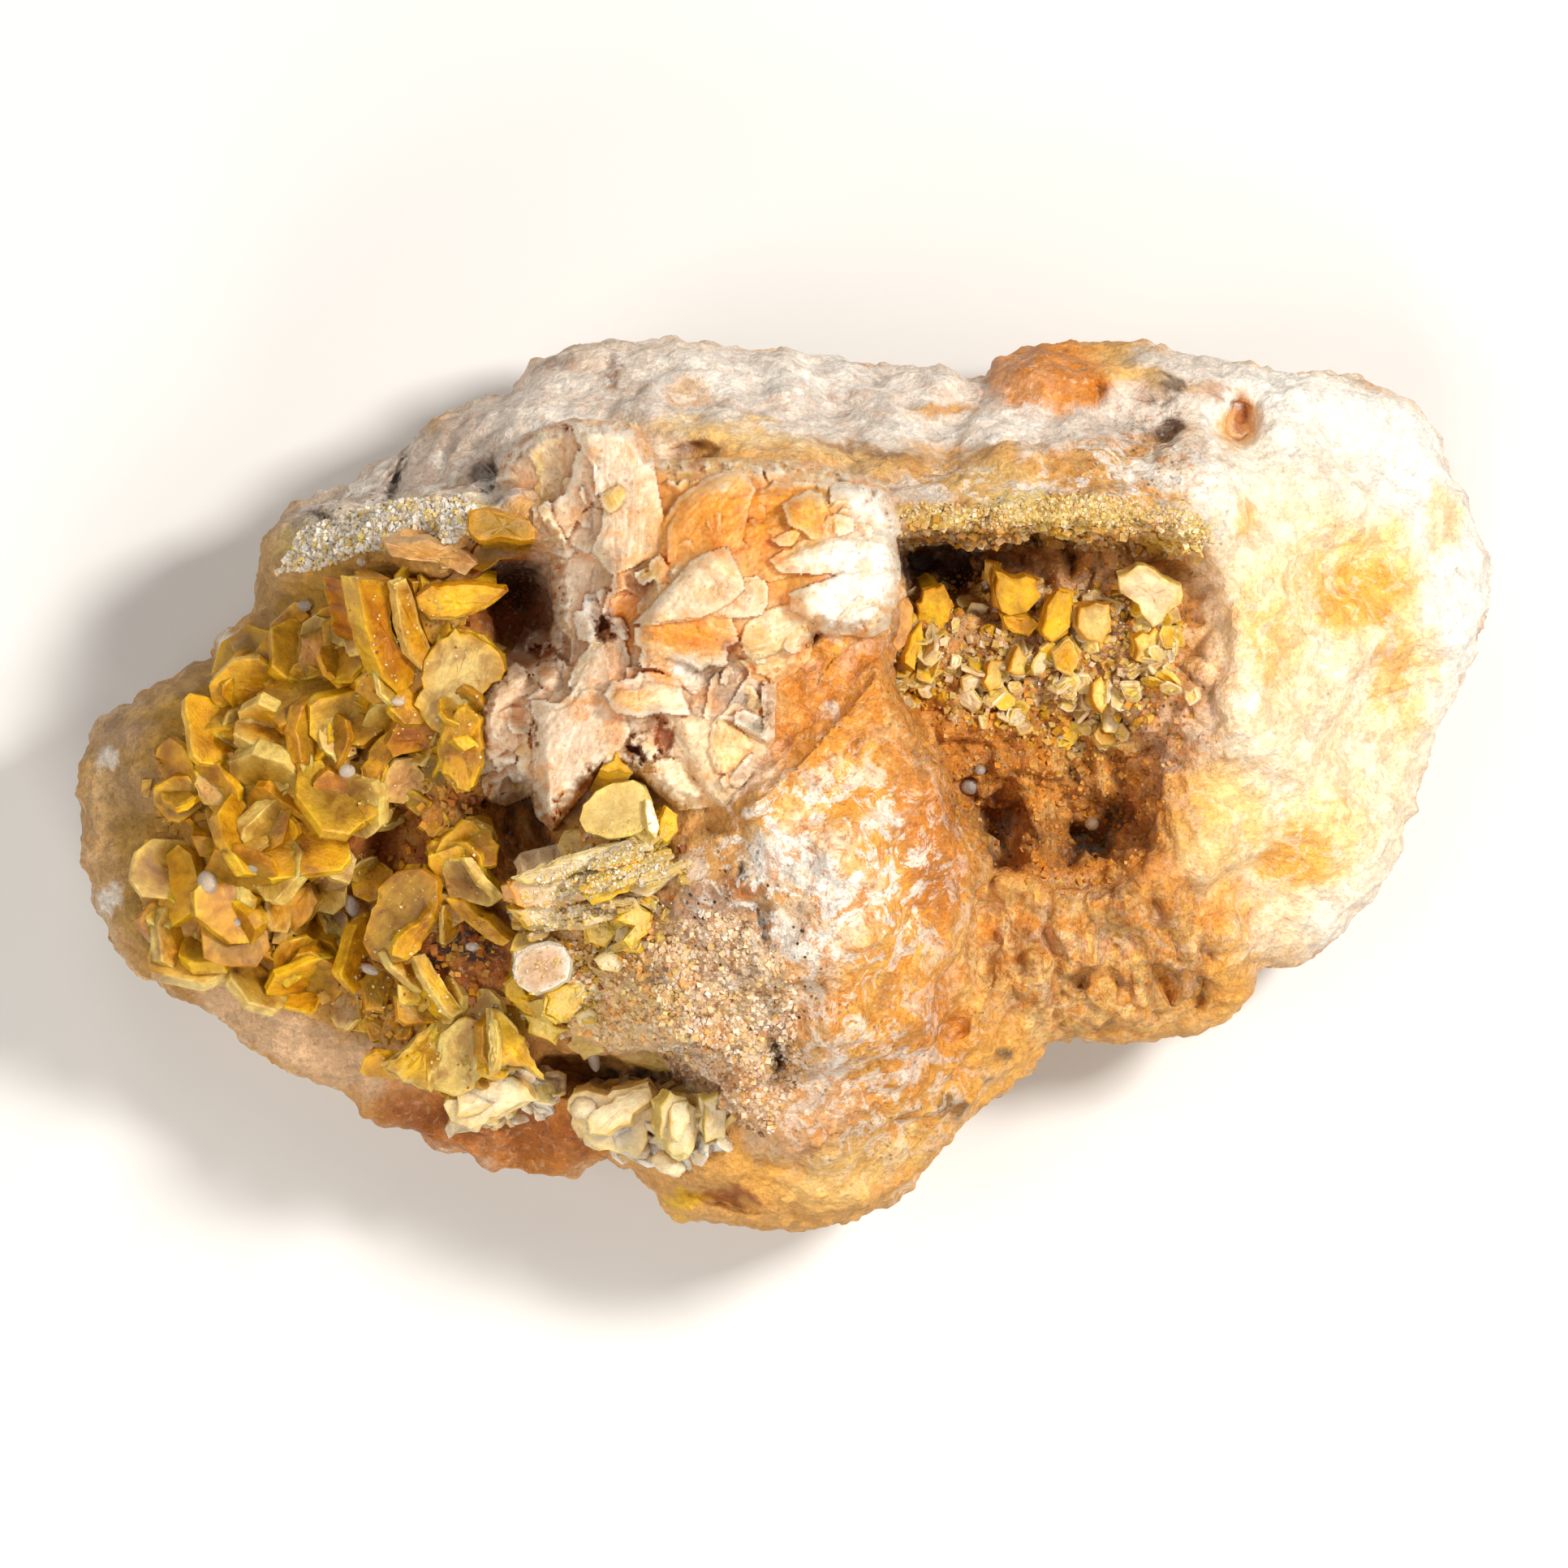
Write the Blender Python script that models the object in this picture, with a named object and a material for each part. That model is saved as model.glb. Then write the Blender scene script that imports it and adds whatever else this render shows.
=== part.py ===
"""A wulfenite specimen: tabular crystals and barite blades grown on a lump of limonite and barite rock.

The stone lies on its flat broken back with the crystals facing up (+Z). It is modelled in millimetres and
degrees, and each finished mesh is scaled to metres. Plan positions are measured from the middle of the
stone, and the base plane is z = 0.
"""

import math
from typing import NamedTuple

import bmesh
import bpy
import numpy as np
from mathutils import Matrix, Vector, noise
from mathutils.bvhtree import BVHTree

MM = 0.001

# Driving dimensions of the rock.
RIM_HEIGHT = 8.5  # the widest level of the stone, above the base
TOP_SHOULDER = 6.5  # how far in from the rim the upper side has risen to its full height
BASE_SHOULDER = 5.5  # how far in from the rim the underside has come down to the base
GAP = 0.3  # clearance between neighbouring solids
BASE_CUT = 0.4  # the base is cut flat this far above the lowest point
BASE_FLATNESS = 0.12  # points this close to the base lie in it
VOXEL = 0.42
ROCK_TRIANGLES = 2300
ROCK_RELIEF = 0.55  # strength of the natural unevenness
ROCK_RELIEF_SIZE = 3.4
EDGE_SLANT = 0.4  # how far a plate's edge leans in over its thickness
MERGE = 0.0005  # edges shorter than this are closed up
FLATNESS = 2.0  # faces within this many degrees of each other are one
BITE = 0.3  # how deep a plate's lowest edge is set in what it grows on
SPOKES, RINGS = 320, 70

# The stone's outline in plan, clockwise from its left end.
OUTLINE = [
    (-30.0, -1.0), (-29.9, 1.0), (-29.4, 2.4), (-27.3, 3.9), (-24.5, 5.0), (-24.2, 6.3), (-23.3, 6.9),
    (-22.5, 7.4), (-22.1, 10.0), (-21.4, 11.2), (-19.0, 12.9), (-15.8, 14.4), (-14.9, 15.5), (-12.0, 17.0),
    (-8.7, 18.8), (-7.5, 19.0), (-5.2, 18.75), (-3.5, 18.95), (-1.0, 18.35), (0.6, 18.5), (2.0, 18.1),
    (6.0, 17.7), (7.0, 17.85), (7.9, 17.25), (9.0, 17.35), (9.8, 18.3), (10.8, 18.7), (13.8, 18.7),
    (17.5, 18.3), (21.5, 17.7), (23.6, 17.7), (26.5, 16.6), (27.1, 15.8), (28.0, 15.1), (28.4, 13.6),
    (30.2, 9.8), (30.5, 8.0), (29.8, 6.3), (27.7, 2.2), (27.4, 0.4), (26.2, -3.3), (23.8, -6.6),
    (22.2, -7.5), (20.2, -7.6), (19.0, -10.0), (18.0, -10.5), (12.6, -10.75), (11.4, -11.2), (10.3, -12.6),
    (7.4, -15.0), (4.6, -17.9), (3.4, -18.6), (1.2, -19.0), (-2.0, -18.95), (-4.4, -18.6), (-5.2, -18.0),
    (-6.3, -16.3), (-7.6, -15.8), (-9.2, -16.5), (-12.5, -16.7), (-13.8, -15.75), (-15.1, -15.6),
    (-15.8, -14.8), (-18.2, -14.5), (-19.0, -13.2), (-21.7, -11.9), (-24.6, -9.6), (-28.0, -8.0),
    (-29.4, -5.5),
]

# Heights of the rock's upper side (x, y, z), region by region.
HEIGHTS = {
    "white upper slope": [
        (-18, 12.4, 12.5), (-14, 14.3, 15.0), (-8, 17, 14.5), (-3, 16.8, 15.5), (2, 16.4, 15.5),
        (7, 15.6, 16.5), (11, 17, 15.0), (15, 16.4, 15.5), (20, 16, 14.5), (25, 14.5, 12.0),
    ],
    "crest": [
        (-10, 13.6, 18.8), (-7.5, 12, 20.0), (-3, 14.6, 20.0), (1, 13.8, 21.0), (5, 13, 21.2),
        (9, 12.4, 21.6), (13, 12.2, 20.6), (17, 12, 18.6),
    ],
    "fan seat": [
        (-2, 11, 22.0), (2, 10.5, 23.6), (3.6, 8, 24.2), (-3, 7.5, 22.4), (2.8, 5, 24.4), (3, 3, 24.0),
    ],
    "centre": [
        (-9, 4, 19.5), (-4.5, 3, 21.5), (-1.2, 2, 22.6), (0.2, -0.8, 24.4), (2.4, -3, 25.2), (4.6, 0, 23.2),
        (5.8, -3, 22.2), (3, -6, 24.2), (0, -7, 23.4), (-3, -5, 23.0), (-4, -8, 21.8), (-2, -11, 20.4),
        (2, -10, 22.0), (5, -9, 20.2), (6.8, -6, 19.0), (1, -14, 17.6), (-2, -16, 15.0), (4, -15, 15.2),
        (7, -12, 14.6),
    ],
    "lower bridge": [(9.6, -6, 13.2), (13, -6.5, 12.6), (16, -7, 12.2), (12, -9, 11.6), (17, -9.4, 10.4)],
    "right mass": [
        (19.6, 8, 17.4), (19.6, 3, 17.0), (18, -2, 15.2), (22, 12, 15.6), (23, 5, 14.6), (22, -2, 12.8),
        (26, 9, 12.0), (26, 3, 11.0), (21, -5, 11.0),
    ],
    "left ledge": [(-13, 10.8, 18.8), (-16.5, 10.8, 17.0), (-20, 10.4, 14.4)],
    "left pocket": [
        (-11, 7.5, 15.0), (-12.3, 2, 18.0), (-14, -1, 16.0), (-17, -2.5, 13.6), (-16, 6, 16.6),
        (-20, 4, 13.4), (-22, 7.5, 13.4), (-19, 1, 14.0), (-23, 1, 13.0), (-24, 4, 12.0), (-27, 2, 11.4),
        (-27.4, -3, 11.0), (-23, -4, 12.8), (-20, -5.5, 11.4), (-22, -8, 11.6), (-26, -6.5, 10.8),
        (-18, -8.4, 12.0), (-15, -6, 15.2), (-12.2, -7.6, 15.4), (-9, -7, 18.8), (-7, -2.5, 20.6),
        (-11, -2, 15.8), (-16, -11, 13.6), (-12, -11, 15.2), (-19, -11.6, 10.4),
    ],
    "lower left rim": [
        (-13, -13.5, 11.4), (-8, -13, 12.2), (-5, -14.4, 13.4), (-12, -15.6, 8.8), (-17, -13.6, 8.8),
    ],
}
HEIGHT_SOFTNESS = 1.5  # rounds the surface off around each height
VUG_RIM = [
    (4.6, 10.4), (8.5, 10.6), (10.5, 11.0), (15.5, 10.7), (17.5, 10.2), (18.7, 8.4), (18.9, 5.5),
    (18.4, 2.2), (16.2, 0), (15.8, -2.2), (14.8, -3.9), (12.3, -4.3), (10.3, -3.8), (8.8, -4.1),
    (7.5, -2.6), (6.7, 0), (5.4, 2.6), (4.3, 4.0), (4.2, 5.8), (4.9, 9.0),
]
VUG_FLOOR = [
    (6.4, 9.4, 10.6), (11, 9.0, 13.2), (15, 8.6, 14.4), (16.8, 4, 15.4), (12, 4.6, 13.4), (8.5, 4, 13.6),
    (5.9, 6.0, 14.2), (9.4, 0.4, 12.8), (13, 1, 11.2), (12.8, -2.2, 8.6), (9.1, -2.2, 8.8),
    (11.0, -2.6, 12.2), (14.8, -1.5, 11.0),
]


class Strip(NamedTuple):
    """A long ridge on the rock, or a groove where the rise is negative, along a line of plan points."""

    rise: float
    half_width: float
    line: list


STRIPS = {
    "shelf over the pocket": Strip(2.6, 1.3, [(-21.0, 10.4), (-17.5, 10.5), (-14.0, 10.3), (-11.6, 10.7)]),
    "lip over the vug": Strip(1.0, 0.7, [(5.6, 11.5), (9.0, 11.6), (13.0, 11.4), (16.6, 11.0)]),
    "crack under the slope": Strip(-4.0, 0.7, [(-10.0, -11.9), (-8.0, -12.2), (-3.0, -12.3)]),
    "ledge over the crack": Strip(1.4, 0.8, [(-8.4, -10.8), (-6.0, -11.2), (-3.4, -11.6)]),
    "gap by the blades": Strip(-3.2, 1.0, [(-11.0, -0.6), (-11.3, -2.2), (-10.2, -3.0)]),
    "gap under the shelf": Strip(-2.4, 1.0, [(-12.6, 8.9), (-11.2, 8.4), (-10.6, 6.8)]),
    "pocket shadow": Strip(-2.4, 1.1, [(-19.4, -6.4), (-17.6, -4.2), (-16.6, -2.8)]),
    "seam by the bridge": Strip(-2.2, 0.6, [(7.9, -3.6), (8.3, -5.6), (8.0, -8.0), (7.0, -10.0)]),
    "wide rib": Strip(1.6, 0.8, [(15.0, -4.2), (16.4, -6.6), (17.2, -8.2)]),
    "narrow rib": Strip(1.5, 0.6, [(14.2, -5.2), (15.0, -7.4), (15.4, -9.6)]),
    "end rib": Strip(1.4, 0.6, [(19.0, -6.4), (19.3, -8.0)]),
    "low rib": Strip(1.4, 0.6, [(10.8, -8.0), (10.9, -11.0)]),
    "long rib": Strip(1.0, 0.7, [(12.6, -5.2), (13.0, -9.6)]),
    "upper trough": Strip(-1.4, 2.0, [(3.0, 15.0), (8.0, 14.6), (13.0, 15.2)]),
    "diagonal grain": Strip(-0.9, 0.4, [(-2.6, -1.4), (-0.2, 1.0), (2.0, 3.4), (3.8, 6.0)]),
    "second grain": Strip(0.8, 0.5, [(-1.6, -0.9), (1.4, 2.2), (3.6, 4.4)]),
}
KNOBS = [  # (x, y, radius, rise)
    (11.3, 17.6, 1.8, 2.2), (7.0, 17.3, 1.0, 1.0), (-23.7, 6.0, 1.0, 1.2), (-14.6, -14.7, 1.1, 1.4),
    (-12.3, -15.5, 1.3, 1.6), (-9.8, -15.4, 1.2, 1.4), (-17.2, -13.6, 1.3, 1.2), (16.6, 15.3, 0.9, -1.8),
    (19.5, 15.6, 0.7, -1.6), (2.2, -3.0, 2.4, 0.8), (4.8, -6.6, 2.0, 0.8), (2.4, -9.4, 1.8, 0.7),
    (0.0, -12.0, 1.0, -0.8), (6.0, -12.6, 1.8, 0.9), (24.4, -3.4, 2.2, 0.9), (27.0, 11.4, 2.0, 0.8),
    (22.6, 8.6, 1.8, -0.9), (-27.8, -5.6, 1.6, 0.9), (-26.6, 1.8, 1.6, 0.8), (14.0, 17.2, 1.2, 0.8),
]


class Plate(NamedTuple):
    """One flat crystal. Its length points along heading and rises by pitch, and tilt rolls its face."""

    x: float
    y: float
    lift: float  # of its middle, above the rock
    length: float
    width: float
    thickness: float
    heading: float
    pitch: float
    tilt: float


DRUSE_PLATES = [
    Plate(-17.3, 6.0, 1.8, 5.2, 3.4, 1.1, -64, 6, 42), Plate(-15.7, 6.7, 2.0, 3.9, 2.6, 0.8, -72, 4, 66),
    Plate(-13.7, 7.7, 2.4, 3.8, 2.2, 1.0, 9, 4, 58), Plate(-13.4, 5.0, 1.8, 3.0, 3.0, 0.7, -35, -6, 20),
    Plate(-11.8, 10.7, 0.6, 2.8, 1.8, 0.9, -24, -8, 34), Plate(-17.0, 0.7, 1.5, 3.8, 2.4, 0.8, 60, 6, -48),
    Plate(-15.4, 2.1, 1.6, 2.2, 1.6, 0.6, -12, 4, 40), Plate(-13.7, 2.3, 0.9, 2.3, 1.7, 0.7, -75, 0, 26),
    Plate(-21.8, 2.2, 1.2, 3.4, 2.9, 0.7, -40, 4, 38), Plate(-20.2, 1.4, 1.5, 3.3, 2.4, 0.6, -72, 2, 70),
    Plate(-19.1, -0.3, 1.0, 3.0, 2.2, 0.7, -60, 6, 40), Plate(-18.6, 3.2, 1.0, 2.4, 2.0, 0.6, -35, 6, 20),
    Plate(-24.2, -0.4, 0.8, 1.9, 1.3, 0.5, -30, 8, 30), Plate(-22.6, -1.4, 1.0, 4.0, 1.8, 0.6, 14, 4, 58),
    Plate(-24.0, -2.8, 1.0, 2.8, 1.8, 0.6, -22, 4, 46), Plate(-25.1, -4.9, 0.9, 2.9, 1.9, 0.7, -58, 4, 48),
    Plate(-25.8, -6.8, 0.5, 1.6, 1.3, 0.6, -70, 0, 28), Plate(-23.4, -4.6, 1.0, 2.3, 2.0, 0.6, -20, 8, 26),
    Plate(-22.3, -6.3, 0.8, 2.4, 1.6, 0.6, -30, 4, 40), Plate(-20.5, -5.5, 1.2, 3.6, 1.9, 0.7, -52, 6, 46),
    Plate(-19.1, -5.6, 1.3, 3.4, 1.8, 0.6, -70, 2, 62), Plate(-20.4, -3.0, 1.1, 2.4, 1.9, 0.6, 30, 6, 36),
    Plate(-16.3, -5.6, 1.9, 4.3, 2.4, 0.8, 58, 8, -30), Plate(-15.6, -6.7, 1.2, 2.4, 1.6, 0.6, 64, 4, -34),
    Plate(-13.4, -3.3, 1.5, 3.2, 2.4, 0.7, -62, 6, 34), Plate(-12.7, -3.9, 2.0, 2.6, 1.8, 0.4, -46, 2, 74),
    Plate(-13.0, -5.7, 1.5, 3.6, 1.7, 0.7, -36, 4, 54), Plate(-14.8, -8.5, 1.0, 3.1, 1.8, 0.5, -52, 4, 70),
    Plate(-15.6, -11.2, 1.5, 3.4, 2.4, 0.6, 40, 8, -32),
    Plate(-13.8, -11.4, 2.0, 3.0, 2.7, 0.8, -70, -4, 22),
    Plate(-11.3, -11.2, 1.5, 3.0, 1.6, 0.5, -60, -4, 36), Plate(-27.2, -0.4, 0.5, 1.8, 1.4, 0.5, 20, 6, 34),
]
CENTRE_PLATES = [
    Plate(-7.4, -1.3, 2.2, 3.7, 2.8, 0.7, 28, 4, 16), Plate(-9.1, -2.5, 1.4, 1.5, 1.3, 0.7, 10, 0, 10),
    Plate(-8.5, -3.7, 1.6, 6.0, 2.6, 1.2, 14, 3, 56), Plate(-6.6, -4.4, 0.9, 3.6, 1.9, 0.8, 12, 0, 40),
    Plate(-5.5, -1.4, 1.4, 1.9, 1.3, 0.4, -68, 0, 62), Plate(-4.8, -1.9, 0.6, 1.8, 1.3, 0.5, -40, 4, 30),
    Plate(-10.3, -7.8, 1.6, 2.4, 2.2, 0.8, 28, 4, 14), Plate(-10.6, -6.4, 1.4, 2.4, 1.4, 0.6, -8, 0, 30),
    Plate(-7.6, -7.4, 0.9, 1.6, 0.9, 0.6, -18, 0, 20), Plate(-6.3, -6.0, 0.8, 1.8, 1.1, 0.5, 62, 0, 46),
    Plate(-9.8, -9.4, 0.9, 2.6, 1.6, 0.5, 20, 6, 36), Plate(-10.8, -9.2, 0.9, 2.0, 1.3, 0.5, -40, 6, 40),
]
BARITE_PLATES = [
    Plate(-6.3, 12.4, 2.6, 5.2, 2.8, 0.9, -84, -4, -14), Plate(-8.9, 13.0, 2.2, 3.8, 2.0, 0.8, 62, -4, 24),
    Plate(-7.6, 12.6, 3.4, 1.9, 1.0, 0.4, -64, 6, 30), Plate(-8.5, 10.6, 2.6, 2.4, 1.9, 0.7, 16, 6, 28),
    Plate(-8.5, 8.0, 4.2, 4.2, 2.0, 0.9, -80, -6, -26), Plate(-6.8, 7.6, 2.8, 2.2, 1.5, 0.6, 46, 0, 44),
    Plate(-3.3, 8.5, 2.9, 4.4, 2.9, 0.7, 34, 2, 20), Plate(-1.7, 7.8, 2.6, 2.6, 1.7, 0.6, 20, 2, 14),
    Plate(-4.2, 6.9, 1.8, 3.8, 2.0, 0.8, 26, 6, 34), Plate(-0.4, 6.8, 1.4, 3.2, 1.6, 0.8, 24, 4, 44),
    Plate(-3.2, 11.4, 2.2, 4.6, 2.6, 0.8, 42, 4, -28), Plate(-1.6, 12.0, 2.2, 4.2, 2.4, 0.8, 22, 4, -38),
    Plate(0.9, 10.9, 2.0, 4.4, 2.2, 0.9, 14, 4, -20), Plate(1.6, 9.6, 1.6, 4.6, 2.0, 0.9, 16, 4, 6),
    Plate(2.0, 8.3, 1.3, 4.2, 2.0, 0.9, 20, 2, 26), Plate(0.6, 12.4, 1.2, 4.0, 2.2, 0.7, 2, 4, -52),
    Plate(-7.4, 4.9, 2.6, 3.0, 1.7, 0.8, 66, 4, 26), Plate(-8.6, 1.3, 4.0, 5.8, 3.1, 1.0, 58, 10, 18),
    Plate(-11.8, 3.6, 2.2, 2.4, 1.5, 0.8, 34, 4, 24), Plate(-11.6, 2.2, 2.2, 2.2, 1.5, 0.8, 20, 4, 20),
    Plate(-9.8, 4.2, 2.0, 2.1, 1.6, 0.9, 10, 4, 20), Plate(-10.9, 0.7, 2.6, 2.2, 1.4, 0.8, -70, 4, 24),
    Plate(-5.6, 3.8, 2.2, 3.2, 1.6, 0.9, -4, 2, 22), Plate(-4.0, 2.3, 1.9, 3.8, 1.8, 0.9, -52, -4, 24),
    Plate(-2.4, 1.3, 1.1, 3.2, 2.6, 0.8, -40, 0, 14), Plate(-4.8, 5.1, 2.0, 2.4, 1.2, 0.5, -38, -4, 44),
    Plate(-11.0, 6.1, 2.2, 2.4, 1.4, 0.8, 34, 4, 30),
]
MILKY_LEFT_PLATES = [
    Plate(-12.4, -13.0, 1.5, 3.8, 1.9, 1.3, 26, 0, 30), Plate(-13.7, -13.7, 1.2, 2.2, 1.6, 1.1, 10, 0, 20),
    Plate(-11.2, -12.7, 1.2, 1.9, 1.4, 0.9, -60, 0, 30),
]
MILKY_RIGHT_PLATES = [
    Plate(-7.4, -14.2, 1.6, 4.0, 2.6, 1.4, 12, 0, 26), Plate(-6.2, -13.9, 2.0, 2.2, 1.7, 1.0, 66, 4, 30),
    Plate(-4.5, -14.3, 1.5, 3.0, 1.8, 1.0, -76, -4, 42),
    Plate(-3.2, -14.5, 1.1, 2.4, 1.5, 0.8, -70, -4, 46), Plate(-5.4, -15.4, 1.0, 2.4, 1.7, 0.9, -30, 0, 30),
    Plate(-8.3, -14.8, 0.9, 2.0, 1.5, 1.0, 60, 0, 24),
]
VUG_PLATES = [
    Plate(9.4, 8.5, 1.3, 2.6, 1.9, 0.6, -52, 0, 26), Plate(10.3, 7.8, 1.2, 1.9, 1.5, 0.6, -20, 4, 30),
    Plate(11.4, 7.3, 1.3, 2.3, 1.6, 0.6, 62, 4, 34), Plate(11.9, 6.4, 1.0, 1.9, 1.3, 0.5, -70, 0, 40),
    Plate(13.2, 6.9, 1.2, 1.8, 1.5, 0.6, 88, 0, 14), Plate(15.4, 8.0, 1.3, 3.0, 2.2, 0.6, -48, 0, 16),
    Plate(16.0, 7.0, 1.0, 2.0, 1.6, 0.6, 60, 4, 30), Plate(6.6, 8.0, 0.9, 1.8, 1.4, 0.5, 76, 0, 30),
    Plate(5.9, 5.6, 0.8, 1.9, 1.2, 0.5, 70, 0, 36), Plate(6.3, 4.6, 0.7, 2.0, 1.1, 0.5, 28, 0, 40),
    Plate(8.9, 4.6, 0.7, 1.7, 1.2, 0.5, 66, 0, 36), Plate(8.2, 3.7, 0.6, 1.6, 1.2, 0.5, 20, 4, 30),
    Plate(13.5, 3.8, 0.8, 2.0, 1.3, 0.5, -72, 0, 34), Plate(13.9, 2.6, 0.8, 2.1, 1.3, 0.5, 60, 0, 40),
]

# Ellipsoids (x, y, depth below the rock, radius x, radius y, radius z) that blades grow out of.
BARITE_CORES = [
    (0.2, 10.0, 0.6, 4.4, 3.2, 2.6), (-3.6, 8.6, 0.8, 3.2, 3.0, 2.8), (-7.6, 11.8, 0.8, 2.3, 3.2, 2.6),
    (-7.6, 7.6, 0.2, 2.0, 2.8, 2.6), (-8.8, 3.0, 0.4, 2.6, 2.9, 2.8), (-4.6, 3.4, 0.6, 3.6, 2.0, 2.2),
    (-11.2, 2.2, 0.4, 1.5, 2.6, 2.2),
]
CENTRE_CORES = [(-7.6, -3.4, 1.0, 3.4, 1.9, 2.0), (-9.6, -7.6, 0.8, 2.2, 1.9, 1.9)]


class Patch(NamedTuple):
    """Ground that a group covers: its edge, and how far its bed rises above the rock and goes into it."""

    edge: list
    above: float
    below: float
    spokes: int
    rings: int


class Group(NamedTuple):
    """Crystals that grew together and make one solid with the layer under them."""

    plates: list
    outline: object
    cores: list
    patch: Patch


DRUSE_PATCH = Patch(
    [
        (-28.2, -1.0), (-28.2, 1.6), (-26.0, 3.4), (-22.6, 4.9), (-21.0, 7.4), (-19.4, 9.3), (-14.0, 9.4),
        (-11.6, 11.0), (-11.4, 9.9), (-12.8, 6.6), (-13.2, 2.0), (-12.6, -1.6), (-12.4, -4.8),
        (-11.4, -11.6), (-13.8, -12.6), (-17.0, -12.3), (-20.5, -11.0), (-24.0, -8.5), (-27.0, -6.6),
        (-28.0, -4.0),
    ],
    0.9, 1.0, 20, 3,
)
CENTRE_PATCH = Patch(
    [(-3.9, -2.6), (-5.4, -0.9), (-8.0, -1.8), (-11.2, -3.4), (-11.6, -6.2), (-11.2, -9.4), (-8.0, -10.0),
     (-5.6, -6.8)],
    0.6, 0.9, 10, 2,
)
BARITE_PATCH = Patch(
    [(-6.5, 15.0), (-10.4, 14.2), (-10.0, 9.4), (-11.5, 5.8), (-11.8, 1.2), (-9.6, -0.9), (-6.6, 0.1),
     (-1.6, 0.4), (-1.2, 4.6), (1.4, 6.4), (4.2, 7.6), (4.4, 12.4), (0.4, 14.0)],
    0.6, 1.0, 16, 3,
)
MILKY_LEFT_PATCH = Patch(
    [(-14.4, -13.2), (-13.0, -12.2), (-10.8, -12.2), (-11.4, -13.6), (-13.6, -14.4)], 0.5, 0.7, 7, 1
)
MILKY_RIGHT_PATCH = Patch(
    [(-8.8, -14.6), (-6.8, -13.2), (-3.6, -13.4), (-3.0, -14.8), (-5.4, -15.6)], 0.5, 0.7, 8, 1
)
VUG_PATCH = Patch(
    [
        (6.3, 5.2), (6.5, 8.0), (8.4, 8.9), (11.0, 9.1), (14.2, 9.1), (16.3, 8.0), (16.0, 5.4), (14.6, 2.6),
        (12.4, 1.9), (9.4, 2.7), (7.2, 3.8),
    ],
    0.5, 0.7, 14, 2,
)
ROOM_FLARE = 3.2  # how far the clear space round a group widens by its top
ROOM_RISE = 7.0  # over this height
ROOM_TOP = 34.0

def clear_scene():
    for obj in list(bpy.data.objects):
        bpy.data.objects.remove(obj)


def smooth_step(value):
    value = np.clip(value, 0, 1)
    return value * value * (3 - 2 * value)


def edge_radius(outline, centre, angles):
    """Distance from the centre to an outline that goes once round it, at each angle."""
    points = np.array(outline, float) - centre
    around = np.arctan2(points[:, 1], points[:, 0])
    order = np.argsort(around)
    return np.interp(angles, around[order], np.hypot(*points[order].T), period=2 * math.pi)


def segment_distance(x, y, start, end):
    along_x, along_y = end[0] - start[0], end[1] - start[1]
    share = ((x - start[0]) * along_x + (y - start[1]) * along_y) / (along_x**2 + along_y**2)
    share = np.clip(share, 0, 1)
    return np.hypot(x - start[0] - share * along_x, y - start[1] - share * along_y)


def inside_distance(x, y, outline):
    """Distance to the outline, positive inside it."""
    nearest = np.full(x.shape, np.inf)
    inside = np.zeros(x.shape, bool)
    for start, end in zip(outline, outline[1:] + outline[:1]):
        nearest = np.minimum(nearest, segment_distance(x, y, start, end))
        rise = end[1] - start[1]
        if rise:
            level = (y - start[1]) / rise
            inside ^= (level > 0) & (level <= 1) & (x < start[0] + level * (end[0] - start[0]))
    return np.where(inside, nearest, -nearest)


def blend_heights(x, y, posts):
    """A smooth surface through the posts (x, y, z), each one weighing most near itself."""
    total = np.zeros(x.shape)
    weights = np.zeros(x.shape)
    for post_x, post_y, post_z in posts:
        weight = 1 / ((x - post_x) ** 2 + (y - post_y) ** 2 + HEIGHT_SOFTNESS**2) ** 2
        total += weight * post_z
        weights += weight
    return total / weights


def strip_rise(x, y, strip):
    distance = np.full(x.shape, np.inf)
    for start, end in zip(strip.line, strip.line[1:]):
        distance = np.minimum(distance, segment_distance(x, y, start, end))
    return strip.rise * smooth_step(1.6 - 0.8 * distance / strip.half_width)


def rock_top(x, y):
    """Height of the rock's upper side over plan points, before the stone rounds off to its rim."""
    z = blend_heights(x, y, [post for region in HEIGHTS.values() for post in region])
    for strip in STRIPS.values():
        z = z + strip_rise(x, y, strip)
    for knob_x, knob_y, radius, rise in KNOBS:
        z = z + rise * np.exp(-((x - knob_x) ** 2 + (y - knob_y) ** 2) / radius**2)
    wall = 0.7 + 2.6 * smooth_step((x - y - 4) / 12)  # steepest at the vug's upper left
    into_vug = smooth_step(inside_distance(x, y, VUG_RIM) / wall + 0.35)
    return z + (blend_heights(x, y, VUG_FLOOR) - z) * into_vug


def shoulder(distance, width):
    """Rises from 0 at the rim to 1 over the shoulder's width, as a quarter of an ellipse."""
    return np.sqrt(1 - (1 - np.clip(distance / width, 0, 1)) ** 2)


def rock_height(x, y):
    """Height of the finished upper side, where crystals are seated."""
    x, y = np.asarray(x, float), np.asarray(y, float)
    to_edge = edge_radius(OUTLINE, (0, 0), np.arctan2(y, x)) - np.hypot(x, y)
    return RIM_HEIGHT + (rock_top(x, y) - RIM_HEIGHT) * shoulder(to_edge, TOP_SHOULDER)


def add_rings(bm, rings):
    """Closes a stack of rings of points into one shell."""
    rows = [[bm.verts.new(point) for point in ring] for ring in rings]
    for lower, upper in zip(rows, rows[1:]):
        for i in range(len(lower)):
            j = (i + 1) % len(lower)
            bm.faces.new((lower[i], lower[j], upper[j], upper[i]))
    bm.faces.new(rows[0][::-1])
    bm.faces.new(rows[-1])


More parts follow.
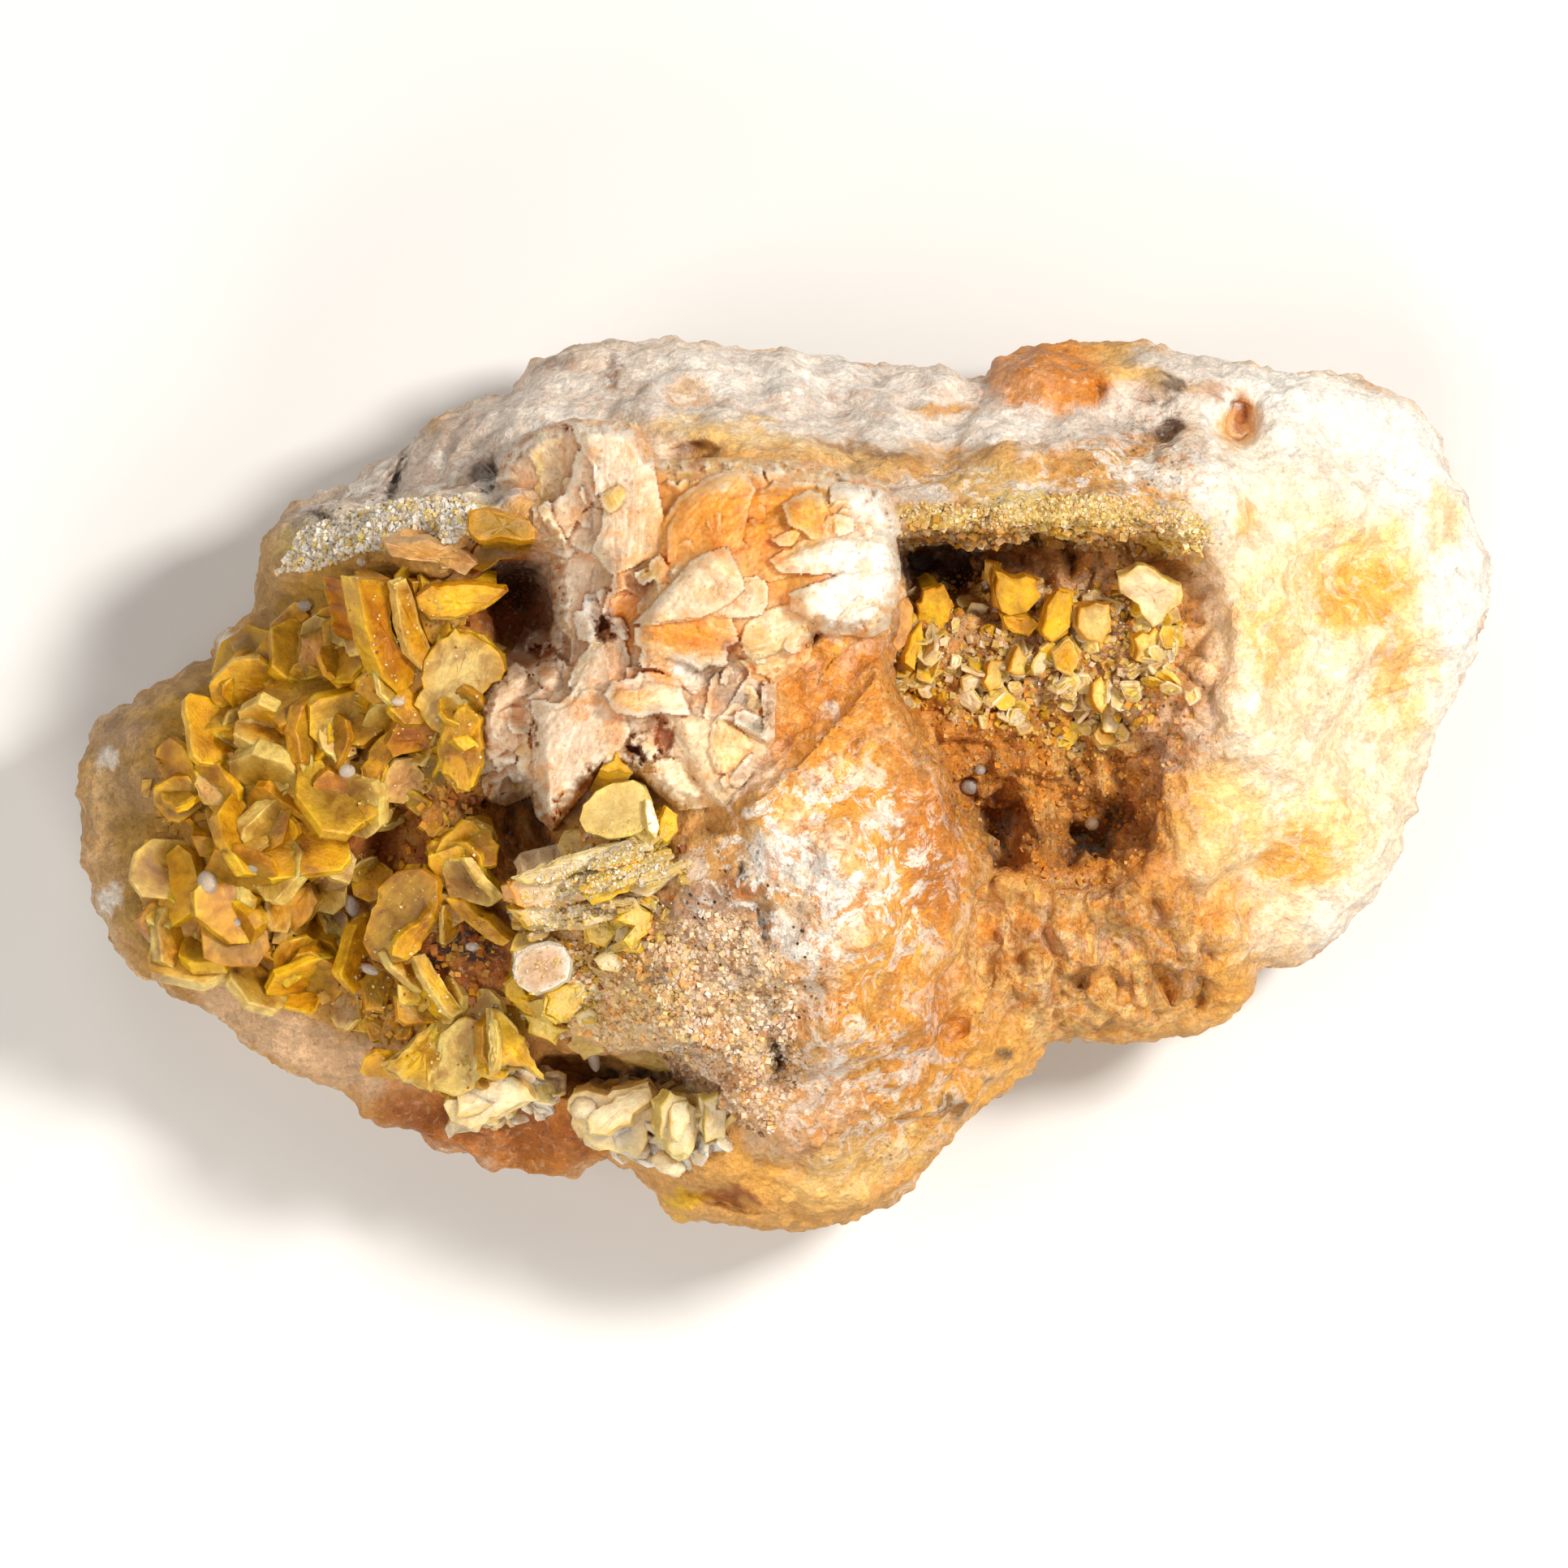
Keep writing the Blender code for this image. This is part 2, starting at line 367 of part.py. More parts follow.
def mesh_object(name, bm):
    bmesh.ops.triangulate(bm, faces=bm.faces)
    bmesh.ops.recalc_face_normals(bm, faces=bm.faces)
    mesh = bpy.data.meshes.new(name)
    bm.to_mesh(mesh)
    bm.free()
    obj = bpy.data.objects.new(name, mesh)
    bpy.context.scene.collection.objects.link(obj)
    return obj


def rings_object(name, rings):
    bm = bmesh.new()
    add_rings(bm, rings)
    return mesh_object(name, bm)


def rock_rings():
    """Rings of the bare stone, from the middle of its base over the rim to the middle of its upper side."""
    angles = np.linspace(-math.pi, math.pi, SPOKES, endpoint=False)
    radius = edge_radius(OUTLINE, (0, 0), angles)
    lower, upper = [], []
    for share in np.linspace(0.01, 1, RINGS):
        x, y = share * radius * np.cos(angles), share * radius * np.sin(angles)
        underside = RIM_HEIGHT * (1 - shoulder(radius * (1 - share), BASE_SHOULDER))
        lower.append(np.column_stack([x, y, underside]))
        upper.append(np.column_stack([x, y, rock_height(x, y)]))
    return lower + upper[-2::-1]


def apply_modifiers(obj):
    """Replaces the object's mesh with the evaluated one and drops its modifiers."""
    graph = bpy.context.evaluated_depsgraph_get()
    graph.update()
    mesh = bpy.data.meshes.new_from_object(obj.evaluated_get(graph))
    obj.modifiers.clear()
    obj.data = mesh


def roughen(mesh):
    """Moves each point along its normal by a soft natural unevenness, and keeps the base flat."""
    normals = [vertex.normal.copy() for vertex in mesh.vertices]
    for vertex, normal in zip(mesh.vertices, normals):
        vertex.co += normal * noise.fractal(vertex.co / ROCK_RELIEF_SIZE, 0.7, 2.1, 4) * ROCK_RELIEF
        if vertex.co.z < BASE_CUT:
            vertex.co.z = BASE_CUT
        vertex.co.z -= BASE_CUT


def soften_and_facet(obj):
    remesh = obj.modifiers.new("even grid", "REMESH")
    remesh.mode = "VOXEL"
    remesh.voxel_size = VOXEL
    apply_modifiers(obj)
    roughen(obj.data)
    decimate = obj.modifiers.new("facets", "DECIMATE")
    decimate.ratio = ROCK_TRIANGLES / (2 * len(obj.data.polygons))
    apply_modifiers(obj)
    for vertex in obj.data.vertices:
        if vertex.co.z < BASE_FLATNESS:
            vertex.co.z = 0.0


def octagon(length, width):
    """A rectangle with its corners cut off, as wulfenite tablets have."""
    cut = 0.26 * min(length, width)
    a, b = length / 2, width / 2
    upper = [(a, b - cut), (a - cut, b), (cut - a, b), (-a, b - cut)]
    return upper + [(-x, -y) for x, y in upper]


def lozenge(length, width):
    """A long six-sided outline with pointed ends, as barite blades have."""
    a, b = length / 2, width / 2
    upper = [(a, 0.1 * b), (0.45 * a, b), (-0.5 * a, 0.92 * b)]
    return upper + [(-x, -y) for x, y in upper]


def plate_rings(plate, outline, middle, grow=0.0):
    """The corners of a plate's two faces. The upper face is smaller, so the edges slant."""
    turn = Matrix.Rotation(math.radians(plate.heading), 4, "Z")
    turn @= Matrix.Rotation(math.radians(-plate.pitch), 4, "Y")
    turn @= Matrix.Rotation(math.radians(plate.tilt), 4, "X")
    half = plate.thickness / 2 + grow
    rings = []
    for level, share in ((-half, 1.0), (half, 1 - EDGE_SLANT * plate.thickness / plate.width)):
        corners = outline(share * plate.length + 2 * grow, share * plate.width + 2 * grow)
        rings.append([middle + turn @ Vector((x, y, level)) for x, y in corners])
    return rings


def settled_middle(plate, outline, ground):
    """A plate's middle at its lift above the rock, or lower where only that sets an edge in the ground."""
    middle = Vector((plate.x, plate.y, rock_height(plate.x, plate.y) + plate.lift))
    heights = []
    for corner in [middle, *sum(plate_rings(plate, outline, middle), [])]:
        hit = ground.ray_cast(Vector((corner.x, corner.y, ROOM_TOP)), Vector((0, 0, -1)))[0]
        if hit:
            heights.append(corner.z - hit.z)
    middle.z -= max(0.0, min(heights) + BITE)
    return middle


def add_core(bm, core, grow=0.0):
    x, y, depth, *radii = core
    middle = Vector((x, y, rock_height(x, y) - depth))
    size = Matrix.Diagonal([radius + grow for radius in radii]).to_4x4()
    bmesh.ops.create_icosphere(bm, subdivisions=2, radius=1, matrix=Matrix.Translation(middle) @ size)


def patch_points(patch, share, outward=0.0):
    """Plan points of one ring of a patch, a share of the way to its edge."""
    centre = np.mean(np.array(patch.edge), axis=0)
    angles = np.linspace(-math.pi, math.pi, patch.spokes, endpoint=False)
    reach = share * edge_radius(patch.edge, centre, angles) + outward
    return centre[0] + reach * np.cos(angles), centre[1] + reach * np.sin(angles)


def patch_rings(patch, level):
    """Rings over a patch from its middle to its edge, at the rock's height plus level(share of the way)."""
    rings = []
    for share in np.linspace(0, 1, patch.rings + 1):
        x, y = patch_points(patch, max(share, 0.08))
        rings.append(np.column_stack([x, y, rock_height(x, y) + level(share)]))
    return rings


def bed_rings(patch, grow=0.0):
    """The bed that crystals stand in. It is too deep and too wide, because the room trims it."""
    x, y = patch_points(patch, 1.0, 0.8)
    low = patch_rings(patch, lambda share: -patch.below - 1)
    low.append(np.column_stack([x, y, rock_height(x, y) - patch.below - 1]))
    high = patch_rings(patch, lambda share: patch.above * (1 - share**2) + grow)
    high.append(np.column_stack([x, y, rock_height(x, y) + grow - 0.1]))
    return low + high[::-1]


def room_rings(patch, grow=0.0):
    """The space that a group may fill: down to the bottom of its bed, and widening upwards round it."""
    rings = patch_rings(patch, lambda share: -patch.below - grow)
    edge_level = rings[-1][:, 2]
    steps = [(ROOM_FLARE, ROOM_RISE)]
    if grow:
        steps = [(grow, 0.0), (grow + ROOM_FLARE, ROOM_RISE)]
    for outward, rise in steps:
        x, y = patch_points(patch, 1.0, outward)
        rings.append(np.column_stack([x, y, edge_level + rise]))
    rings.append(rings[-1] * (1, 1, 0) + (0, 0, ROOM_TOP))
    return rings


def boolean(obj, other, operation, solver="EXACT"):
    """Joins, trims or cuts obj with the other object, which is used up."""
    modifier = obj.modifiers.new(operation, "BOOLEAN")
    modifier.operation = operation
    modifier.object = other
    modifier.solver = solver
    modifier.use_self = True
    apply_modifiers(obj)
    bpy.data.objects.remove(other)
    bm = bmesh.new()
    bm.from_mesh(obj.data)
    bmesh.ops.triangulate(bm, faces=bm.faces)
    bm.to_mesh(obj.data)
    bm.free()


def largest_shell(bm):
    unseen, largest = set(bm.verts), set()
    while unseen:
        shell, queue = set(), [unseen.pop()]
        while queue:
            vertex = queue.pop()
            if vertex not in shell:
                shell.add(vertex)
                queue += [edge.other_vert(vertex) for edge in vertex.link_edges]
        unseen -= shell
        largest = max(largest, shell, key=len)
    return largest


def tidy(mesh):
    """Drops crumbs that cuts have left loose and splits faces into triangles."""
    bm = bmesh.new()
    bm.from_mesh(mesh)
    keep = largest_shell(bm)
    bmesh.ops.delete(bm, geom=[vertex for vertex in bm.verts if vertex not in keep], context="VERTS")
    bmesh.ops.dissolve_degenerate(bm, edges=bm.edges, dist=MERGE)
    bmesh.ops.dissolve_limit(bm, angle_limit=math.radians(FLATNESS), verts=bm.verts, edges=bm.edges)
    bmesh.ops.triangulate(bm, faces=bm.faces)
    bm.to_mesh(mesh)
    bm.free()


def group_solid(name, group, grow=0.0):
    """The bed, cores and plates of a group joined in one solid and trimmed to their room."""
    ground = bmesh.new()
    add_rings(ground, bed_rings(group.patch))
    growths = bmesh.new()
    for core in group.cores:
        add_core(ground, core)
        add_core(growths, core, grow)
    tree = BVHTree.FromBMesh(ground)
    ground.free()
    for plate in group.plates:
        middle = settled_middle(plate, group.outline, tree)
        add_rings(growths, plate_rings(plate, group.outline, middle, grow))
    solid = rings_object(name, bed_rings(group.patch, grow))
    boolean(solid, mesh_object("growths", growths), "UNION")
    boolean(solid, rings_object("room", room_rings(group.patch, grow)), "INTERSECT")
    return solid


def finish(obj):
    colour, roughness = COLOURS[obj.name]
    material = bpy.data.materials.new(obj.name)
    material.use_nodes = True
    shader = material.node_tree.nodes["Principled BSDF"]
    shader.inputs["Base Color"].default_value = colour
    shader.inputs["Roughness"].default_value = roughness
    obj.data.materials.clear()
    obj.data.materials.append(material)
    obj.data.transform(Matrix.Scale(MM, 4))


GROUPS = {
    "wulfenite_druse": Group(DRUSE_PLATES, octagon, [], DRUSE_PATCH),
    "wulfenite_plates": Group(CENTRE_PLATES, octagon, CENTRE_CORES, CENTRE_PATCH),
    "barite_blades": Group(BARITE_PLATES, lozenge, BARITE_CORES, BARITE_PATCH),
    "milky_crystals_left": Group(MILKY_LEFT_PLATES, lozenge, [], MILKY_LEFT_PATCH),
    "milky_crystals_right": Group(MILKY_RIGHT_PLATES, lozenge, [], MILKY_RIGHT_PATCH),
    "vug_crystals": Group(VUG_PLATES, octagon, [], VUG_PATCH),
}
NEIGHBOURS = [  # the first of each pair stands whole, and the second stops short of it
    ("wulfenite_druse", "barite_blades"), ("wulfenite_druse", "wulfenite_plates"),
    ("wulfenite_druse", "milky_crystals_left"), ("wulfenite_plates", "barite_blades"),
]
COLOURS = {  # base colour and roughness
    "matrix": ((0.62, 0.37, 0.17, 1), 0.8),
    "wulfenite_druse": ((0.66, 0.47, 0.08, 1), 0.3),
    "wulfenite_plates": ((0.70, 0.55, 0.16, 1), 0.25),
    "barite_blades": ((0.84, 0.70, 0.58, 1), 0.45),
    "milky_crystals_left": ((0.86, 0.80, 0.68, 1), 0.3),
    "milky_crystals_right": ((0.86, 0.80, 0.68, 1), 0.3),
    "vug_crystals": ((0.74, 0.58, 0.14, 1), 0.35),
}


def main():
    clear_scene()
    rock = rings_object("matrix", rock_rings())
    soften_and_facet(rock)
    solids = []
    for name, group in GROUPS.items():
        solids.append(group_solid(name, group))
    for first, second in NEIGHBOURS:
        cutter = group_solid("cutter", GROUPS[first], GAP)
        boolean(bpy.data.objects[second], cutter, "DIFFERENCE", "MANIFOLD")
    for group in GROUPS.values():
        boolean(rock, rings_object("seat", room_rings(group.patch, GAP)), "DIFFERENCE", "MANIFOLD")
    for obj in [rock, *solids]:
        tidy(obj.data)
        finish(obj)


main()
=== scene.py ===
"""Looks of the wulfenite specimen: its rock in full detail and the crystals that grew on it.

Everything is modelled in millimetres with z = 0 at the base, and scaled to metres as each piece is made.
Plan positions are those of the part's source, measured from the middle of the stone.
"""

import math
from typing import NamedTuple

import bpy
import numpy as np
from mathutils import Matrix, Vector, noise
from mathutils.bvhtree import BVHTree


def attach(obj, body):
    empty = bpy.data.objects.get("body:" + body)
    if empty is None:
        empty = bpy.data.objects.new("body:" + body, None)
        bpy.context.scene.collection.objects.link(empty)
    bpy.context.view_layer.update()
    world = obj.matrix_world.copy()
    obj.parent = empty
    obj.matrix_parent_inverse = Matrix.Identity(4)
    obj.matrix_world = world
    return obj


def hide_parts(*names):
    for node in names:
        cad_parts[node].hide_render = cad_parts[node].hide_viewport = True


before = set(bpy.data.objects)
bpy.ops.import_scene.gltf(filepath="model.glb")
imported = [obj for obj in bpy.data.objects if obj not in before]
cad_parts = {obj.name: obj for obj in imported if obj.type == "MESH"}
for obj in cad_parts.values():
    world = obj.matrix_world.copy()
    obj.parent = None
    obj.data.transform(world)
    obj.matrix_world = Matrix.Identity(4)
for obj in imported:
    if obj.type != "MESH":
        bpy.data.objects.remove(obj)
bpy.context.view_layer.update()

MM = 0.001

# The rock's form, as in the part's source.
RIM_HEIGHT = 8.5
TOP_SHOULDER = 6.5
BASE_SHOULDER = 5.5
BASE_CUT = 0.4
BASE_FLATNESS = 0.12
ROCK_RELIEF = 0.55
ROCK_RELIEF_SIZE = 3.4
SPOKES, RINGS = 320, 70

# Detail that only this script adds.
VOXEL = 0.2
ROCK_TRIANGLES = 196000

# The stone's outline in plan, clockwise from its left end.
OUTLINE = [
    (-30.0, -1.0), (-29.9, 1.0), (-29.4, 2.4), (-27.3, 3.9), (-24.5, 5.0), (-24.2, 6.3), (-23.3, 6.9),
    (-22.5, 7.4), (-22.1, 10.0), (-21.4, 11.2), (-19.0, 12.9), (-15.8, 14.4), (-14.9, 15.5), (-12.0, 17.0),
    (-8.7, 18.8), (-7.5, 19.0), (-5.2, 18.75), (-3.5, 18.95), (-1.0, 18.35), (0.6, 18.5), (2.0, 18.1),
    (6.0, 17.7), (7.0, 17.85), (7.9, 17.25), (9.0, 17.35), (9.8, 18.3), (10.8, 18.7), (13.8, 18.7),
    (17.5, 18.3), (21.5, 17.7), (23.6, 17.7), (26.5, 16.6), (27.1, 15.8), (28.0, 15.1), (28.4, 13.6),
    (30.2, 9.8), (30.5, 8.0), (29.8, 6.3), (27.7, 2.2), (27.4, 0.4), (26.2, -3.3), (23.8, -6.6),
    (22.2, -7.5), (20.2, -7.6), (19.0, -10.0), (18.0, -10.5), (12.6, -10.75), (11.4, -11.2), (10.3, -12.6),
    (7.4, -15.0), (4.6, -17.9), (3.4, -18.6), (1.2, -19.0), (-2.0, -18.95), (-4.4, -18.6), (-5.2, -18.0),
    (-6.3, -16.3), (-7.6, -15.8), (-9.2, -16.5), (-12.5, -16.7), (-13.8, -15.75), (-15.1, -15.6),
    (-15.8, -14.8), (-18.2, -14.5), (-19.0, -13.2), (-21.7, -11.9), (-24.6, -9.6), (-28.0, -8.0),
    (-29.4, -5.5),
]

# Heights of the rock's upper side (x, y, z), region by region.
HEIGHTS = {
    "white upper slope": [
        (-18, 12.4, 12.5), (-14, 14.3, 15.0), (-8, 17, 14.5), (-3, 16.8, 15.5), (2, 16.4, 15.5),
        (7, 15.6, 16.5), (11, 17, 15.0), (15, 16.4, 15.5), (20, 16, 14.5), (25, 14.5, 12.0),
    ],
    "crest": [
        (-10, 13.6, 18.8), (-7.5, 12, 20.0), (-3, 14.6, 20.0), (1, 13.8, 21.0), (5, 13, 21.2),
        (9, 12.4, 21.6), (13, 12.2, 20.6), (17, 12, 18.6),
    ],
    "fan seat": [
        (-2, 11, 22.0), (2, 10.5, 23.6), (3.6, 8, 24.2), (-3, 7.5, 22.4), (2.8, 5, 24.4), (3, 3, 24.0),
    ],
    "centre": [
        (-9, 4, 19.5), (-4.5, 3, 21.5), (-1.2, 2, 22.6), (0.2, -0.8, 24.4), (2.4, -3, 25.2), (4.6, 0, 23.2),
        (5.8, -3, 22.2), (3, -6, 24.2), (0, -7, 23.4), (-3, -5, 23.0), (-4, -8, 21.8), (-2, -11, 20.4),
        (2, -10, 22.0), (5, -9, 20.2), (6.8, -6, 19.0), (1, -14, 17.6), (-2, -16, 15.0), (4, -15, 15.2),
        (7, -12, 14.6),
    ],
    "lower bridge": [(9.6, -6, 13.2), (13, -6.5, 12.6), (16, -7, 12.2), (12, -9, 11.6), (17, -9.4, 10.4)],
    "right mass": [
        (19.6, 8, 17.4), (19.6, 3, 17.0), (18, -2, 15.2), (22, 12, 15.6), (23, 5, 14.6), (22, -2, 12.8),
        (26, 9, 12.0), (26, 3, 11.0), (21, -5, 11.0),
    ],
    "left ledge": [(-13, 10.8, 18.8), (-16.5, 10.8, 17.0), (-20, 10.4, 14.4)],
    "left pocket": [
        (-11, 7.5, 15.0), (-12.3, 2, 18.0), (-14, -1, 16.0), (-17, -2.5, 13.6), (-16, 6, 16.6),
        (-20, 4, 13.4), (-22, 7.5, 13.4), (-19, 1, 14.0), (-23, 1, 13.0), (-24, 4, 12.0), (-27, 2, 11.4),
        (-27.4, -3, 11.0), (-23, -4, 12.8), (-20, -5.5, 11.4), (-22, -8, 11.6), (-26, -6.5, 10.8),
        (-18, -8.4, 12.0), (-15, -6, 15.2), (-12.2, -7.6, 15.4), (-9, -7, 18.8), (-7, -2.5, 20.6),
        (-11, -2, 15.8), (-16, -11, 13.6), (-12, -11, 15.2), (-19, -11.6, 10.4),
    ],
    "lower left rim": [
        (-13, -13.5, 11.4), (-8, -13, 12.2), (-5, -14.4, 13.4), (-12, -15.6, 8.8), (-17, -13.6, 8.8),
    ],
}
HEIGHT_SOFTNESS = 1.5  # rounds the surface off around each height
VUG_RIM = [
    (4.6, 10.4), (8.5, 10.6), (10.5, 11.0), (15.5, 10.7), (17.5, 10.2), (18.7, 8.4), (18.9, 5.5),
    (18.4, 2.2), (16.2, 0), (15.8, -2.2), (14.8, -3.9), (12.3, -4.3), (10.3, -3.8), (8.8, -4.1),
    (7.5, -2.6), (6.7, 0), (5.4, 2.6), (4.3, 4.0), (4.2, 5.8), (4.9, 9.0),
]
VUG_FLOOR = [
    (6.4, 9.4, 10.6), (11, 9.0, 13.2), (15, 8.6, 14.4), (16.8, 4, 15.4), (12, 4.6, 13.4), (8.5, 4, 13.6),
    (5.9, 6.0, 14.2), (9.4, 0.4, 12.8), (13, 1, 11.2), (12.8, -2.2, 8.6), (9.1, -2.2, 8.8),
    (11.0, -2.6, 12.2), (14.8, -1.5, 11.0),
]


class Strip(NamedTuple):
    """A long ridge on the rock, or a groove where the rise is negative, along a line of plan points."""

    rise: float
    half_width: float
    line: list


STRIPS = {
    "shelf over the pocket": Strip(2.6, 1.3, [(-21.0, 10.4), (-17.5, 10.5), (-14.0, 10.3), (-11.6, 10.7)]),
    "lip over the vug": Strip(1.0, 0.7, [(5.6, 11.5), (9.0, 11.6), (13.0, 11.4), (16.6, 11.0)]),
    "crack under the slope": Strip(-4.0, 0.7, [(-10.0, -11.9), (-8.0, -12.2), (-3.0, -12.3)]),
    "ledge over the crack": Strip(1.4, 0.8, [(-8.4, -10.8), (-6.0, -11.2), (-3.4, -11.6)]),
    "gap by the blades": Strip(-3.2, 1.0, [(-11.0, -0.6), (-11.3, -2.2), (-10.2, -3.0)]),
    "gap under the shelf": Strip(-2.4, 1.0, [(-12.6, 8.9), (-11.2, 8.4), (-10.6, 6.8)]),
    "pocket shadow": Strip(-2.4, 1.1, [(-19.4, -6.4), (-17.6, -4.2), (-16.6, -2.8)]),
    "seam by the bridge": Strip(-2.2, 0.6, [(7.9, -3.6), (8.3, -5.6), (8.0, -8.0), (7.0, -10.0)]),
    "wide rib": Strip(1.6, 0.8, [(15.0, -4.2), (16.4, -6.6), (17.2, -8.2)]),
    "narrow rib": Strip(1.5, 0.6, [(14.2, -5.2), (15.0, -7.4), (15.4, -9.6)]),
    "end rib": Strip(1.4, 0.6, [(19.0, -6.4), (19.3, -8.0)]),
    "low rib": Strip(1.4, 0.6, [(10.8, -8.0), (10.9, -11.0)]),
    "long rib": Strip(1.0, 0.7, [(12.6, -5.2), (13.0, -9.6)]),
    "upper trough": Strip(-1.4, 2.0, [(3.0, 15.0), (8.0, 14.6), (13.0, 15.2)]),
    "diagonal grain": Strip(-0.9, 0.4, [(-2.6, -1.4), (-0.2, 1.0), (2.0, 3.4), (3.8, 6.0)]),
    "second grain": Strip(0.8, 0.5, [(-1.6, -0.9), (1.4, 2.2), (3.6, 4.4)]),
}
KNOBS = [  # (x, y, radius, rise)
    (11.3, 17.6, 1.8, 2.2), (7.0, 17.3, 1.0, 1.0), (-23.7, 6.0, 1.0, 1.2), (-14.6, -14.7, 1.1, 1.4),
    (-12.3, -15.5, 1.3, 1.6), (-9.8, -15.4, 1.2, 1.4), (-17.2, -13.6, 1.3, 1.2), (16.6, 15.3, 0.9, -1.8),
    (19.5, 15.6, 0.7, -1.6), (2.2, -3.0, 2.4, 0.8), (4.8, -6.6, 2.0, 0.8), (2.4, -9.4, 1.8, 0.7),
    (0.0, -12.0, 1.0, -0.8), (6.0, -12.6, 1.8, 0.9), (24.4, -3.4, 2.2, 0.9), (27.0, 11.4, 2.0, 0.8),
    (22.6, 8.6, 1.8, -0.9), (-27.8, -5.6, 1.6, 0.9), (-26.6, 1.8, 1.6, 0.8), (14.0, 17.2, 1.2, 0.8),
]

# The ground that each group of crystals covers, and how high its bed rises in the middle.
BEDS = [
    (
        [
            (-28.2, -1.0), (-28.2, 1.6), (-26.0, 3.4), (-22.6, 4.9), (-21.0, 7.4), (-19.4, 9.3), (-14.0, 9.4),
            (-11.6, 11.0), (-11.4, 9.9), (-12.8, 6.6), (-13.2, 2.0), (-12.6, -1.6), (-12.4, -4.8),
            (-11.4, -11.6), (-13.8, -12.6), (-17.0, -12.3), (-20.5, -11.0), (-24.0, -8.5), (-27.0, -6.6),
            (-28.0, -4.0),
        ],
        0.9,
    ),
    (
        [
            (-3.9, -2.6), (-5.4, -0.9), (-8.0, -1.8), (-11.2, -3.4), (-11.6, -6.2), (-11.2, -9.4),
            (-8.0, -10.0), (-5.6, -6.8),
        ],
        0.6,
    ),
    (
        [
            (-6.5, 15.0), (-10.4, 14.2), (-10.0, 9.4), (-11.5, 5.8), (-11.8, 1.2), (-9.6, -0.9), (-6.6, 0.1),
            (-1.6, 0.4), (-1.2, 4.6), (1.4, 6.4), (4.2, 7.6), (4.4, 12.4), (0.4, 14.0),
        ],
        0.6,
    ),
    ([(-14.4, -13.2), (-13.0, -12.2), (-10.8, -12.2), (-11.4, -13.6), (-13.6, -14.4)], 0.5),
    ([(-8.8, -14.6), (-6.8, -13.2), (-3.6, -13.4), (-3.0, -14.8), (-5.4, -15.6)], 0.5),
    (
        [
            (6.3, 5.2), (6.5, 8.0), (8.4, 8.9), (11.0, 9.1), (14.2, 9.1), (16.3, 8.0), (16.0, 5.4),
            (14.6, 2.6), (12.4, 1.9), (9.4, 2.7), (7.2, 3.8),
        ],
        0.5,
    ),
]


def smooth_step(value):
    value = np.clip(value, 0, 1)
    return value * value * (3 - 2 * value)


def edge_radius(outline, centre, angles):
    """Distance from the centre to an outline that goes once round it, at each angle."""
    points = np.array(outline, float) - centre
    around = np.arctan2(points[:, 1], points[:, 0])
    order = np.argsort(around)
    return np.interp(angles, around[order], np.hypot(*points[order].T), period=2 * math.pi)


def segment_distance(x, y, start, end):
    """Distance from each place to a straight line between two points."""
    along_x, along_y = end[0] - start[0], end[1] - start[1]
    share = ((x - start[0]) * along_x + (y - start[1]) * along_y) / (along_x**2 + along_y**2)
    share = np.clip(share, 0, 1)
    return np.hypot(x - start[0] - share * along_x, y - start[1] - share * along_y)


def inside_distance(x, y, outline):
    """Distance to the outline, positive inside it."""
    nearest = np.full(x.shape, np.inf)
    inside = np.zeros(x.shape, bool)
    for start, end in zip(outline, outline[1:] + outline[:1]):
        nearest = np.minimum(nearest, segment_distance(x, y, start, end))
        rise = end[1] - start[1]
        if rise:
            crossing = start[0] + (y - start[1]) / rise * (end[0] - start[0])
            inside ^= ((start[1] > y) != (end[1] > y)) & (x < crossing)
    return np.where(inside, nearest, -nearest)


def blend_heights(x, y, posts):
    """A smooth surface through the posts (x, y, z), each one weighing most near itself."""
    total = np.zeros(x.shape)
    weights = np.zeros(x.shape)
    for post_x, post_y, post_z in posts:
        weight = 1 / ((x - post_x) ** 2 + (y - post_y) ** 2 + HEIGHT_SOFTNESS**2) ** 2
        total += weight * post_z
        weights += weight
    return total / weights


def strip_rise(x, y, strip):
    """How much a strip raises the rock: fully near its line, and not at all past twice its half width."""
    distance = np.full(x.shape, np.inf)
    for start, end in zip(strip.line, strip.line[1:]):
        distance = np.minimum(distance, segment_distance(x, y, start, end))
    return strip.rise * smooth_step(1.6 - 0.8 * distance / strip.half_width)


def rock_top(x, y):
    """Height of the rock's upper side over plan points, before the stone rounds off to its rim."""
    z = blend_heights(x, y, [post for region in HEIGHTS.values() for post in region])
    for strip in STRIPS.values():
        z = z + strip_rise(x, y, strip)
    for knob_x, knob_y, radius, rise in KNOBS:
        z = z + rise * np.exp(-((x - knob_x) ** 2 + (y - knob_y) ** 2) / radius**2)
    wall = 0.7 + 2.6 * smooth_step((x - y - 4) / 12)  # steepest at the vug's upper left
    into_vug = smooth_step(inside_distance(x, y, VUG_RIM) / wall + 0.35)
    return z + (blend_heights(x, y, VUG_FLOOR) - z) * into_vug


def shoulder(distance, width):
    """Rises from 0 at the rim to 1 over the shoulder's width, as a quarter of an ellipse."""
    return np.sqrt(1 - (1 - np.clip(distance / width, 0, 1)) ** 2)


def rock_height(x, y):
    """Height of the finished upper side, where crystals are seated."""
    x, y = np.asarray(x, float), np.asarray(y, float)
    to_edge = edge_radius(OUTLINE, (0, 0), np.arctan2(y, x)) - np.hypot(x, y)
    return RIM_HEIGHT + (rock_top(x, y) - RIM_HEIGHT) * shoulder(to_edge, TOP_SHOULDER)


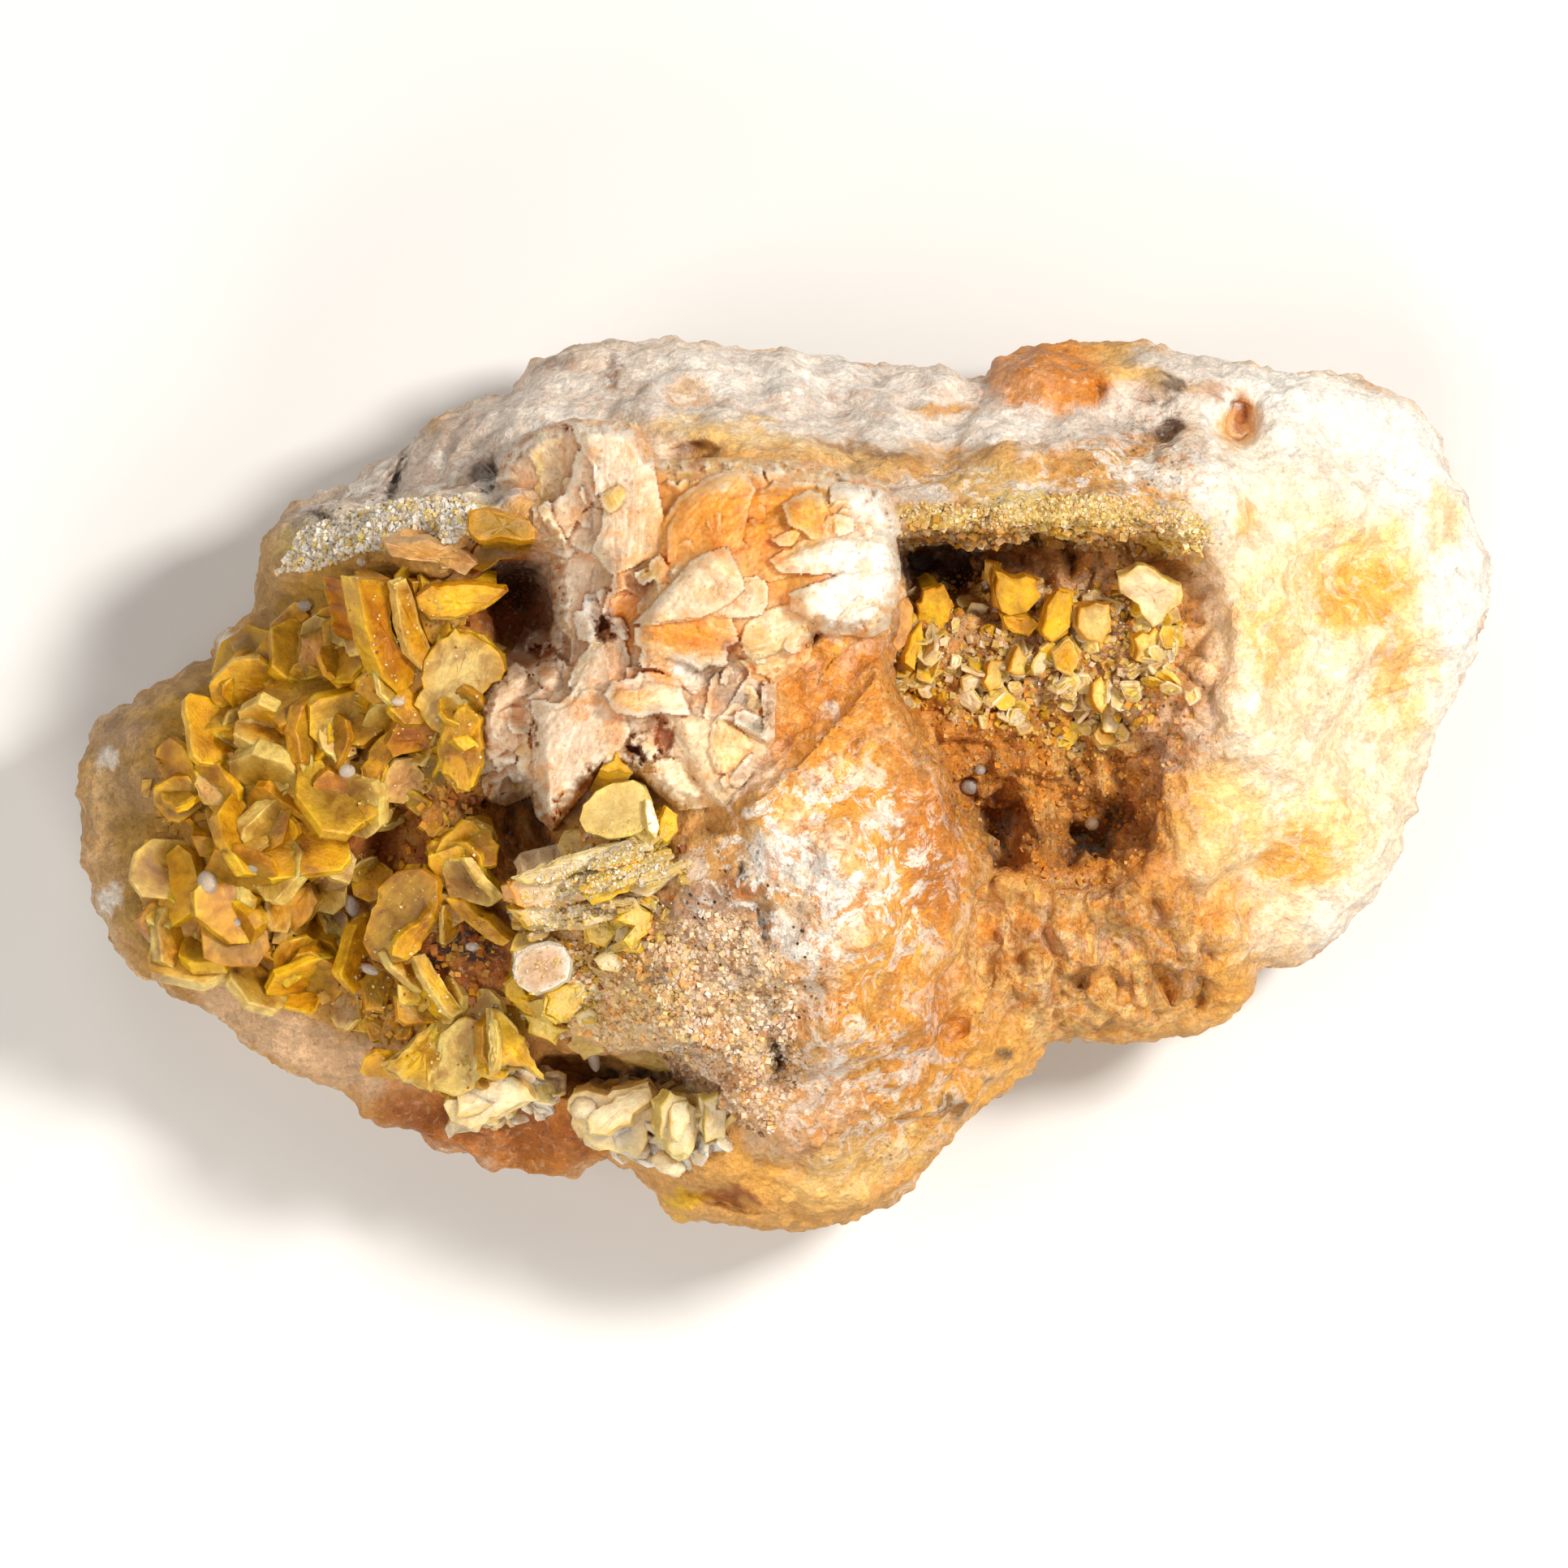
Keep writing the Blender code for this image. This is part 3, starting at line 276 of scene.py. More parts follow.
def rock_rings():
    """Rings of the bare stone, from the middle of its base over the rim to the middle of its upper side."""
    angles = np.linspace(-math.pi, math.pi, SPOKES, endpoint=False)
    radius = edge_radius(OUTLINE, (0, 0), angles)
    lower, upper = [], []
    for share in np.linspace(0.01, 1, RINGS):
        x, y = share * radius * np.cos(angles), share * radius * np.sin(angles)
        underside = RIM_HEIGHT * (1 - shoulder(radius * (1 - share), BASE_SHOULDER))
        lower.append(np.column_stack([x, y, underside]))
        upper.append(np.column_stack([x, y, rock_height(x, y)]))
    return lower + upper[-2::-1]


# ---------------------------------------------------------------- the rock's detail

PALETTE = {  # as seen in soft white light, sRGB 0 to 255
    "white": (248, 240, 228), "chalk": (230, 214, 198), "ash": (202, 178, 158), "cream": (248, 222, 182),
    "peach": (248, 204, 124), "apricot": (240, 172, 66), "orange": (222, 136, 28), "rust": (160, 84, 18),
    "brown": (112, 62, 26), "umber": (62, 34, 16), "black": (32, 25, 20), "tan": (218, 162, 88),
    "clay": (192, 152, 98), "rose": (230, 190, 150), "straw": (236, 204, 112), "lemon": (238, 186, 30),
    "honey": (214, 152, 20), "amber": (188, 116, 10), "olive": (178, 134, 34), "moss": (134, 98, 24),
    "slate": (92, 84, 80), "sugar": (222, 192, 116), "blush": (242, 214, 184), "mauve": (178, 142, 112),
    "ochre": (196, 142, 56), "sand": (222, 178, 104), "saffron": (246, 164, 36), "sienna": (184, 108, 28),
}


class Spot(NamedTuple):
    """A soft oval area on the stone, seen from above, with its half sizes along its angle and across it."""

    x: float
    y: float
    half_length: float
    half_width: float
    angle: float = 0.0
    strength: float = 1.0


# Colours of the stone, laid over each other in this order. The rust, umber, brown and black spots in the pits,
# cracks and gaps, between the crystals and under the ledges are painted shade.
PAINT = [
    ("ochre", [Spot(-20, -1, 13, 12, 0, 1.0), Spot(-19, 9.5, 4, 4, 0, 0.9)]),
    ("clay", [Spot(-28.6, 0, 1.6, 9, 0, 0.9), Spot(-22, 9.6, 1.4, 3, 0, 0.7)]),
    # painted shade: rust in the pocket's middle, between its crystals and in the gap under the shelf
    ("rust", [Spot(-16.5, -2.5, 4.6, 1.6, -14, 0.9), Spot(-14, -7.5, 2.6, 2.6),
              Spot(-11.6, 8.2, 2.2, 2.2)]),
    ("olive", [Spot(-22.5, 2.5, 4.5, 3.6, 20, 0.8), Spot(-23, -5.2, 4.6, 2.6, 0, 0.8),
               Spot(-27.8, -1.0, 1.2, 2.4, 0, 0.6), Spot(-26.4, 3.6, 1.4, 0.7, 30, 0.6),
               Spot(-27.6, -5.4, 0.9, 1.2, 0, 0.6), Spot(-19, 6.4, 3.4, 2.6, 0, 0.7)]),
    # painted shade: umber in the gaps between the crystals, beside the barite and in the pits
    ("umber", [Spot(-21.6, 4.1, 1.2, 0.6, 50), Spot(-17.6, -4.4, 0.9, 0.5, -60),
               Spot(-20.4, -7.3, 1.3, 0.6, -50), Spot(-11.0, -2.0, 1.8, 1.0, -70),
               Spot(-11.6, 8.6, 1.4, 0.9, 10), Spot(-13.6, -7.2, 1.5, 1.0),
               Spot(-12.6, 12.8, 1.0, 0.6, -70, 0.8), Spot(-10.6, 6.4, 0.9, 0.7)]),
    ("rose", [Spot(-8, 16.4, 4.0, 1.2, 0, 0.4)]),
    ("ash", [Spot(0, 16.8, 12, 1.6, 0, 0.7), Spot(-17, 12.9, 5.0, 1.6, 26),
             Spot(-12.4, 14.4, 3.2, 2.4, 30)]),
    ("ash", [Spot(2, 17.2, 9, 1.4, 0, 0.4)]),
    ("chalk", [Spot(-6.5, 17, 7.4, 2.6, 4, 0.8), Spot(4, 16.4, 9, 2.2, -3), Spot(13, 15.6, 5, 1.3, 4),
               Spot(-9.4, 15.4, 3, 2)]),
    ("white", [Spot(0, 17.5, 5, 1.2, 0, 0.5), Spot(8, 15.2, 4, 0.9, 0, 0.5)]),
    ("peach", [Spot(-2.6, 14.9, 3.6, 0.7, -4, 0.8), Spot(2, 14.2, 3.2, 0.6, -14, 0.5)]),
    # painted shade: brown in the pits and thin cracks of the upper slope
    ("brown", [Spot(-3.8, 14.0, 1.1, 0.35, 4, 0.9), Spot(5.4, 13.7, 4.4, 0.25, -14, 0.7),
               Spot(-7.4, 17.6, 0.9, 0.2, -75, 0.7), Spot(-9.6, 17.9, 0.9, 0.12, 20, 0.6)]),
    ("tan", [Spot(-4, 16.8, 1.0, 0.7, -20, 0.6), Spot(6.8, 15.9, 1.6, 0.4, 8, 0.9),
             Spot(11, 13.8, 5, 0.6, -2, 0.8), Spot(8, 12.9, 3.4, 0.7, -8, 0.8)]),
    ("orange", [Spot(11.2, 17.5, 2.4, 1.6, -10, 1.0), Spot(11.0, 17.4, 2.2, 1.4, 0, 0.6),
                Spot(13.1, 16.5, 0.6, 0.3, 60, 0.9), Spot(7.4, 12.2, 0.7, 0.4, 0, 0.7),
                Spot(15.2, 12.2, 1.2, 0.6, -30, 0.7)]),
    ("peach", [Spot(14.6, 17.9, 2.2, 0.7, -4, 0.6), Spot(15.8, 12.6, 2.4, 1.6, 0, 0.6),
               Spot(9, 12.6, 2.4, 0.8, 0, 0.6)]),
    ("chalk", [Spot(18.5, 17.8, 3.4, 0.9, -8), Spot(16.6, 13.4, 2.4, 1.0, 10, 0.7)]),
    ("white", [Spot(23.5, 14.4, 6.0, 3.4, -12), Spot(28.6, 8, 2.4, 7.5, 6), Spot(19.6, 11.8, 2.6, 2.2),
               Spot(19.4, 3.4, 0.9, 2.4, 4), Spot(24.6, -4.6, 3.6, 1.6, 50),
               Spot(27.6, 0, 1.2, 5, 0, 0.8)]),
    ("cream", [Spot(22.6, 4.4, 5.2, 9.6, 8, 0.95), Spot(20, -4.6, 3.6, 3.0, 0, 0.9)]),
    ("peach", [Spot(24.4, 8.6, 2.8, 2.4, 20, 0.9), Spot(18.4, -1.8, 2.2, 2.4, 0, 0.8),
               Spot(22.6, -2.4, 2.8, 1.8, 40, 0.7), Spot(20.8, 6.4, 1.6, 3.0, 10, 0.6),
               Spot(27, 4.4, 1.0, 2.8, -20, 0.6), Spot(28.2, 11.2, 0.8, 1.6, 0, 0.7)]),
    ("apricot", [Spot(24.6, 8.0, 2.2, 1.3, 20, 0.95), Spot(26.0, 5.0, 0.9, 2.0, -10, 0.7),
                 Spot(22, -3.2, 1.6, 1.3, 0, 0.9), Spot(20.6, 6.0, 0.9, 1.6, 0, 0.5),
                 Spot(19.4, -4.8, 1.1, 0.8, 0, 0.8), Spot(17.2, -1.6, 1.0, 1.3, 0, 0.5),
                 Spot(19.6, 11.2, 0.5, 0.9, 0, 0.7), Spot(19.4, 15.4, 0.9, 1.2, 0, 0.8)]),
    ("orange", [Spot(11.4, 17.5, 2.6, 1.5, -8, 1.0)]),
    ("sienna", [Spot(11.6, 17.3, 2.0, 0.9, -8, 0.6)]),
    # painted shade: the rust, black and umber in the pits by the top knob and under the vug's lip
    ("rust", [Spot(19.5, 15.6, 0.4, 0.9, 0, 0.9), Spot(18.4, 16.6, 0.9, 0.3, 0, 0.5),
              Spot(10.2, 18.3, 1.4, 0.35, 20, 0.5)]),
    ("black", [Spot(16.5, 17.1, 0.45, 0.4, 0, 0.8), Spot(15.9, 16.3, 0.9, 0.12, -4, 0.8),
               Spot(15.8, 15.0, 0.2, 0.5, 20, 0.5), Spot(8.2, 11.1, 0.8, 0.18, 20, 0.8),
               Spot(15.6, 11.4, 0.8, 0.12, 18, 0.7)]),
    ("umber", [Spot(16.4, 14.9, 0.5, 0.45, 0, 0.9), Spot(13.4, 16.9, 0.3, 0.25, 0, 0.7)]),
    ("white", [Spot(18.0, 15.9, 0.6, 0.3, -30), Spot(19.0, 16.2, 0.4, 0.3, -60)]),
    # middle mass and slope
    ("apricot", [Spot(4.6, -3.0, 3.6, 7.0, 14, 0.9), Spot(2.4, -13, 6, 4.6, 30, 0.8),
                 Spot(8.4, -11.4, 2.6, 2.6, 40, 0.7)]),
    ("orange", [Spot(6.4, -2.2, 1.3, 4.6, 14, 1.0), Spot(2.4, 3.8, 3.4, 1.9, 58, 0.7),
                Spot(6.2, -10.4, 1.6, 2.8, -30, 0.6), Spot(-0.5, 1.9, 0.5, 0.8, 50, 0.4),
                Spot(3.6, -0.9, 2.0, 0.5, -14, 0.5)]),
    ("rose", [Spot(-2.6, -9.4, 3.0, 5.0, 10, 0.9), Spot(0.6, -13.6, 2.8, 2.4, 0, 0.7),
              Spot(1.0, -8.6, 1.6, 2.6, 0, 0.6)]),
    ("peach", [Spot(-1.4, -9.6, 1.8, 2.8, 0, 0.5), Spot(3.2, -16, 3.2, 1.4, 30, 0.7),
               Spot(0.6, -1.2, 2.8, 0.8, 40, 0.6), Spot(5.6, 1.2, 1.4, 1.8, 20, 0.5)]),
    ("blush", [Spot(0.6, -2.8, 2.6, 1.3, 16, 0.8), Spot(1.8, -6.0, 1.8, 1.9, 70, 0.7),
               Spot(3.6, -4.4, 1.0, 1.0, 0, 0.6)]),
    ("white", [Spot(-0.2, -2.8, 1.2, 0.7, 40, 0.9), Spot(1.4, -3.4, 0.9, 0.5, 10, 0.8),
               Spot(1.2, -6.6, 0.7, 0.6, 0, 0.7), Spot(0.2, -6.2, 0.5, 1.2, 20, 0.8),
               Spot(4.4, -1.6, 1.2, 0.5, 10, 0.6), Spot(2.0, -11.9, 1.0, 0.5, 60, 0.7),
               Spot(1.6, 0.6, 0.9, 0.4, 30, 0.5), Spot(5.4, -12.0, 0.8, 0.4, 60, 0.6),
               Spot(2.0, 3.2, 0.4, 0.5, 0, 0.6)]),
    ("mauve", [Spot(-3.0, -4.9, 2.2, 0.9, 10, 0.9), Spot(-1.2, -5.3, 0.8, 1.3, 20, 0.7),
               Spot(-2.6, 4.4, 1.7, 1.0, -14, 0.7)]),
    ("rust", [Spot(-1.6, -4.4, 0.9, 0.4, -20, 0.7), Spot(5.8, -4.4, 0.5, 2.6, 12, 0.5),
              Spot(4.4, -8.8, 1.0, 0.5, 50, 0.5), Spot(-3.4, -8.0, 1.0, 0.4, 20, 0.4),
              Spot(3.0, 1.5, 0.3, 0.7, -10, 0.6), Spot(-2.4, -17.6, 2.0, 0.4, -4, 0.9),
              Spot(-5.6, 1.9, 0.5, 0.9, 0, 0.6), Spot(9.8, -4.2, 1.0, 0.3, 0, 0.5)]),
    # painted shade: black in the cracks and pits of the middle mass and the slope
    ("black", [Spot(-0.9, -6.1, 0.14, 0.9, 14, 0.9), Spot(-1.9, -3.7, 0.12, 0.5, -20, 0.9),
               Spot(8.2, -5.2, 0.26, 0.9, 6, 0.8), Spot(-0.2, -11.4, 0.2, 0.8, 6, 0.95),
               Spot(7.2, -1.0, 0.3, 0.4, 0, 0.7), Spot(9.4, -11.4, 0.35, 0.35, 0, 0.8),
               Spot(8.6, -12.4, 0.28, 0.3, 0, 0.8), Spot(7.3, -13.8, 0.6, 0.3, 20, 0.7),
               Spot(-6.4, -12.3, 2.4, 0.22, 4, 0.8)]),
    ("slate", [Spot(10, -6.2, 0.7, 0.6, 0, 0.4), Spot(8.3, -7.4, 0.2, 1.4, 0, 0.5)]),
    ("sienna", [Spot(6.0, -2.0, 1.3, 4.2, 14, 0.55), Spot(2.4, -14.2, 3.0, 1.4, 10, 0.3),
                Spot(0.6, -10.0, 1.6, 0.6, 20, 0.5), Spot(3.0, -14.6, 2.6, 0.7, 20, 0.5),
                Spot(6.8, -9.0, 0.8, 2.0, -20, 0.6)]),
    ("orange", [Spot(-4.6, -9.6, 0.8, 0.5, 0, 0.9), Spot(-3.2, -10.6, 1.2, 0.5, 0, 0.7),
                Spot(-1.6, -12.6, 1.0, 0.7, 0, 0.5)]),
    ("white", [Spot(-2.0, -8.2, 0.7, 0.5, 30, 0.7), Spot(-3.4, -12.0, 0.6, 0.5, 0, 0.5),
               Spot(-0.9, -9.8, 0.5, 0.7, 0, 0.6)]),
    ("umber", [Spot(-4.9, -8.0, 0.5, 0.2, 20, 0.7), Spot(-3.6, -9.2, 0.3, 0.16, -30, 0.7),
               Spot(-2.9, -6.9, 0.4, 0.14, 10, 0.7), Spot(-4.2, -11.4, 0.9, 0.16, -8, 0.8),
               Spot(-5.6, -9.8, 0.5, 0.2, 30, 0.6), Spot(-1.9, -11.2, 0.16, 0.4, 0, 0.7)]),
    ("lemon", [Spot(-4.2, -17.8, 0.9, 0.5, 10, 0.8)]),
    # lower bridge
    ("peach", [Spot(13.4, -7.0, 6.0, 3.8, 0, 0.8)]),
    ("apricot", [Spot(13.4, -7.0, 5.6, 3.4, 0, 0.7)]),
    ("orange", [Spot(14, -6.4, 3.0, 2.0, 0, 0.4), Spot(16.0, -4.6, 1.4, 2.0, 20, 0.7)]),
    ("peach", [Spot(13, -7.4, 4.6, 2.6, 0, 0.8)]),
    ("apricot", [Spot(13, -7.4, 4.4, 2.8, 0, 0.4), Spot(18.6, -8.0, 1.4, 2.2, 0, 0.7)]),
    ("peach", [Spot(10.9, -9.8, 0.5, 1.4, 4, 0.9), Spot(15.0, -8.0, 0.6, 1.8, 14, 0.7),
               Spot(12.6, -6.0, 1.6, 0.8, 0, 0.6)]),
    # painted shade: umber and rust in the pits of the bridge
    ("umber", [Spot(12.6, -8.4, 0.4, 0.5, 0, 0.8), Spot(16.4, -8.5, 0.5, 0.5, 0, 0.9),
               Spot(17.8, -8.9, 0.3, 0.8, 0, 0.7)]),
    ("rust", [Spot(16.2, -6.2, 0.3, 1.5, 24, 0.8), Spot(9.2, -8.6, 0.5, 1.5, 10, 0.5)]),
    ("peach", [Spot(13, -7.2, 5.4, 3.0, 0, 0.5)]),
    ("saffron", [Spot(13, -7.0, 5.0, 2.6, 0, 0.15)]),
    # the pale apron, the slope beside it, the knobs and the left ledge
    ("cream", [Spot(-6.8, -9.8, 3.4, 1.6, -12, 0.75)]),
    ("peach", [Spot(-5.4, -9.4, 1.6, 0.8, 0, 0.5), Spot(-8.4, -10.0, 1.0, 0.6, 0, 0.5)]),
    ("cream", [Spot(-2.6, -9.4, 2.4, 3.4, 0, 0.2)]),
    ("sienna", [Spot(-12, -15.6, 3.6, 1.4, 0, 0.45)]),
    ("chalk", [Spot(-16.5, 11.2, 3.6, 0.8, 0, 0.4)]),
    # under and between the barite
    ("blush", [Spot(-7.2, 12.0, 3.2, 3.6, 0, 0.9), Spot(-8.6, 2.6, 3.4, 3.6, 0, 0.85),
               Spot(-3, 1.8, 2.8, 1.9, -30, 0.9), Spot(-9.2, 8.4, 1.6, 2.0, 0, 0.6)]),
    ("tan", [Spot(-3.6, 12.4, 2.0, 1.3, 10, 0.9)]),
    ("apricot", [Spot(-1.4, 10.0, 4.0, 3.4, 0, 0.95), Spot(-3.4, 6.6, 3.0, 1.4, 0, 0.95),
                 Spot(-6.0, 4.8, 1.0, 0.9, 0, 0.8), Spot(0.4, 6.4, 2.6, 1.4, 0, 0.8)]),
    ("orange", [Spot(-1.2, 11.4, 1.9, 0.9, 10, 0.8), Spot(-7.0, 7.4, 0.9, 0.9, 0, 0.9)]),
    ("white", [Spot(3.2, 9.8, 2.0, 3.0, 0, 0.95)]),
    # painted shade: rust, brown and umber in the gaps under and between the barite plates and in the pit under
    # the shelf
    ("rust", [Spot(-7.5, 6.8, 0.5, 0.5, 0, 0.9), Spot(-10.9, 7.2, 0.9, 1.6, 10, 0.8),
              Spot(-9.6, 5.9, 1.2, 0.6, 0, 0.7), Spot(-5.2, 2.2, 0.5, 0.9, 10, 0.8)]),
    ("brown", [Spot(-6.6, 0.8, 0.9, 0.5, 0, 0.9)]),
    ("umber", [Spot(-12.4, 12.8, 0.35, 0.9, 0, 0.9), Spot(-11.2, -1.6, 1.2, 1.5, 0, 0.9),
               Spot(-11.6, 8.4, 1.2, 1.0, 0, 0.9), Spot(-10.2, 5.4, 0.5, 0.4, 0, 0.8)]),
    # the vug
    ("tan", [Spot(11.4, 5.4, 6.8, 5.4, 0, 0.95)]),
    ("rose", [Spot(11.6, 6.4, 5.6, 3.0, 0, 0.5), Spot(16.4, 3.4, 1.6, 3.6, 0, 0.8)]),
    # brown: the vug's limonite, darkest under its upper lip and in the hollows of its floor as painted shade
    ("brown", [Spot(8.4, 9.4, 3.0, 1.2, 0, 0.8), Spot(13.2, 9.2, 1.6, 0.9, 0, 0.5),
               Spot(11.6, 5.6, 1.6, 0.9, 0, 0.4), Spot(8.2, 5.4, 1.2, 0.6, 10, 0.5),
               Spot(11.4, 3.2, 0.6, 1.2, 0, 0.6), Spot(14.4, 3.6, 0.6, 1.2, 10, 0.5)]),
    ("orange", [Spot(9.2, 0.8, 2.6, 2.4, 20, 0.8), Spot(13.6, -0.4, 2.6, 2.2, 0, 0.6),
                Spot(16.6, 5.2, 1.4, 2.4, 8, 0.5), Spot(6.0, 4.0, 1.2, 3.0, 10, 0.8),
                Spot(11.6, -3.4, 2.6, 0.8, 0, 0.8)]),
    # painted shade: umber in the vug's upper left corner, under its lip and in its pits
    ("umber", [Spot(6.9, 9.4, 2.4, 1.2, 0, 0.95), Spot(9.2, -1.9, 0.7, 1.6, 10, 0.95),
               Spot(12.9, -2.6, 1.2, 0.8, 10, 0.95), Spot(14.3, -1.4, 0.5, 0.8, 0, 0.9),
               Spot(15.5, -2, 0.3, 0.9, 0, 0.8), Spot(12.4, 0.6, 0.9, 0.5, 40, 0.8),
               Spot(12.2, 9.8, 0.25, 1.0, 6, 0.9), Spot(10.6, 10.4, 0.35, 0.3, 0, 0.9),
               Spot(14.4, 7.0, 0.8, 0.6, 50, 0.8)]),
    ("tan", [Spot(16.6, 6.4, 1.4, 3.2, 8, 0.8), Spot(15.4, 9.4, 1.6, 1.0, 0, 0.7)]),
    ("mauve", [Spot(10.0, 10.2, 0.9, 0.5, 0, 0.7), Spot(17.6, 3.2, 0.8, 1.6, 0, 0.4)]),
    # ledges
    ("straw", [Spot(6.6, 11.3, 1.9, 0.4, -4, 0.9), Spot(11.8, 11.4, 3.2, 0.75, -3, 0.95),
               Spot(16.8, 10.6, 1.7, 0.5, 20, 0.9), Spot(-16, 11.2, 3.6, 0.9, 4, 0.8),
               Spot(-20, 10.2, 1.6, 0.8, 0, 0.6), Spot(-13.4, 11.4, 1.2, 0.8, 0, 0.8)]),
    ("chalk", [Spot(-16.2, 11.3, 3.4, 0.8, 4, 0.7), Spot(-14.6, 11.7, 1.6, 0.4, 0, 0.8),
               Spot(5.6, 12.3, 1.8, 0.4, -6, 0.7), Spot(10.6, 12.5, 1.6, 0.25, 0, 0.8)]),
    # painted shade: black in the pits of the shelf and under it
    ("black", [Spot(-19.4, 11.1, 0.8, 0.2, -30, 0.8), Spot(-16.4, 13.2, 1.2, 0.14, 62, 0.8),
               Spot(-14.4, 9.0, 0.9, 0.25, -10, 0.5)]),
    # lower left rim
    ("rose", [Spot(-21.5, -10.6, 4.4, 1.2, -34, 0.8), Spot(-17.4, -12.2, 2.4, 1.2, -12, 0.8)]),
    ("sienna", [Spot(-12.6, -14.9, 5.0, 2.2, -6, 1.0)]),
    ("rust", [Spot(-12.6, -15.4, 4.4, 1.4, -6, 0.45)]),
    ("orange", [Spot(-12, -15.8, 3.6, 0.9, -6, 0.7), Spot(-16.4, -13.2, 0.9, 0.5, 0, 0.5)]),
    ("rust", [Spot(-12.4, -14.8, 4.6, 1.4, -6, 0.6), Spot(-11.6, -14.8, 0.6, 0.4, 20, 0.7),
              Spot(-13.6, -15.0, 0.5, 0.4, 0, 0.4), Spot(-9.6, -14.6, 0.5, 0.5, 0, 0.6)]),
    ("lemon", [Spot(-25.6, -5.6, 0.8, 2.2, 8, 0.8), Spot(-24.4, -2.7, 1.3, 0.4, -16, 0.6)]),
    ("clay", [Spot(-29.2, -1, 1.0, 6.4, 0, 0.7), Spot(-26.4, 4.2, 3.6, 0.8, 24, 0.7),
              Spot(-22.4, 8.6, 0.8, 3.4, 0, 0.6)]),
    ("moss", [Spot(-28.6, 3.0, 0.6, 0.8, 0, 0.6), Spot(-27.2, -3.2, 0.5, 0.9, 20, 0.6),
              Spot(-28.4, -2.0, 0.5, 0.5, 0, 0.5), Spot(-25.2, 5.2, 0.8, 0.4, 30, 0.6),
              Spot(-27.4, 1.6, 0.6, 0.4, 0, 0.5)]),
    ("mauve", [Spot(-24.2, 1.6, 1.4, 1.0, 30, 0.7), Spot(-27.4, -0.2, 1.6, 1.0, 0, 0.4),
               Spot(-28.4, 2.2, 1.0, 0.7, 0, 0.5)]),
    ("white", [Spot(-23.8, 6.1, 0.6, 0.6, 0, 0.9), Spot(-28.8, -5.0, 0.6, 0.6, 0, 0.8),
               Spot(-28.9, 1.3, 0.5, 0.4, 0, 0.7)]),
]
# Where white, orange and dark veins run through the stone.
WHITE_VEINS = [
    Spot(1.6, -4, 5.4, 5.0, 0, 1.0), Spot(3, -12, 5, 4, 0, 0.6), Spot(-3, 17, 11, 2.4, 0, 0.5),
    Spot(23.6, 4, 7, 14, 0, 0.35), Spot(1, 9, 5, 4, 0, 0.4), Spot(14.6, 13.2, 4, 1.6, 0, 0.9),
    Spot(8, 12.6, 3, 0.9, 0, 0.7), Spot(13, -7, 6, 3, 0, 0.25), Spot(-16, 12.6, 5, 2, 0, 0.6),
]
ORANGE_VEINS = [
    Spot(4, -4, 6, 12, 0, 0.85), Spot(23, 2, 5, 12, 0, 0.22), Spot(2, 4, 4, 3, 0, 0.9),
    Spot(13, -7, 7, 4, 0, 0.9), Spot(11.4, 3, 7, 7.6, 0, 0.8), Spot(1, 16.4, 15, 2.4, 0, 0.22),
    Spot(-12, -15.4, 7, 2, 0, 0.3), Spot(11, 17.4, 2.6, 1.6, 0, 0.9), Spot(-1, 9, 5, 4, 0, 0.5),
    Spot(-2.4, -9, 3.4, 5.4, 0, 0.35), Spot(-13.4, -4, 5, 8, 0, 0.6), Spot(14.6, 13.2, 4, 1.6, 0, 0.7),
]
# the dark veins at the gaps beside the barite and in the pocket also darken them as painted shade
DARK_VEINS = [
    Spot(11.4, 3.6, 6.6, 7.4, 0, 0.8), Spot(13, -7.4, 6, 3.4, 0, 0.7), Spot(-12, -15.4, 7, 2, 0, 0.7),
    Spot(2.8, 1.4, 4, 3, 30, 0.5), Spot(-11, 6.6, 2.6, 4, 0, 0.9), Spot(-11, -3.4, 2.6, 3, 0, 0.9),
    Spot(-14.6, -8, 4, 3, 0, 0.6), Spot(15.6, 15.6, 1.8, 1.8, 0, 0.9), Spot(6.8, -8.4, 2.6, 5.4, 0, 0.45),
    Spot(-2.4, -9, 3.4, 5.4, 0, 0.3), Spot(3, 13.4, 5, 0.8, -10, 0.6),
]
# How grainy, how fibrous and how glossy the surface is.
GRIT = [
    Spot(-2.2, -8.6, 4.6, 6.4, 10), Spot(-3.4, -4.9, 2.6, 1.4), Spot(11.6, 11.4, 3.6, 1.0),
    Spot(6.4, 11.3, 2.2, 0.7), Spot(17, 10.6, 2.0, 0.8), Spot(-16.6, 11.0, 5.0, 1.4),
    Spot(11.4, 3.4, 7.0, 7.6, 0, 0.8), Spot(3, -13, 5, 4, 0, 0.5), Spot(-20, -3, 9, 9, 0, 0.35),
    Spot(15.4, 13.0, 3.0, 2.4, 0, 0.6), Spot(14, -7, 6, 4, 0, 0.3),
]
FIBRE = [
    Spot(12.2, -0.6, 5.2, 3.4, 0, 0.9), Spot(13.4, -7.2, 5.4, 3.4, 0, 0.8),
    Spot(-13.4, -2.4, 3.0, 2.0, 0, 0.8), Spot(5.8, 3.4, 1.2, 4.0, 8, 0.6),
]
CRUMBLY = Spot(-2.6, -8.8, 3.2, 5.6, 10)
# The fibres run down the stone, leaning a little, and are about four times as long as wide.
FIBRE_RUN = np.array([[1.9, 0, 0], [0.45, 0.45, 0], [0, 0, 1.0]])
GLOSS = [
    Spot(23.6, 5, 6.6, 12, 6), Spot(0, 16.8, 15, 2.6), Spot(-16.5, 13, 4, 2, 25, 0.7),
    Spot(-10.8, 12.4, 1.6, 2.4), Spot(2.6, -3.4, 3.6, 4.0, 0, 0.6), Spot(1, 9, 4.4, 3.6, 0, 0.6),
]
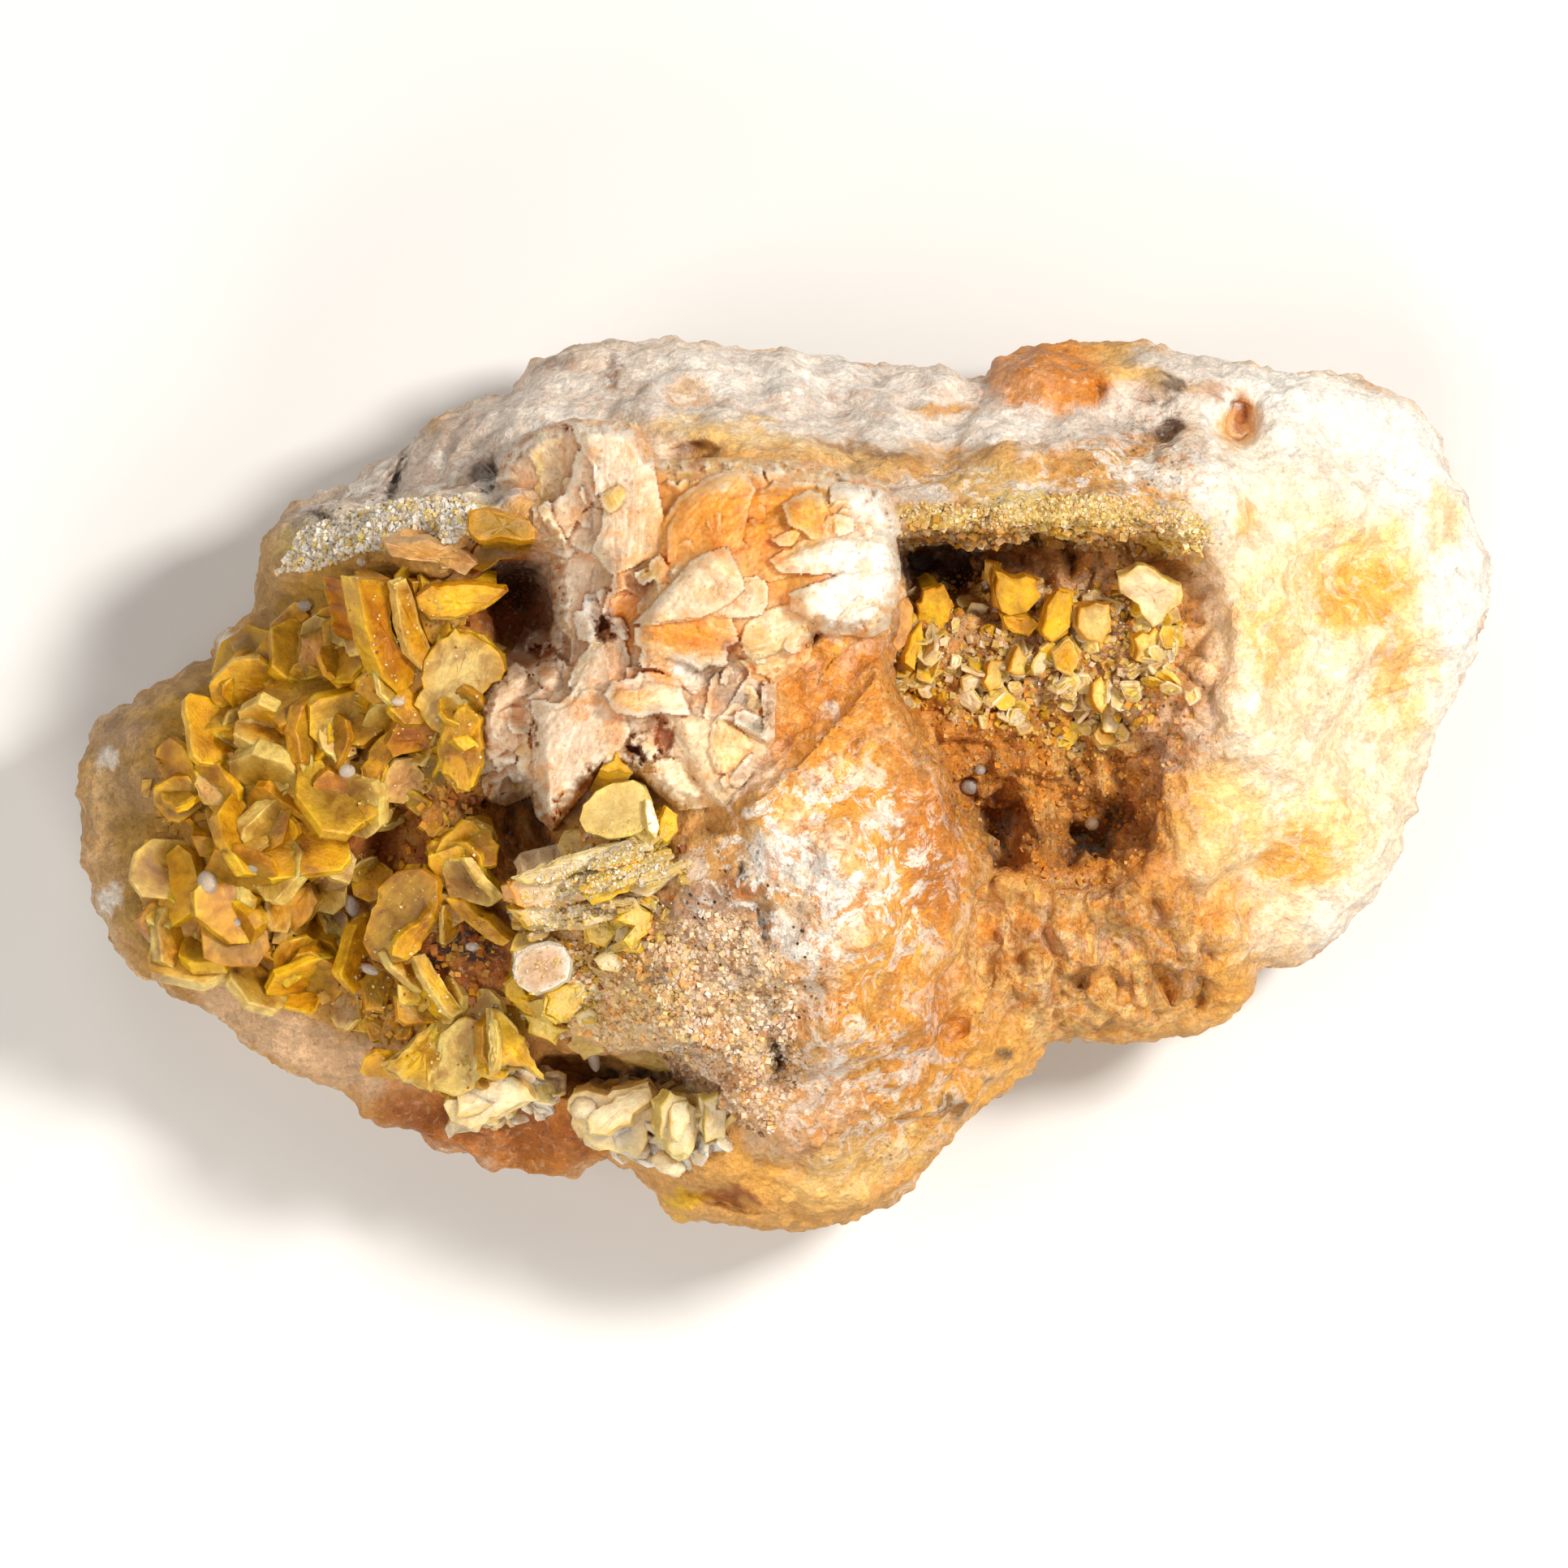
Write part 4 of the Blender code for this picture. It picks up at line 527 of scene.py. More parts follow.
# Small holes and cracks: half sizes, angle and depth in millimetres.
PITS = [
    Spot(-0.2, -11.4, 0.25, 0.8, 4, 1.6), Spot(-0.9, -6.1, 0.2, 0.9, 12, 0.6),
    Spot(9.2, -1.9, 0.7, 1.7, 8, 1.8), Spot(12.9, -2.6, 1.2, 0.8, 6, 1.6),
    Spot(14.2, -1.5, 0.5, 0.8, 0, 1.2), Spot(12.6, -8.4, 0.4, 0.5, 0, 1.2),
    Spot(16.4, -8.5, 0.5, 0.6, 0, 1.4), Spot(17.7, -8.9, 0.35, 0.8, 0, 1.2),
    Spot(16.4, 14.9, 0.5, 0.45, 0, 0.8), Spot(15.9, 16.3, 0.9, 0.2, -4, 0.5),
    Spot(-3.9, 14.0, 1.1, 0.4, 2, 1.0), Spot(-16.4, 13.2, 1.4, 0.25, 62, 0.8),
    Spot(-19.5, 11.1, 0.7, 0.3, -30, 0.8), Spot(8.2, -5.4, 0.3, 1.4, 4, 0.5),
    Spot(-2.4, -17.6, 1.7, 0.4, -4, 0.8), Spot(12.2, 9.8, 0.25, 1.1, 4, 1.0),
    Spot(10.6, 10.3, 0.35, 0.4, 0, 0.9), Spot(-7.4, 17.6, 0.6, 0.18, -75, 0.4),
    Spot(8.2, 11.1, 0.8, 0.25, 20, 0.6), Spot(0.9, 6.1, 0.7, 0.2, 24, 0.6),
    Spot(3.0, 1.5, 0.25, 0.7, -14, 0.4), Spot(-12.6, 12.8, 0.9, 0.5, -70, 1.4),
    Spot(16.2, -6.2, 0.3, 1.5, 24, 0.6), Spot(-1.9, -3.7, 0.2, 0.5, -20, 0.3),
    Spot(19.5, 15.5, 0.5, 0.8, 0, 0.7), Spot(13.4, 16.7, 0.3, 0.5, -10, 0.5),
    Spot(5.6, 9.6, 0.8, 0.8, 0, 0.8),
]


def linear(colour):
    """Scene-linear values of a colour given as sRGB 0 to 255."""
    share = np.array(colour, float) / 255
    return np.where(share > 0.04045, ((share + 0.055) / 1.055) ** 2.4, share / 12.92)


TONES = {name: linear(colour) for name, colour in PALETTE.items()}


def towards(tone, goal, share):
    """Colours moved towards a goal by a share."""
    return tone + (goal - tone) * share


def field(points, size, octaves=4, shift=0.0):
    """Natural unevenness from about -1 to 1 at each point, with features of this size."""
    return np.array([noise.fractal(point, 0.75, 2.0, octaves) for point in (points / size + shift).tolist()])


def cells(points, size, shift=0.0):
    """Distances from each point to the nearest and the second nearest of scattered centres."""
    found = [noise.voronoi(point)[0][:2] for point in (points / size + shift).tolist()]
    return np.array(found).T


def cover(x, y, spots, softness=0.3):
    """How much of each point the spots cover, from 0 to the spots' strength."""
    total = np.zeros(x.shape)
    for spot in spots:
        turn = math.radians(spot.angle)
        along = (x - spot.x) * math.cos(turn) + (y - spot.y) * math.sin(turn)
        across = (y - spot.y) * math.cos(turn) - (x - spot.x) * math.sin(turn)
        distance = np.hypot(along / spot.half_length, across / spot.half_width)
        total = np.maximum(total, spot.strength * smooth_step((1 + softness - distance) / (2 * softness)))
    return total


def vertex_values(mesh, name):
    """The places ("co") or normals ("normal") of a mesh's vertices."""
    values = np.empty(len(mesh.vertices) * 3, np.float32)
    mesh.vertices.foreach_get(name, values)
    return values.reshape(-1, 3).astype(float)


def apply_modifiers(obj):
    graph = bpy.context.evaluated_depsgraph_get()
    graph.update()
    mesh = bpy.data.meshes.new_from_object(obj.evaluated_get(graph))
    obj.modifiers.clear()
    obj.data = mesh


def mesh_object(name, points, faces):
    mesh = bpy.data.meshes.new(name)
    mesh.from_pydata(np.asarray(points).tolist(), [], faces)
    mesh.validate()
    obj = bpy.data.objects.new(name, mesh)
    bpy.context.scene.collection.objects.link(obj)
    return obj


def rock_shell():
    """The bare stone as one closed mesh."""
    rows = rock_rings()
    count = len(rows[0])
    faces = []
    for row in range(len(rows) - 1):
        for i in range(count):
            j = (i + 1) % count
            low = row * count
            faces.append((low + i, low + j, low + count + j, low + count + i))
    faces.append(tuple(range(count))[::-1])
    faces.append(tuple(range((len(rows) - 1) * count, len(rows) * count)))
    return mesh_object("matrix_surface", np.vstack(rows), faces)


def patch_rise(x, y):
    """The beds of crystals that stand on the rock, thickest in the middle of each patch."""
    rise = np.zeros(x.shape)
    for edge, height in BEDS:
        centre = np.mean(np.array(edge), axis=0)
        radius = edge_radius(edge, centre, np.arctan2(y - centre[1], x - centre[0]))
        share = np.hypot(x - centre[0], y - centre[1]) / radius
        rise = np.maximum(rise, height * np.clip(1 - share**2, 0, 1))
    return rise


# How high each kind of relief stands.
FINE_RELIEF, SIDE_RELIEF, GRIT_RELIEF, CRUMBLY_RELIEF = 0.10, 0.10, 0.13, 0.34
FIBRE_RELIEF, VUG_LUMPS, VUG_RELIEF = 0.5, 0.9, 0.25


def carve(points, normals):
    """Adds the natural relief: the stone's unevenness, grains, fibres, the vug's lumps, and small holes."""
    x, y = points[:, 0], points[:, 1]
    upward = smooth_step(normals[:, 2] * 2 + 0.4) * smooth_step((points[:, 2] - 4) / 3)
    relief = np.array([
        noise.fractal(point, 0.7, 2.1, 4) * ROCK_RELIEF for point in (points / ROCK_RELIEF_SIZE).tolist()
    ])
    in_vug = smooth_step(inside_distance(x, y, VUG_RIM) / 1.6 + 0.4) * upward
    grit = cover(x, y, GRIT) * upward
    gloss = cover(x, y, GLOSS) * upward
    fibre = cover(x, y, FIBRE) * upward
    sides = 1 - upward
    near, far = cells(points, 1.5, 4.0)
    relief += (FINE_RELIEF + SIDE_RELIEF * sides) * (1 - 0.5 * gloss) * field(points, 1.1, 4, 7.0)
    relief += GRIT_RELIEF * grit * field(points, 0.55, 3, 3.0)
    relief += CRUMBLY_RELIEF * cover(x, y, [CRUMBLY]) * upward * field(points, 1.2, 5, 31.0)
    lumps = VUG_LUMPS * (far - near) ** 0.5 - VUG_LUMPS / 2
    relief += in_vug * (lumps + VUG_RELIEF * field(points, 1.0, 3, 9.0))
    relief += FIBRE_RELIEF * fibre * field(points @ FIBRE_RUN, 1.5, 3, 2.0)
    moved = points + normals * relief[:, None]
    moved[:, 2] += upward * patch_rise(x, y)
    warp_x = x + 0.12 * field(points, 0.6, 2, 5.0)
    for pit in PITS:
        moved[:, 2] -= upward * pit.strength * cover(warp_x, y, [pit._replace(strength=1.0)], 0.4)
    moved[:, 2] = np.maximum(moved[:, 2], BASE_CUT) - BASE_CUT
    moved[:, 2] = np.where(moved[:, 2] < BASE_FLATNESS, 0, moved[:, 2])
    return moved


def make_rock():
    """The rock in full detail: an even fine mesh of the bare stone, carved, thinned out and coloured."""
    rock = rock_shell()
    remesh = rock.modifiers.new("even grid", "REMESH")
    remesh.mode = "VOXEL"
    remesh.voxel_size = VOXEL
    apply_modifiers(rock)
    points = carve(vertex_values(rock.data, "co"), vertex_values(rock.data, "normal"))
    rock.data.vertices.foreach_set("co", points.ravel())
    rock.data.update()
    decimate = rock.modifiers.new("thin out", "DECIMATE")
    decimate.ratio = min(1.0, ROCK_TRIANGLES / (2 * len(rock.data.polygons)))
    apply_modifiers(rock)
    paint_rock(rock.data)
    return rock


def set_colours(mesh, name, values):
    """Stores one colour per vertex, which the materials read by this name."""
    layer = mesh.attributes.new(name, "FLOAT_COLOR", "POINT")
    opaque = np.column_stack([values, np.ones(len(values))])
    layer.data.foreach_set("color", opaque.astype(np.float32).ravel())


def rock_tone(x, y):
    """The stone's colour at each place, with painted shade in its pits, gaps and under its ledges."""
    tone = np.tile(TONES["tan"], (len(x), 1))
    for name, spots in PAINT:
        tone = towards(tone, TONES[name], cover(x, y, spots)[:, None])
    return tone


def paint_rock(mesh):
    """Stores the rock's colours, and where its finish and its veins change."""
    points, normals = vertex_values(mesh, "co"), vertex_values(mesh, "normal")
    plan_x, plan_y = points[:, 0], points[:, 1]
    wide, fine = field(points, 1.6, 3, 11.0), field(points, 0.6, 3, 13.0)
    tone = rock_tone(
        plan_x + 0.5 * wide + 0.2 * fine,
        plan_y + 0.5 * field(points, 1.6, 3, 17.0) + 0.2 * field(points, 0.6, 3, 19.0),
    )
    # fibres: rusty between them, golden and pale along their backs
    ridge = field(points @ FIBRE_RUN, 1.5, 3, 2.0) * cover(plan_x, plan_y, FIBRE)
    for name, share in (
        ("rust", np.clip(-1.6 * ridge, 0, 0.5)),
        ("saffron", np.clip(1.8 * ridge, 0, 0.7)),
        ("peach", np.clip(2.4 * (ridge - 0.25), 0, 0.7)),
    ):
        tone = towards(tone, TONES[name], share[:, None])
    # the lower sides, which the photo doesn't show, are mottled tan, cream and orange
    under = smooth_step((9.5 - points[:, 2]) / 4 + 0.3 * wide)
    mottled = smooth_step(field(points, 4.0, 4, 23.0) * 1.6 + 0.5)[:, None]
    side = TONES["tan"] * mottled + TONES["cream"] * (1 - mottled)
    side = towards(side, TONES["orange"], (0.7 * smooth_step(field(points, 2.6, 4, 29.0) * 2.2))[:, None])
    tone = towards(tone, side * 0.5 + tone * 0.5, under[:, None])
    set_colours(mesh, "tone", np.clip(tone, 0, 1))
    top = smooth_step(normals[:, 2] * 2 + 0.6)
    finish = np.column_stack([cover(plan_x, plan_y, spots) * top for spots in (GRIT, FIBRE, GLOSS)])
    finish[:, 0] = np.maximum(finish[:, 0], 0.3 * under)
    set_colours(mesh, "finish", finish)
    veins = [cover(plan_x, plan_y, spots, 0.6) * top for spots in (WHITE_VEINS, ORANGE_VEINS, DARK_VEINS)]
    set_colours(mesh, "veins", np.maximum(np.column_stack(veins), 0.5 * under[:, None]))


# ---------------------------------------------------------------- crystals

class Slab(NamedTuple):
    """A flat crystal, drawn as seen from above. Its face leans by lean degrees towards azimuth."""

    outline: list
    lift: float  # of its middle, above the rock
    azimuth: float
    lean: float
    thickness: float
    face: str
    rim: str
    layers: int = 1
    ragged: float = 0.03


class Lump(NamedTuple):
    """A rounded growth: its place, its middle's height above the rock, its half sizes and its angle."""

    x: float
    y: float
    lift: float
    half_sizes: tuple
    angle: float
    tone: str
    rough: float = 0.12


CRYSTAL_SHARP, SHEET_SHARP = 22, 38  # edges above these angles stay sharp, in degrees
ABOVE_ALL = 60  # a height over everything, from which the ground is looked for
FACE_RELIEF = 0.03  # how uneven a crystal's face is


def finish_surface(mesh, tones, local, sharp):
    """Stores the colours and local places that the materials read, and shades the mesh."""
    set_colours(mesh, "tone", np.clip(tones, 0, 1))
    layer = mesh.attributes.new("local", "FLOAT_VECTOR", "POINT")
    layer.data.foreach_set("vector", (local * MM).astype(np.float32).ravel())
    mesh.shade_smooth()
    mesh.set_sharp_from_angle(angle=math.radians(sharp))


class Batch:
    """Collects the points, faces and colours of many crystals for one piece."""

    def __init__(self):
        self.points, self.faces, self.tones, self.local = [], [], [], []
        self.count = 0

    def add(self, points, faces, tones, local):
        self.points.append(points)
        self.faces += [tuple(index + self.count for index in face) for face in faces]
        self.tones.append(tones)
        self.local.append(local)
        self.count += len(points)

    def make(self, name):
        obj = mesh_object(name, np.vstack(self.points), self.faces)
        finish_surface(obj.data, np.vstack(self.tones), np.vstack(self.local), CRYSTAL_SHARP)
        return obj


class Ground:
    """The rock's finished surface, looked up from above."""

    def __init__(self, obj):
        mesh = obj.data
        self.tree = BVHTree.FromPolygons([v.co for v in mesh.vertices], [p.vertices for p in mesh.polygons])

    def hit(self, x, y):
        place, normal, _, _ = self.tree.ray_cast(Vector((x, y, ABOVE_ALL)), Vector((0, 0, -1)))
        if place is None:
            return 0.0, Vector((0, 0, 1))
        return place.z, normal

    def height(self, x, y):
        return self.hit(x, y)[0]


def fan(ring, centre, flip):
    """Triangles from a ring of points to one point in its middle."""
    faces = []
    for i, index in enumerate(ring):
        other = ring[(i + 1) % len(ring)]
        faces.append((other, index, centre) if flip else (index, other, centre))
    return faces


def refined(outline, step, ragged, rng):
    """The outline with extra points along its sides, each one moved a little."""
    points = np.array(outline, float)
    made = []
    for start, end in zip(points, np.roll(points, -1, axis=0)):
        count = max(1, round(math.hypot(*(end - start)) / step))
        for i in range(count):
            made.append(start + (end - start) * i / count + rng.normal(0, ragged, 2))
    made = np.array(made)
    area = np.sum(made[:, 0] * np.roll(made[:, 1], -1) - np.roll(made[:, 0], -1) * made[:, 1])
    return made if area > 0 else made[::-1]


def facing(azimuth, lean):
    """The unit normal of a face that leans from level towards an azimuth, both in degrees."""
    turn, tip = math.radians(azimuth), math.radians(lean)
    return np.array([math.sin(tip) * math.cos(turn), math.sin(tip) * math.sin(turn), math.cos(tip)])


def add_slab(batch, outline, middle, normal, thickness, face, rim, rng, ragged=0.03, step=0.35):
    """One crystal plate with slightly rounded edges. Its upper face keeps the outline as seen from above."""
    ring = refined(outline, step, ragged, rng) - middle[:2]
    reach = np.hypot(*ring.T)
    size = float(np.median(reach))
    bevel = min(0.06, 0.3 * thickness, 0.2 * size)
    longest = ring[np.argmax(reach)] / max(reach.max(), 1e-6)
    shift = rng.uniform(-50, 50, 3)
    # rings from the face's middle over the rim to the back: share of the outline, depth, and 1 for the rim
    profile = [
        (0.0, 0.0, 0), (0.3, 0.0, 0), (0.55, 0.0, 0), (0.78, 0.0, 0), (1 - bevel / size, 0.0, 0),
        (1.0, 0.6 * bevel, 1), (1.0, bevel * 1.4, 1), (0.98, thickness * 0.35, 1),
        (0.99, thickness * 0.65, 1), (0.95, thickness - bevel, 1), (0.9 - bevel / size, thickness, 1),
        (0.0, thickness, 1),
    ]
    points, tones, local, rows = [], [], [], []
    face_tone, rim_tone = TONES[face] * rng.uniform(0.9, 1.08), TONES[rim] * rng.uniform(0.92, 1.08)
    total = 0
    for share, depth, is_rim in profile:
        flat = ring * share if share else np.zeros((1, 2))
        rise = -(flat @ normal[:2]) / normal[2]
        place = np.column_stack([flat + middle[:2], rise + middle[2]]) - normal * depth
        if 0 < share < 0.97 and not is_rim:
            place += normal * rng.normal(0, FACE_RELIEF, (len(flat), 1))
        elif is_rim and 0 < share and len(flat) > 8:
            place[:, :2] += flat * rng.normal(0, 0.4 * ragged / size, (len(flat), 1))
        along = flat @ longest
        across = flat @ np.array([-longest[1], longest[0]])
        points.append(place)
        local.append(np.column_stack([along, across, np.full(len(flat), depth)]) + shift)
        # toward the edge the face takes the rim tone, mostly a brighter yellow: partly the crystal's edge
        # colour, partly a painted glow along the edge
        bright = 1.0 if is_rim else 0.8 * share**4
        tones.append(np.tile(face_tone * (1 - bright) + rim_tone * bright, (len(flat), 1)))
        rows.append(list(range(total, total + len(flat))))
        total += len(flat)
    faces = fan(rows[1], rows[0][0], False)
    for upper, lower in zip(rows[1:-2], rows[2:-1]):
        for i in range(len(upper)):
            j = (i + 1) % len(upper)
            faces.append((upper[j], upper[i], lower[i], lower[j]))
    faces += fan(rows[-2], rows[-1][0], True)
    batch.add(np.vstack(points), faces, np.clip(np.vstack(tones), 0, 1), np.vstack(local))


ROOT_SHARE = 0.86  # a root's outline, as a share of its crystal's
ROOT_DEPTH = 0.8  # how far a root goes into the rock


def add_drawn(batch, slabs, ground, seed, lift_share=1.0):
    """The crystals drawn one by one, each on a root. Extra layers lie under a plate, a little out of line."""
    rng = np.random.default_rng(seed)
    for slab in slabs:
        outline = np.array(slab.outline, float)
        middle = np.append(outline.mean(axis=0), 0)
        lift = slab.lift * lift_share
        middle[2] = ground.height(*middle[:2]) + lift
        normal = facing(slab.azimuth, slab.lean)
        for layer in range(slab.layers):
            drop = normal * slab.thickness * 0.92 * layer
            turned = (outline - middle[:2]) * (1 + 0.03 * layer) + rng.normal(0, 0.08 * min(layer, 1), 2)
            place = middle - drop
            add_slab(batch, turned + middle[:2], np.append(middle[:2], place[2]), normal, slab.thickness,
                     slab.face, slab.rim, rng, slab.ragged)
        root = middle - normal * slab.thickness * (slab.layers - 0.1)
        narrower = (outline - middle[:2]) * ROOT_SHARE + middle[:2]
        add_slab(batch, narrower, root, normal, lift + ROOT_DEPTH, slab.rim, slab.face, rng, 2 * slab.ragged)


def tablet(length, width, rng):
    """A small crystal's outline round the origin: a rectangle with its corners cut off unevenly."""
    a, b = length / 2, width / 2
    cut = rng.uniform(0.12, 0.36, 4) * min(length, width)
    points = [
        (a, b - cut[0]), (a - cut[0], b), (cut[1] - a, b), (-a, b - cut[1]),
        (-a, cut[2] - b), (cut[2] - a, -b), (a - cut[3], -b), (a, cut[3] - b),
    ]
    return np.array(points) + rng.normal(0, 0.03 * width, (8, 2))


def rotated(shape, angle):
    """A plan shape turned round the origin by an angle in radians."""
    cosine, sine = math.cos(angle), math.sin(angle)
    return shape @ np.array([[cosine, sine], [-sine, cosine]])


def places(ground, outline, count, rng, bare=()):
    """Random ground points inside an outline but off the bare spots, with the ground's normal there."""
    corners = np.array(outline, float)
    low, high = corners.min(axis=0), corners.max(axis=0)
    found = []
    while len(found) < count:
        x, y = rng.uniform(low, high)
        here = np.array([x]), np.array([y])
        if inside_distance(*here, outline)[0] > 0 and cover(*here, bare)[0] < 0.5:
            z, normal = ground.hit(x, y)
            found.append((np.array([x, y, z]), np.array(normal)))
    return found


def add_small_tablets(batch, ground, outline, count, sizes, tones, seed, leans=(15, 70), lift=0.25, bare=()):
    """Small crystals scattered over an area, each leaning its own way and lifted by a share of its length."""
    rng = np.random.default_rng(seed)
    for place, ground_normal in places(ground, outline, count, rng, bare):
        length = rng.uniform(*sizes)
        width = length * rng.uniform(0.55, 0.95)
        lean = facing(rng.uniform(0, 360), rng.uniform(*leans))
        normal = lean + 0.5 * ground_normal
        normal /= np.linalg.norm(normal)
        normal[2] = max(normal[2], 0.25)
        turn = rng.uniform(0, math.pi)
        shape = rotated(tablet(length, width, rng), turn)
        steep = np.hypot(*normal[:2])
        if steep > 0.05:
            way = normal[:2] / steep
            shape -= np.outer(shape @ way, way) * (1 - normal[2])
        face, rim = tones[rng.integers(len(tones))]
        middle = place + np.array([0, 0, lift * length])
        thickness = rng.uniform(0.12, 0.28) * length
        add_slab(batch, shape + middle[:2], middle, normal, thickness, face, rim, rng, ragged=0.02, step=0.5)


def add_leaves(batch, ground, outline, count, lengths, tones, seed, lifts, turn):
    """Thin parallel leaves seen almost edge-on, like the pages of a closed book."""
    rng = np.random.default_rng(seed)
    for place, _ in places(ground, outline, count, rng):
        length = rng.uniform(*lengths)
        angle = turn + rng.normal(0, 5)
        shape = rotated(tablet(length, rng.uniform(0.07, 0.22), rng), math.radians(angle))
        normal = facing(angle + rng.choice((-90, 90)), rng.uniform(25, 65))
        middle = place + np.array([0, 0, rng.uniform(*lifts)])
        face, rim = tones[rng.integers(len(tones))]
        add_slab(batch, shape + middle[:2], middle, normal, 0.3, face, rim, rng, ragged=0.02, step=0.3)


def add_lumps(batch, lumps, ground, seed):
    """Rounded growths: spheres stretched to their half sizes and made uneven."""
    rows, columns = 22, 36
    for number, lump in enumerate(lumps):
        theta = np.linspace(0, math.pi, rows)
        phi = np.linspace(0, 2 * math.pi, columns, endpoint=False)
        rings = []
        for angle in theta[1:-1]:
            rings.append(np.column_stack([
                np.sin(angle) * np.cos(phi), np.sin(angle) * np.sin(phi), np.full(columns, np.cos(angle)),
            ]))
        sphere = np.vstack([[(0, 0, 1)], *rings, [(0, 0, -1)]])
        rounded = sphere * np.array(lump.half_sizes)
        near, far = cells(rounded, 0.7, 1.7 * number + seed)
        bumps = field(rounded, 0.9, 4, 3.1 * number + seed) + 0.9 * (far - near) - 0.4
        local = rounded * (1 + lump.rough * bumps)[:, None]
        turn = Matrix.Rotation(math.radians(lump.angle), 3, "Z")
        z = ground.height(lump.x, lump.y) + lump.lift
        points = local @ np.array(turn).T + np.array([lump.x, lump.y, z])
        faces = []
        for i in range(columns):
            j = (i + 1) % columns
            faces.append((0, 1 + i, 1 + j))
            for row in range(rows - 3):
                low = 1 + row * columns
                faces.append((low + i, low + columns + i, low + columns + j, low + j))
            faces.append((1 + (rows - 3) * columns + j, 1 + (rows - 3) * columns + i, len(points) - 1))
        tones = TONES[lump.tone] * (1 + 0.10 * bumps)[:, None]
        batch.add(points, faces, np.clip(tones, 0, 1), local + 7.0 * number)


def add_crumbs(batch, ground, outline, count, sizes, tones, seed, sink=0.2, rocky=0.0):
    """Loose-looking grains: small uneven blocks turned at random and set into the ground.

    Each one sinks in by a share of its size, and takes a share of its colour from the rock under it.
    """
    rng = np.random.default_rng(seed)
    corners = np.array([(x, y, z) for z in (-1, 1) for y in (-1, 1) for x in (-1, 1)], float)
    sides = [(0, 2, 3, 1), (4, 5, 7, 6), (0, 1, 5, 4), (2, 6, 7, 3), (0, 4, 6, 2), (1, 3, 7, 5)]
    found = places(ground, outline, count, rng)
    under = np.array([place for place, _ in found])
    stone = rock_tone(under[:, 0], under[:, 1])
    for (place, normal), below in zip(found, stone):
        size = sizes[0] + (sizes[1] - sizes[0]) * rng.random() ** 2.2
        shape = corners * rng.uniform(0.55, 1.0, 3) * rng.uniform(0.6, 1.0, (8, 1)) * size / 2
        turn = np.array(Matrix.Rotation(rng.uniform(0, 6.3), 3, Vector(rng.normal(0, 1, 3))))
        middle = place + normal * size * (0.5 - sink)
        tone = (TONES[tones[rng.integers(len(tones))]] * (1 - rocky) + below * rocky) * rng.uniform(0.8, 1.1)
        tone = np.tile(np.clip(tone, 0, 1), (8, 1))
        batch.add(shape @ turn.T + middle, sides, tone, shape + rng.uniform(-40, 40, 3))


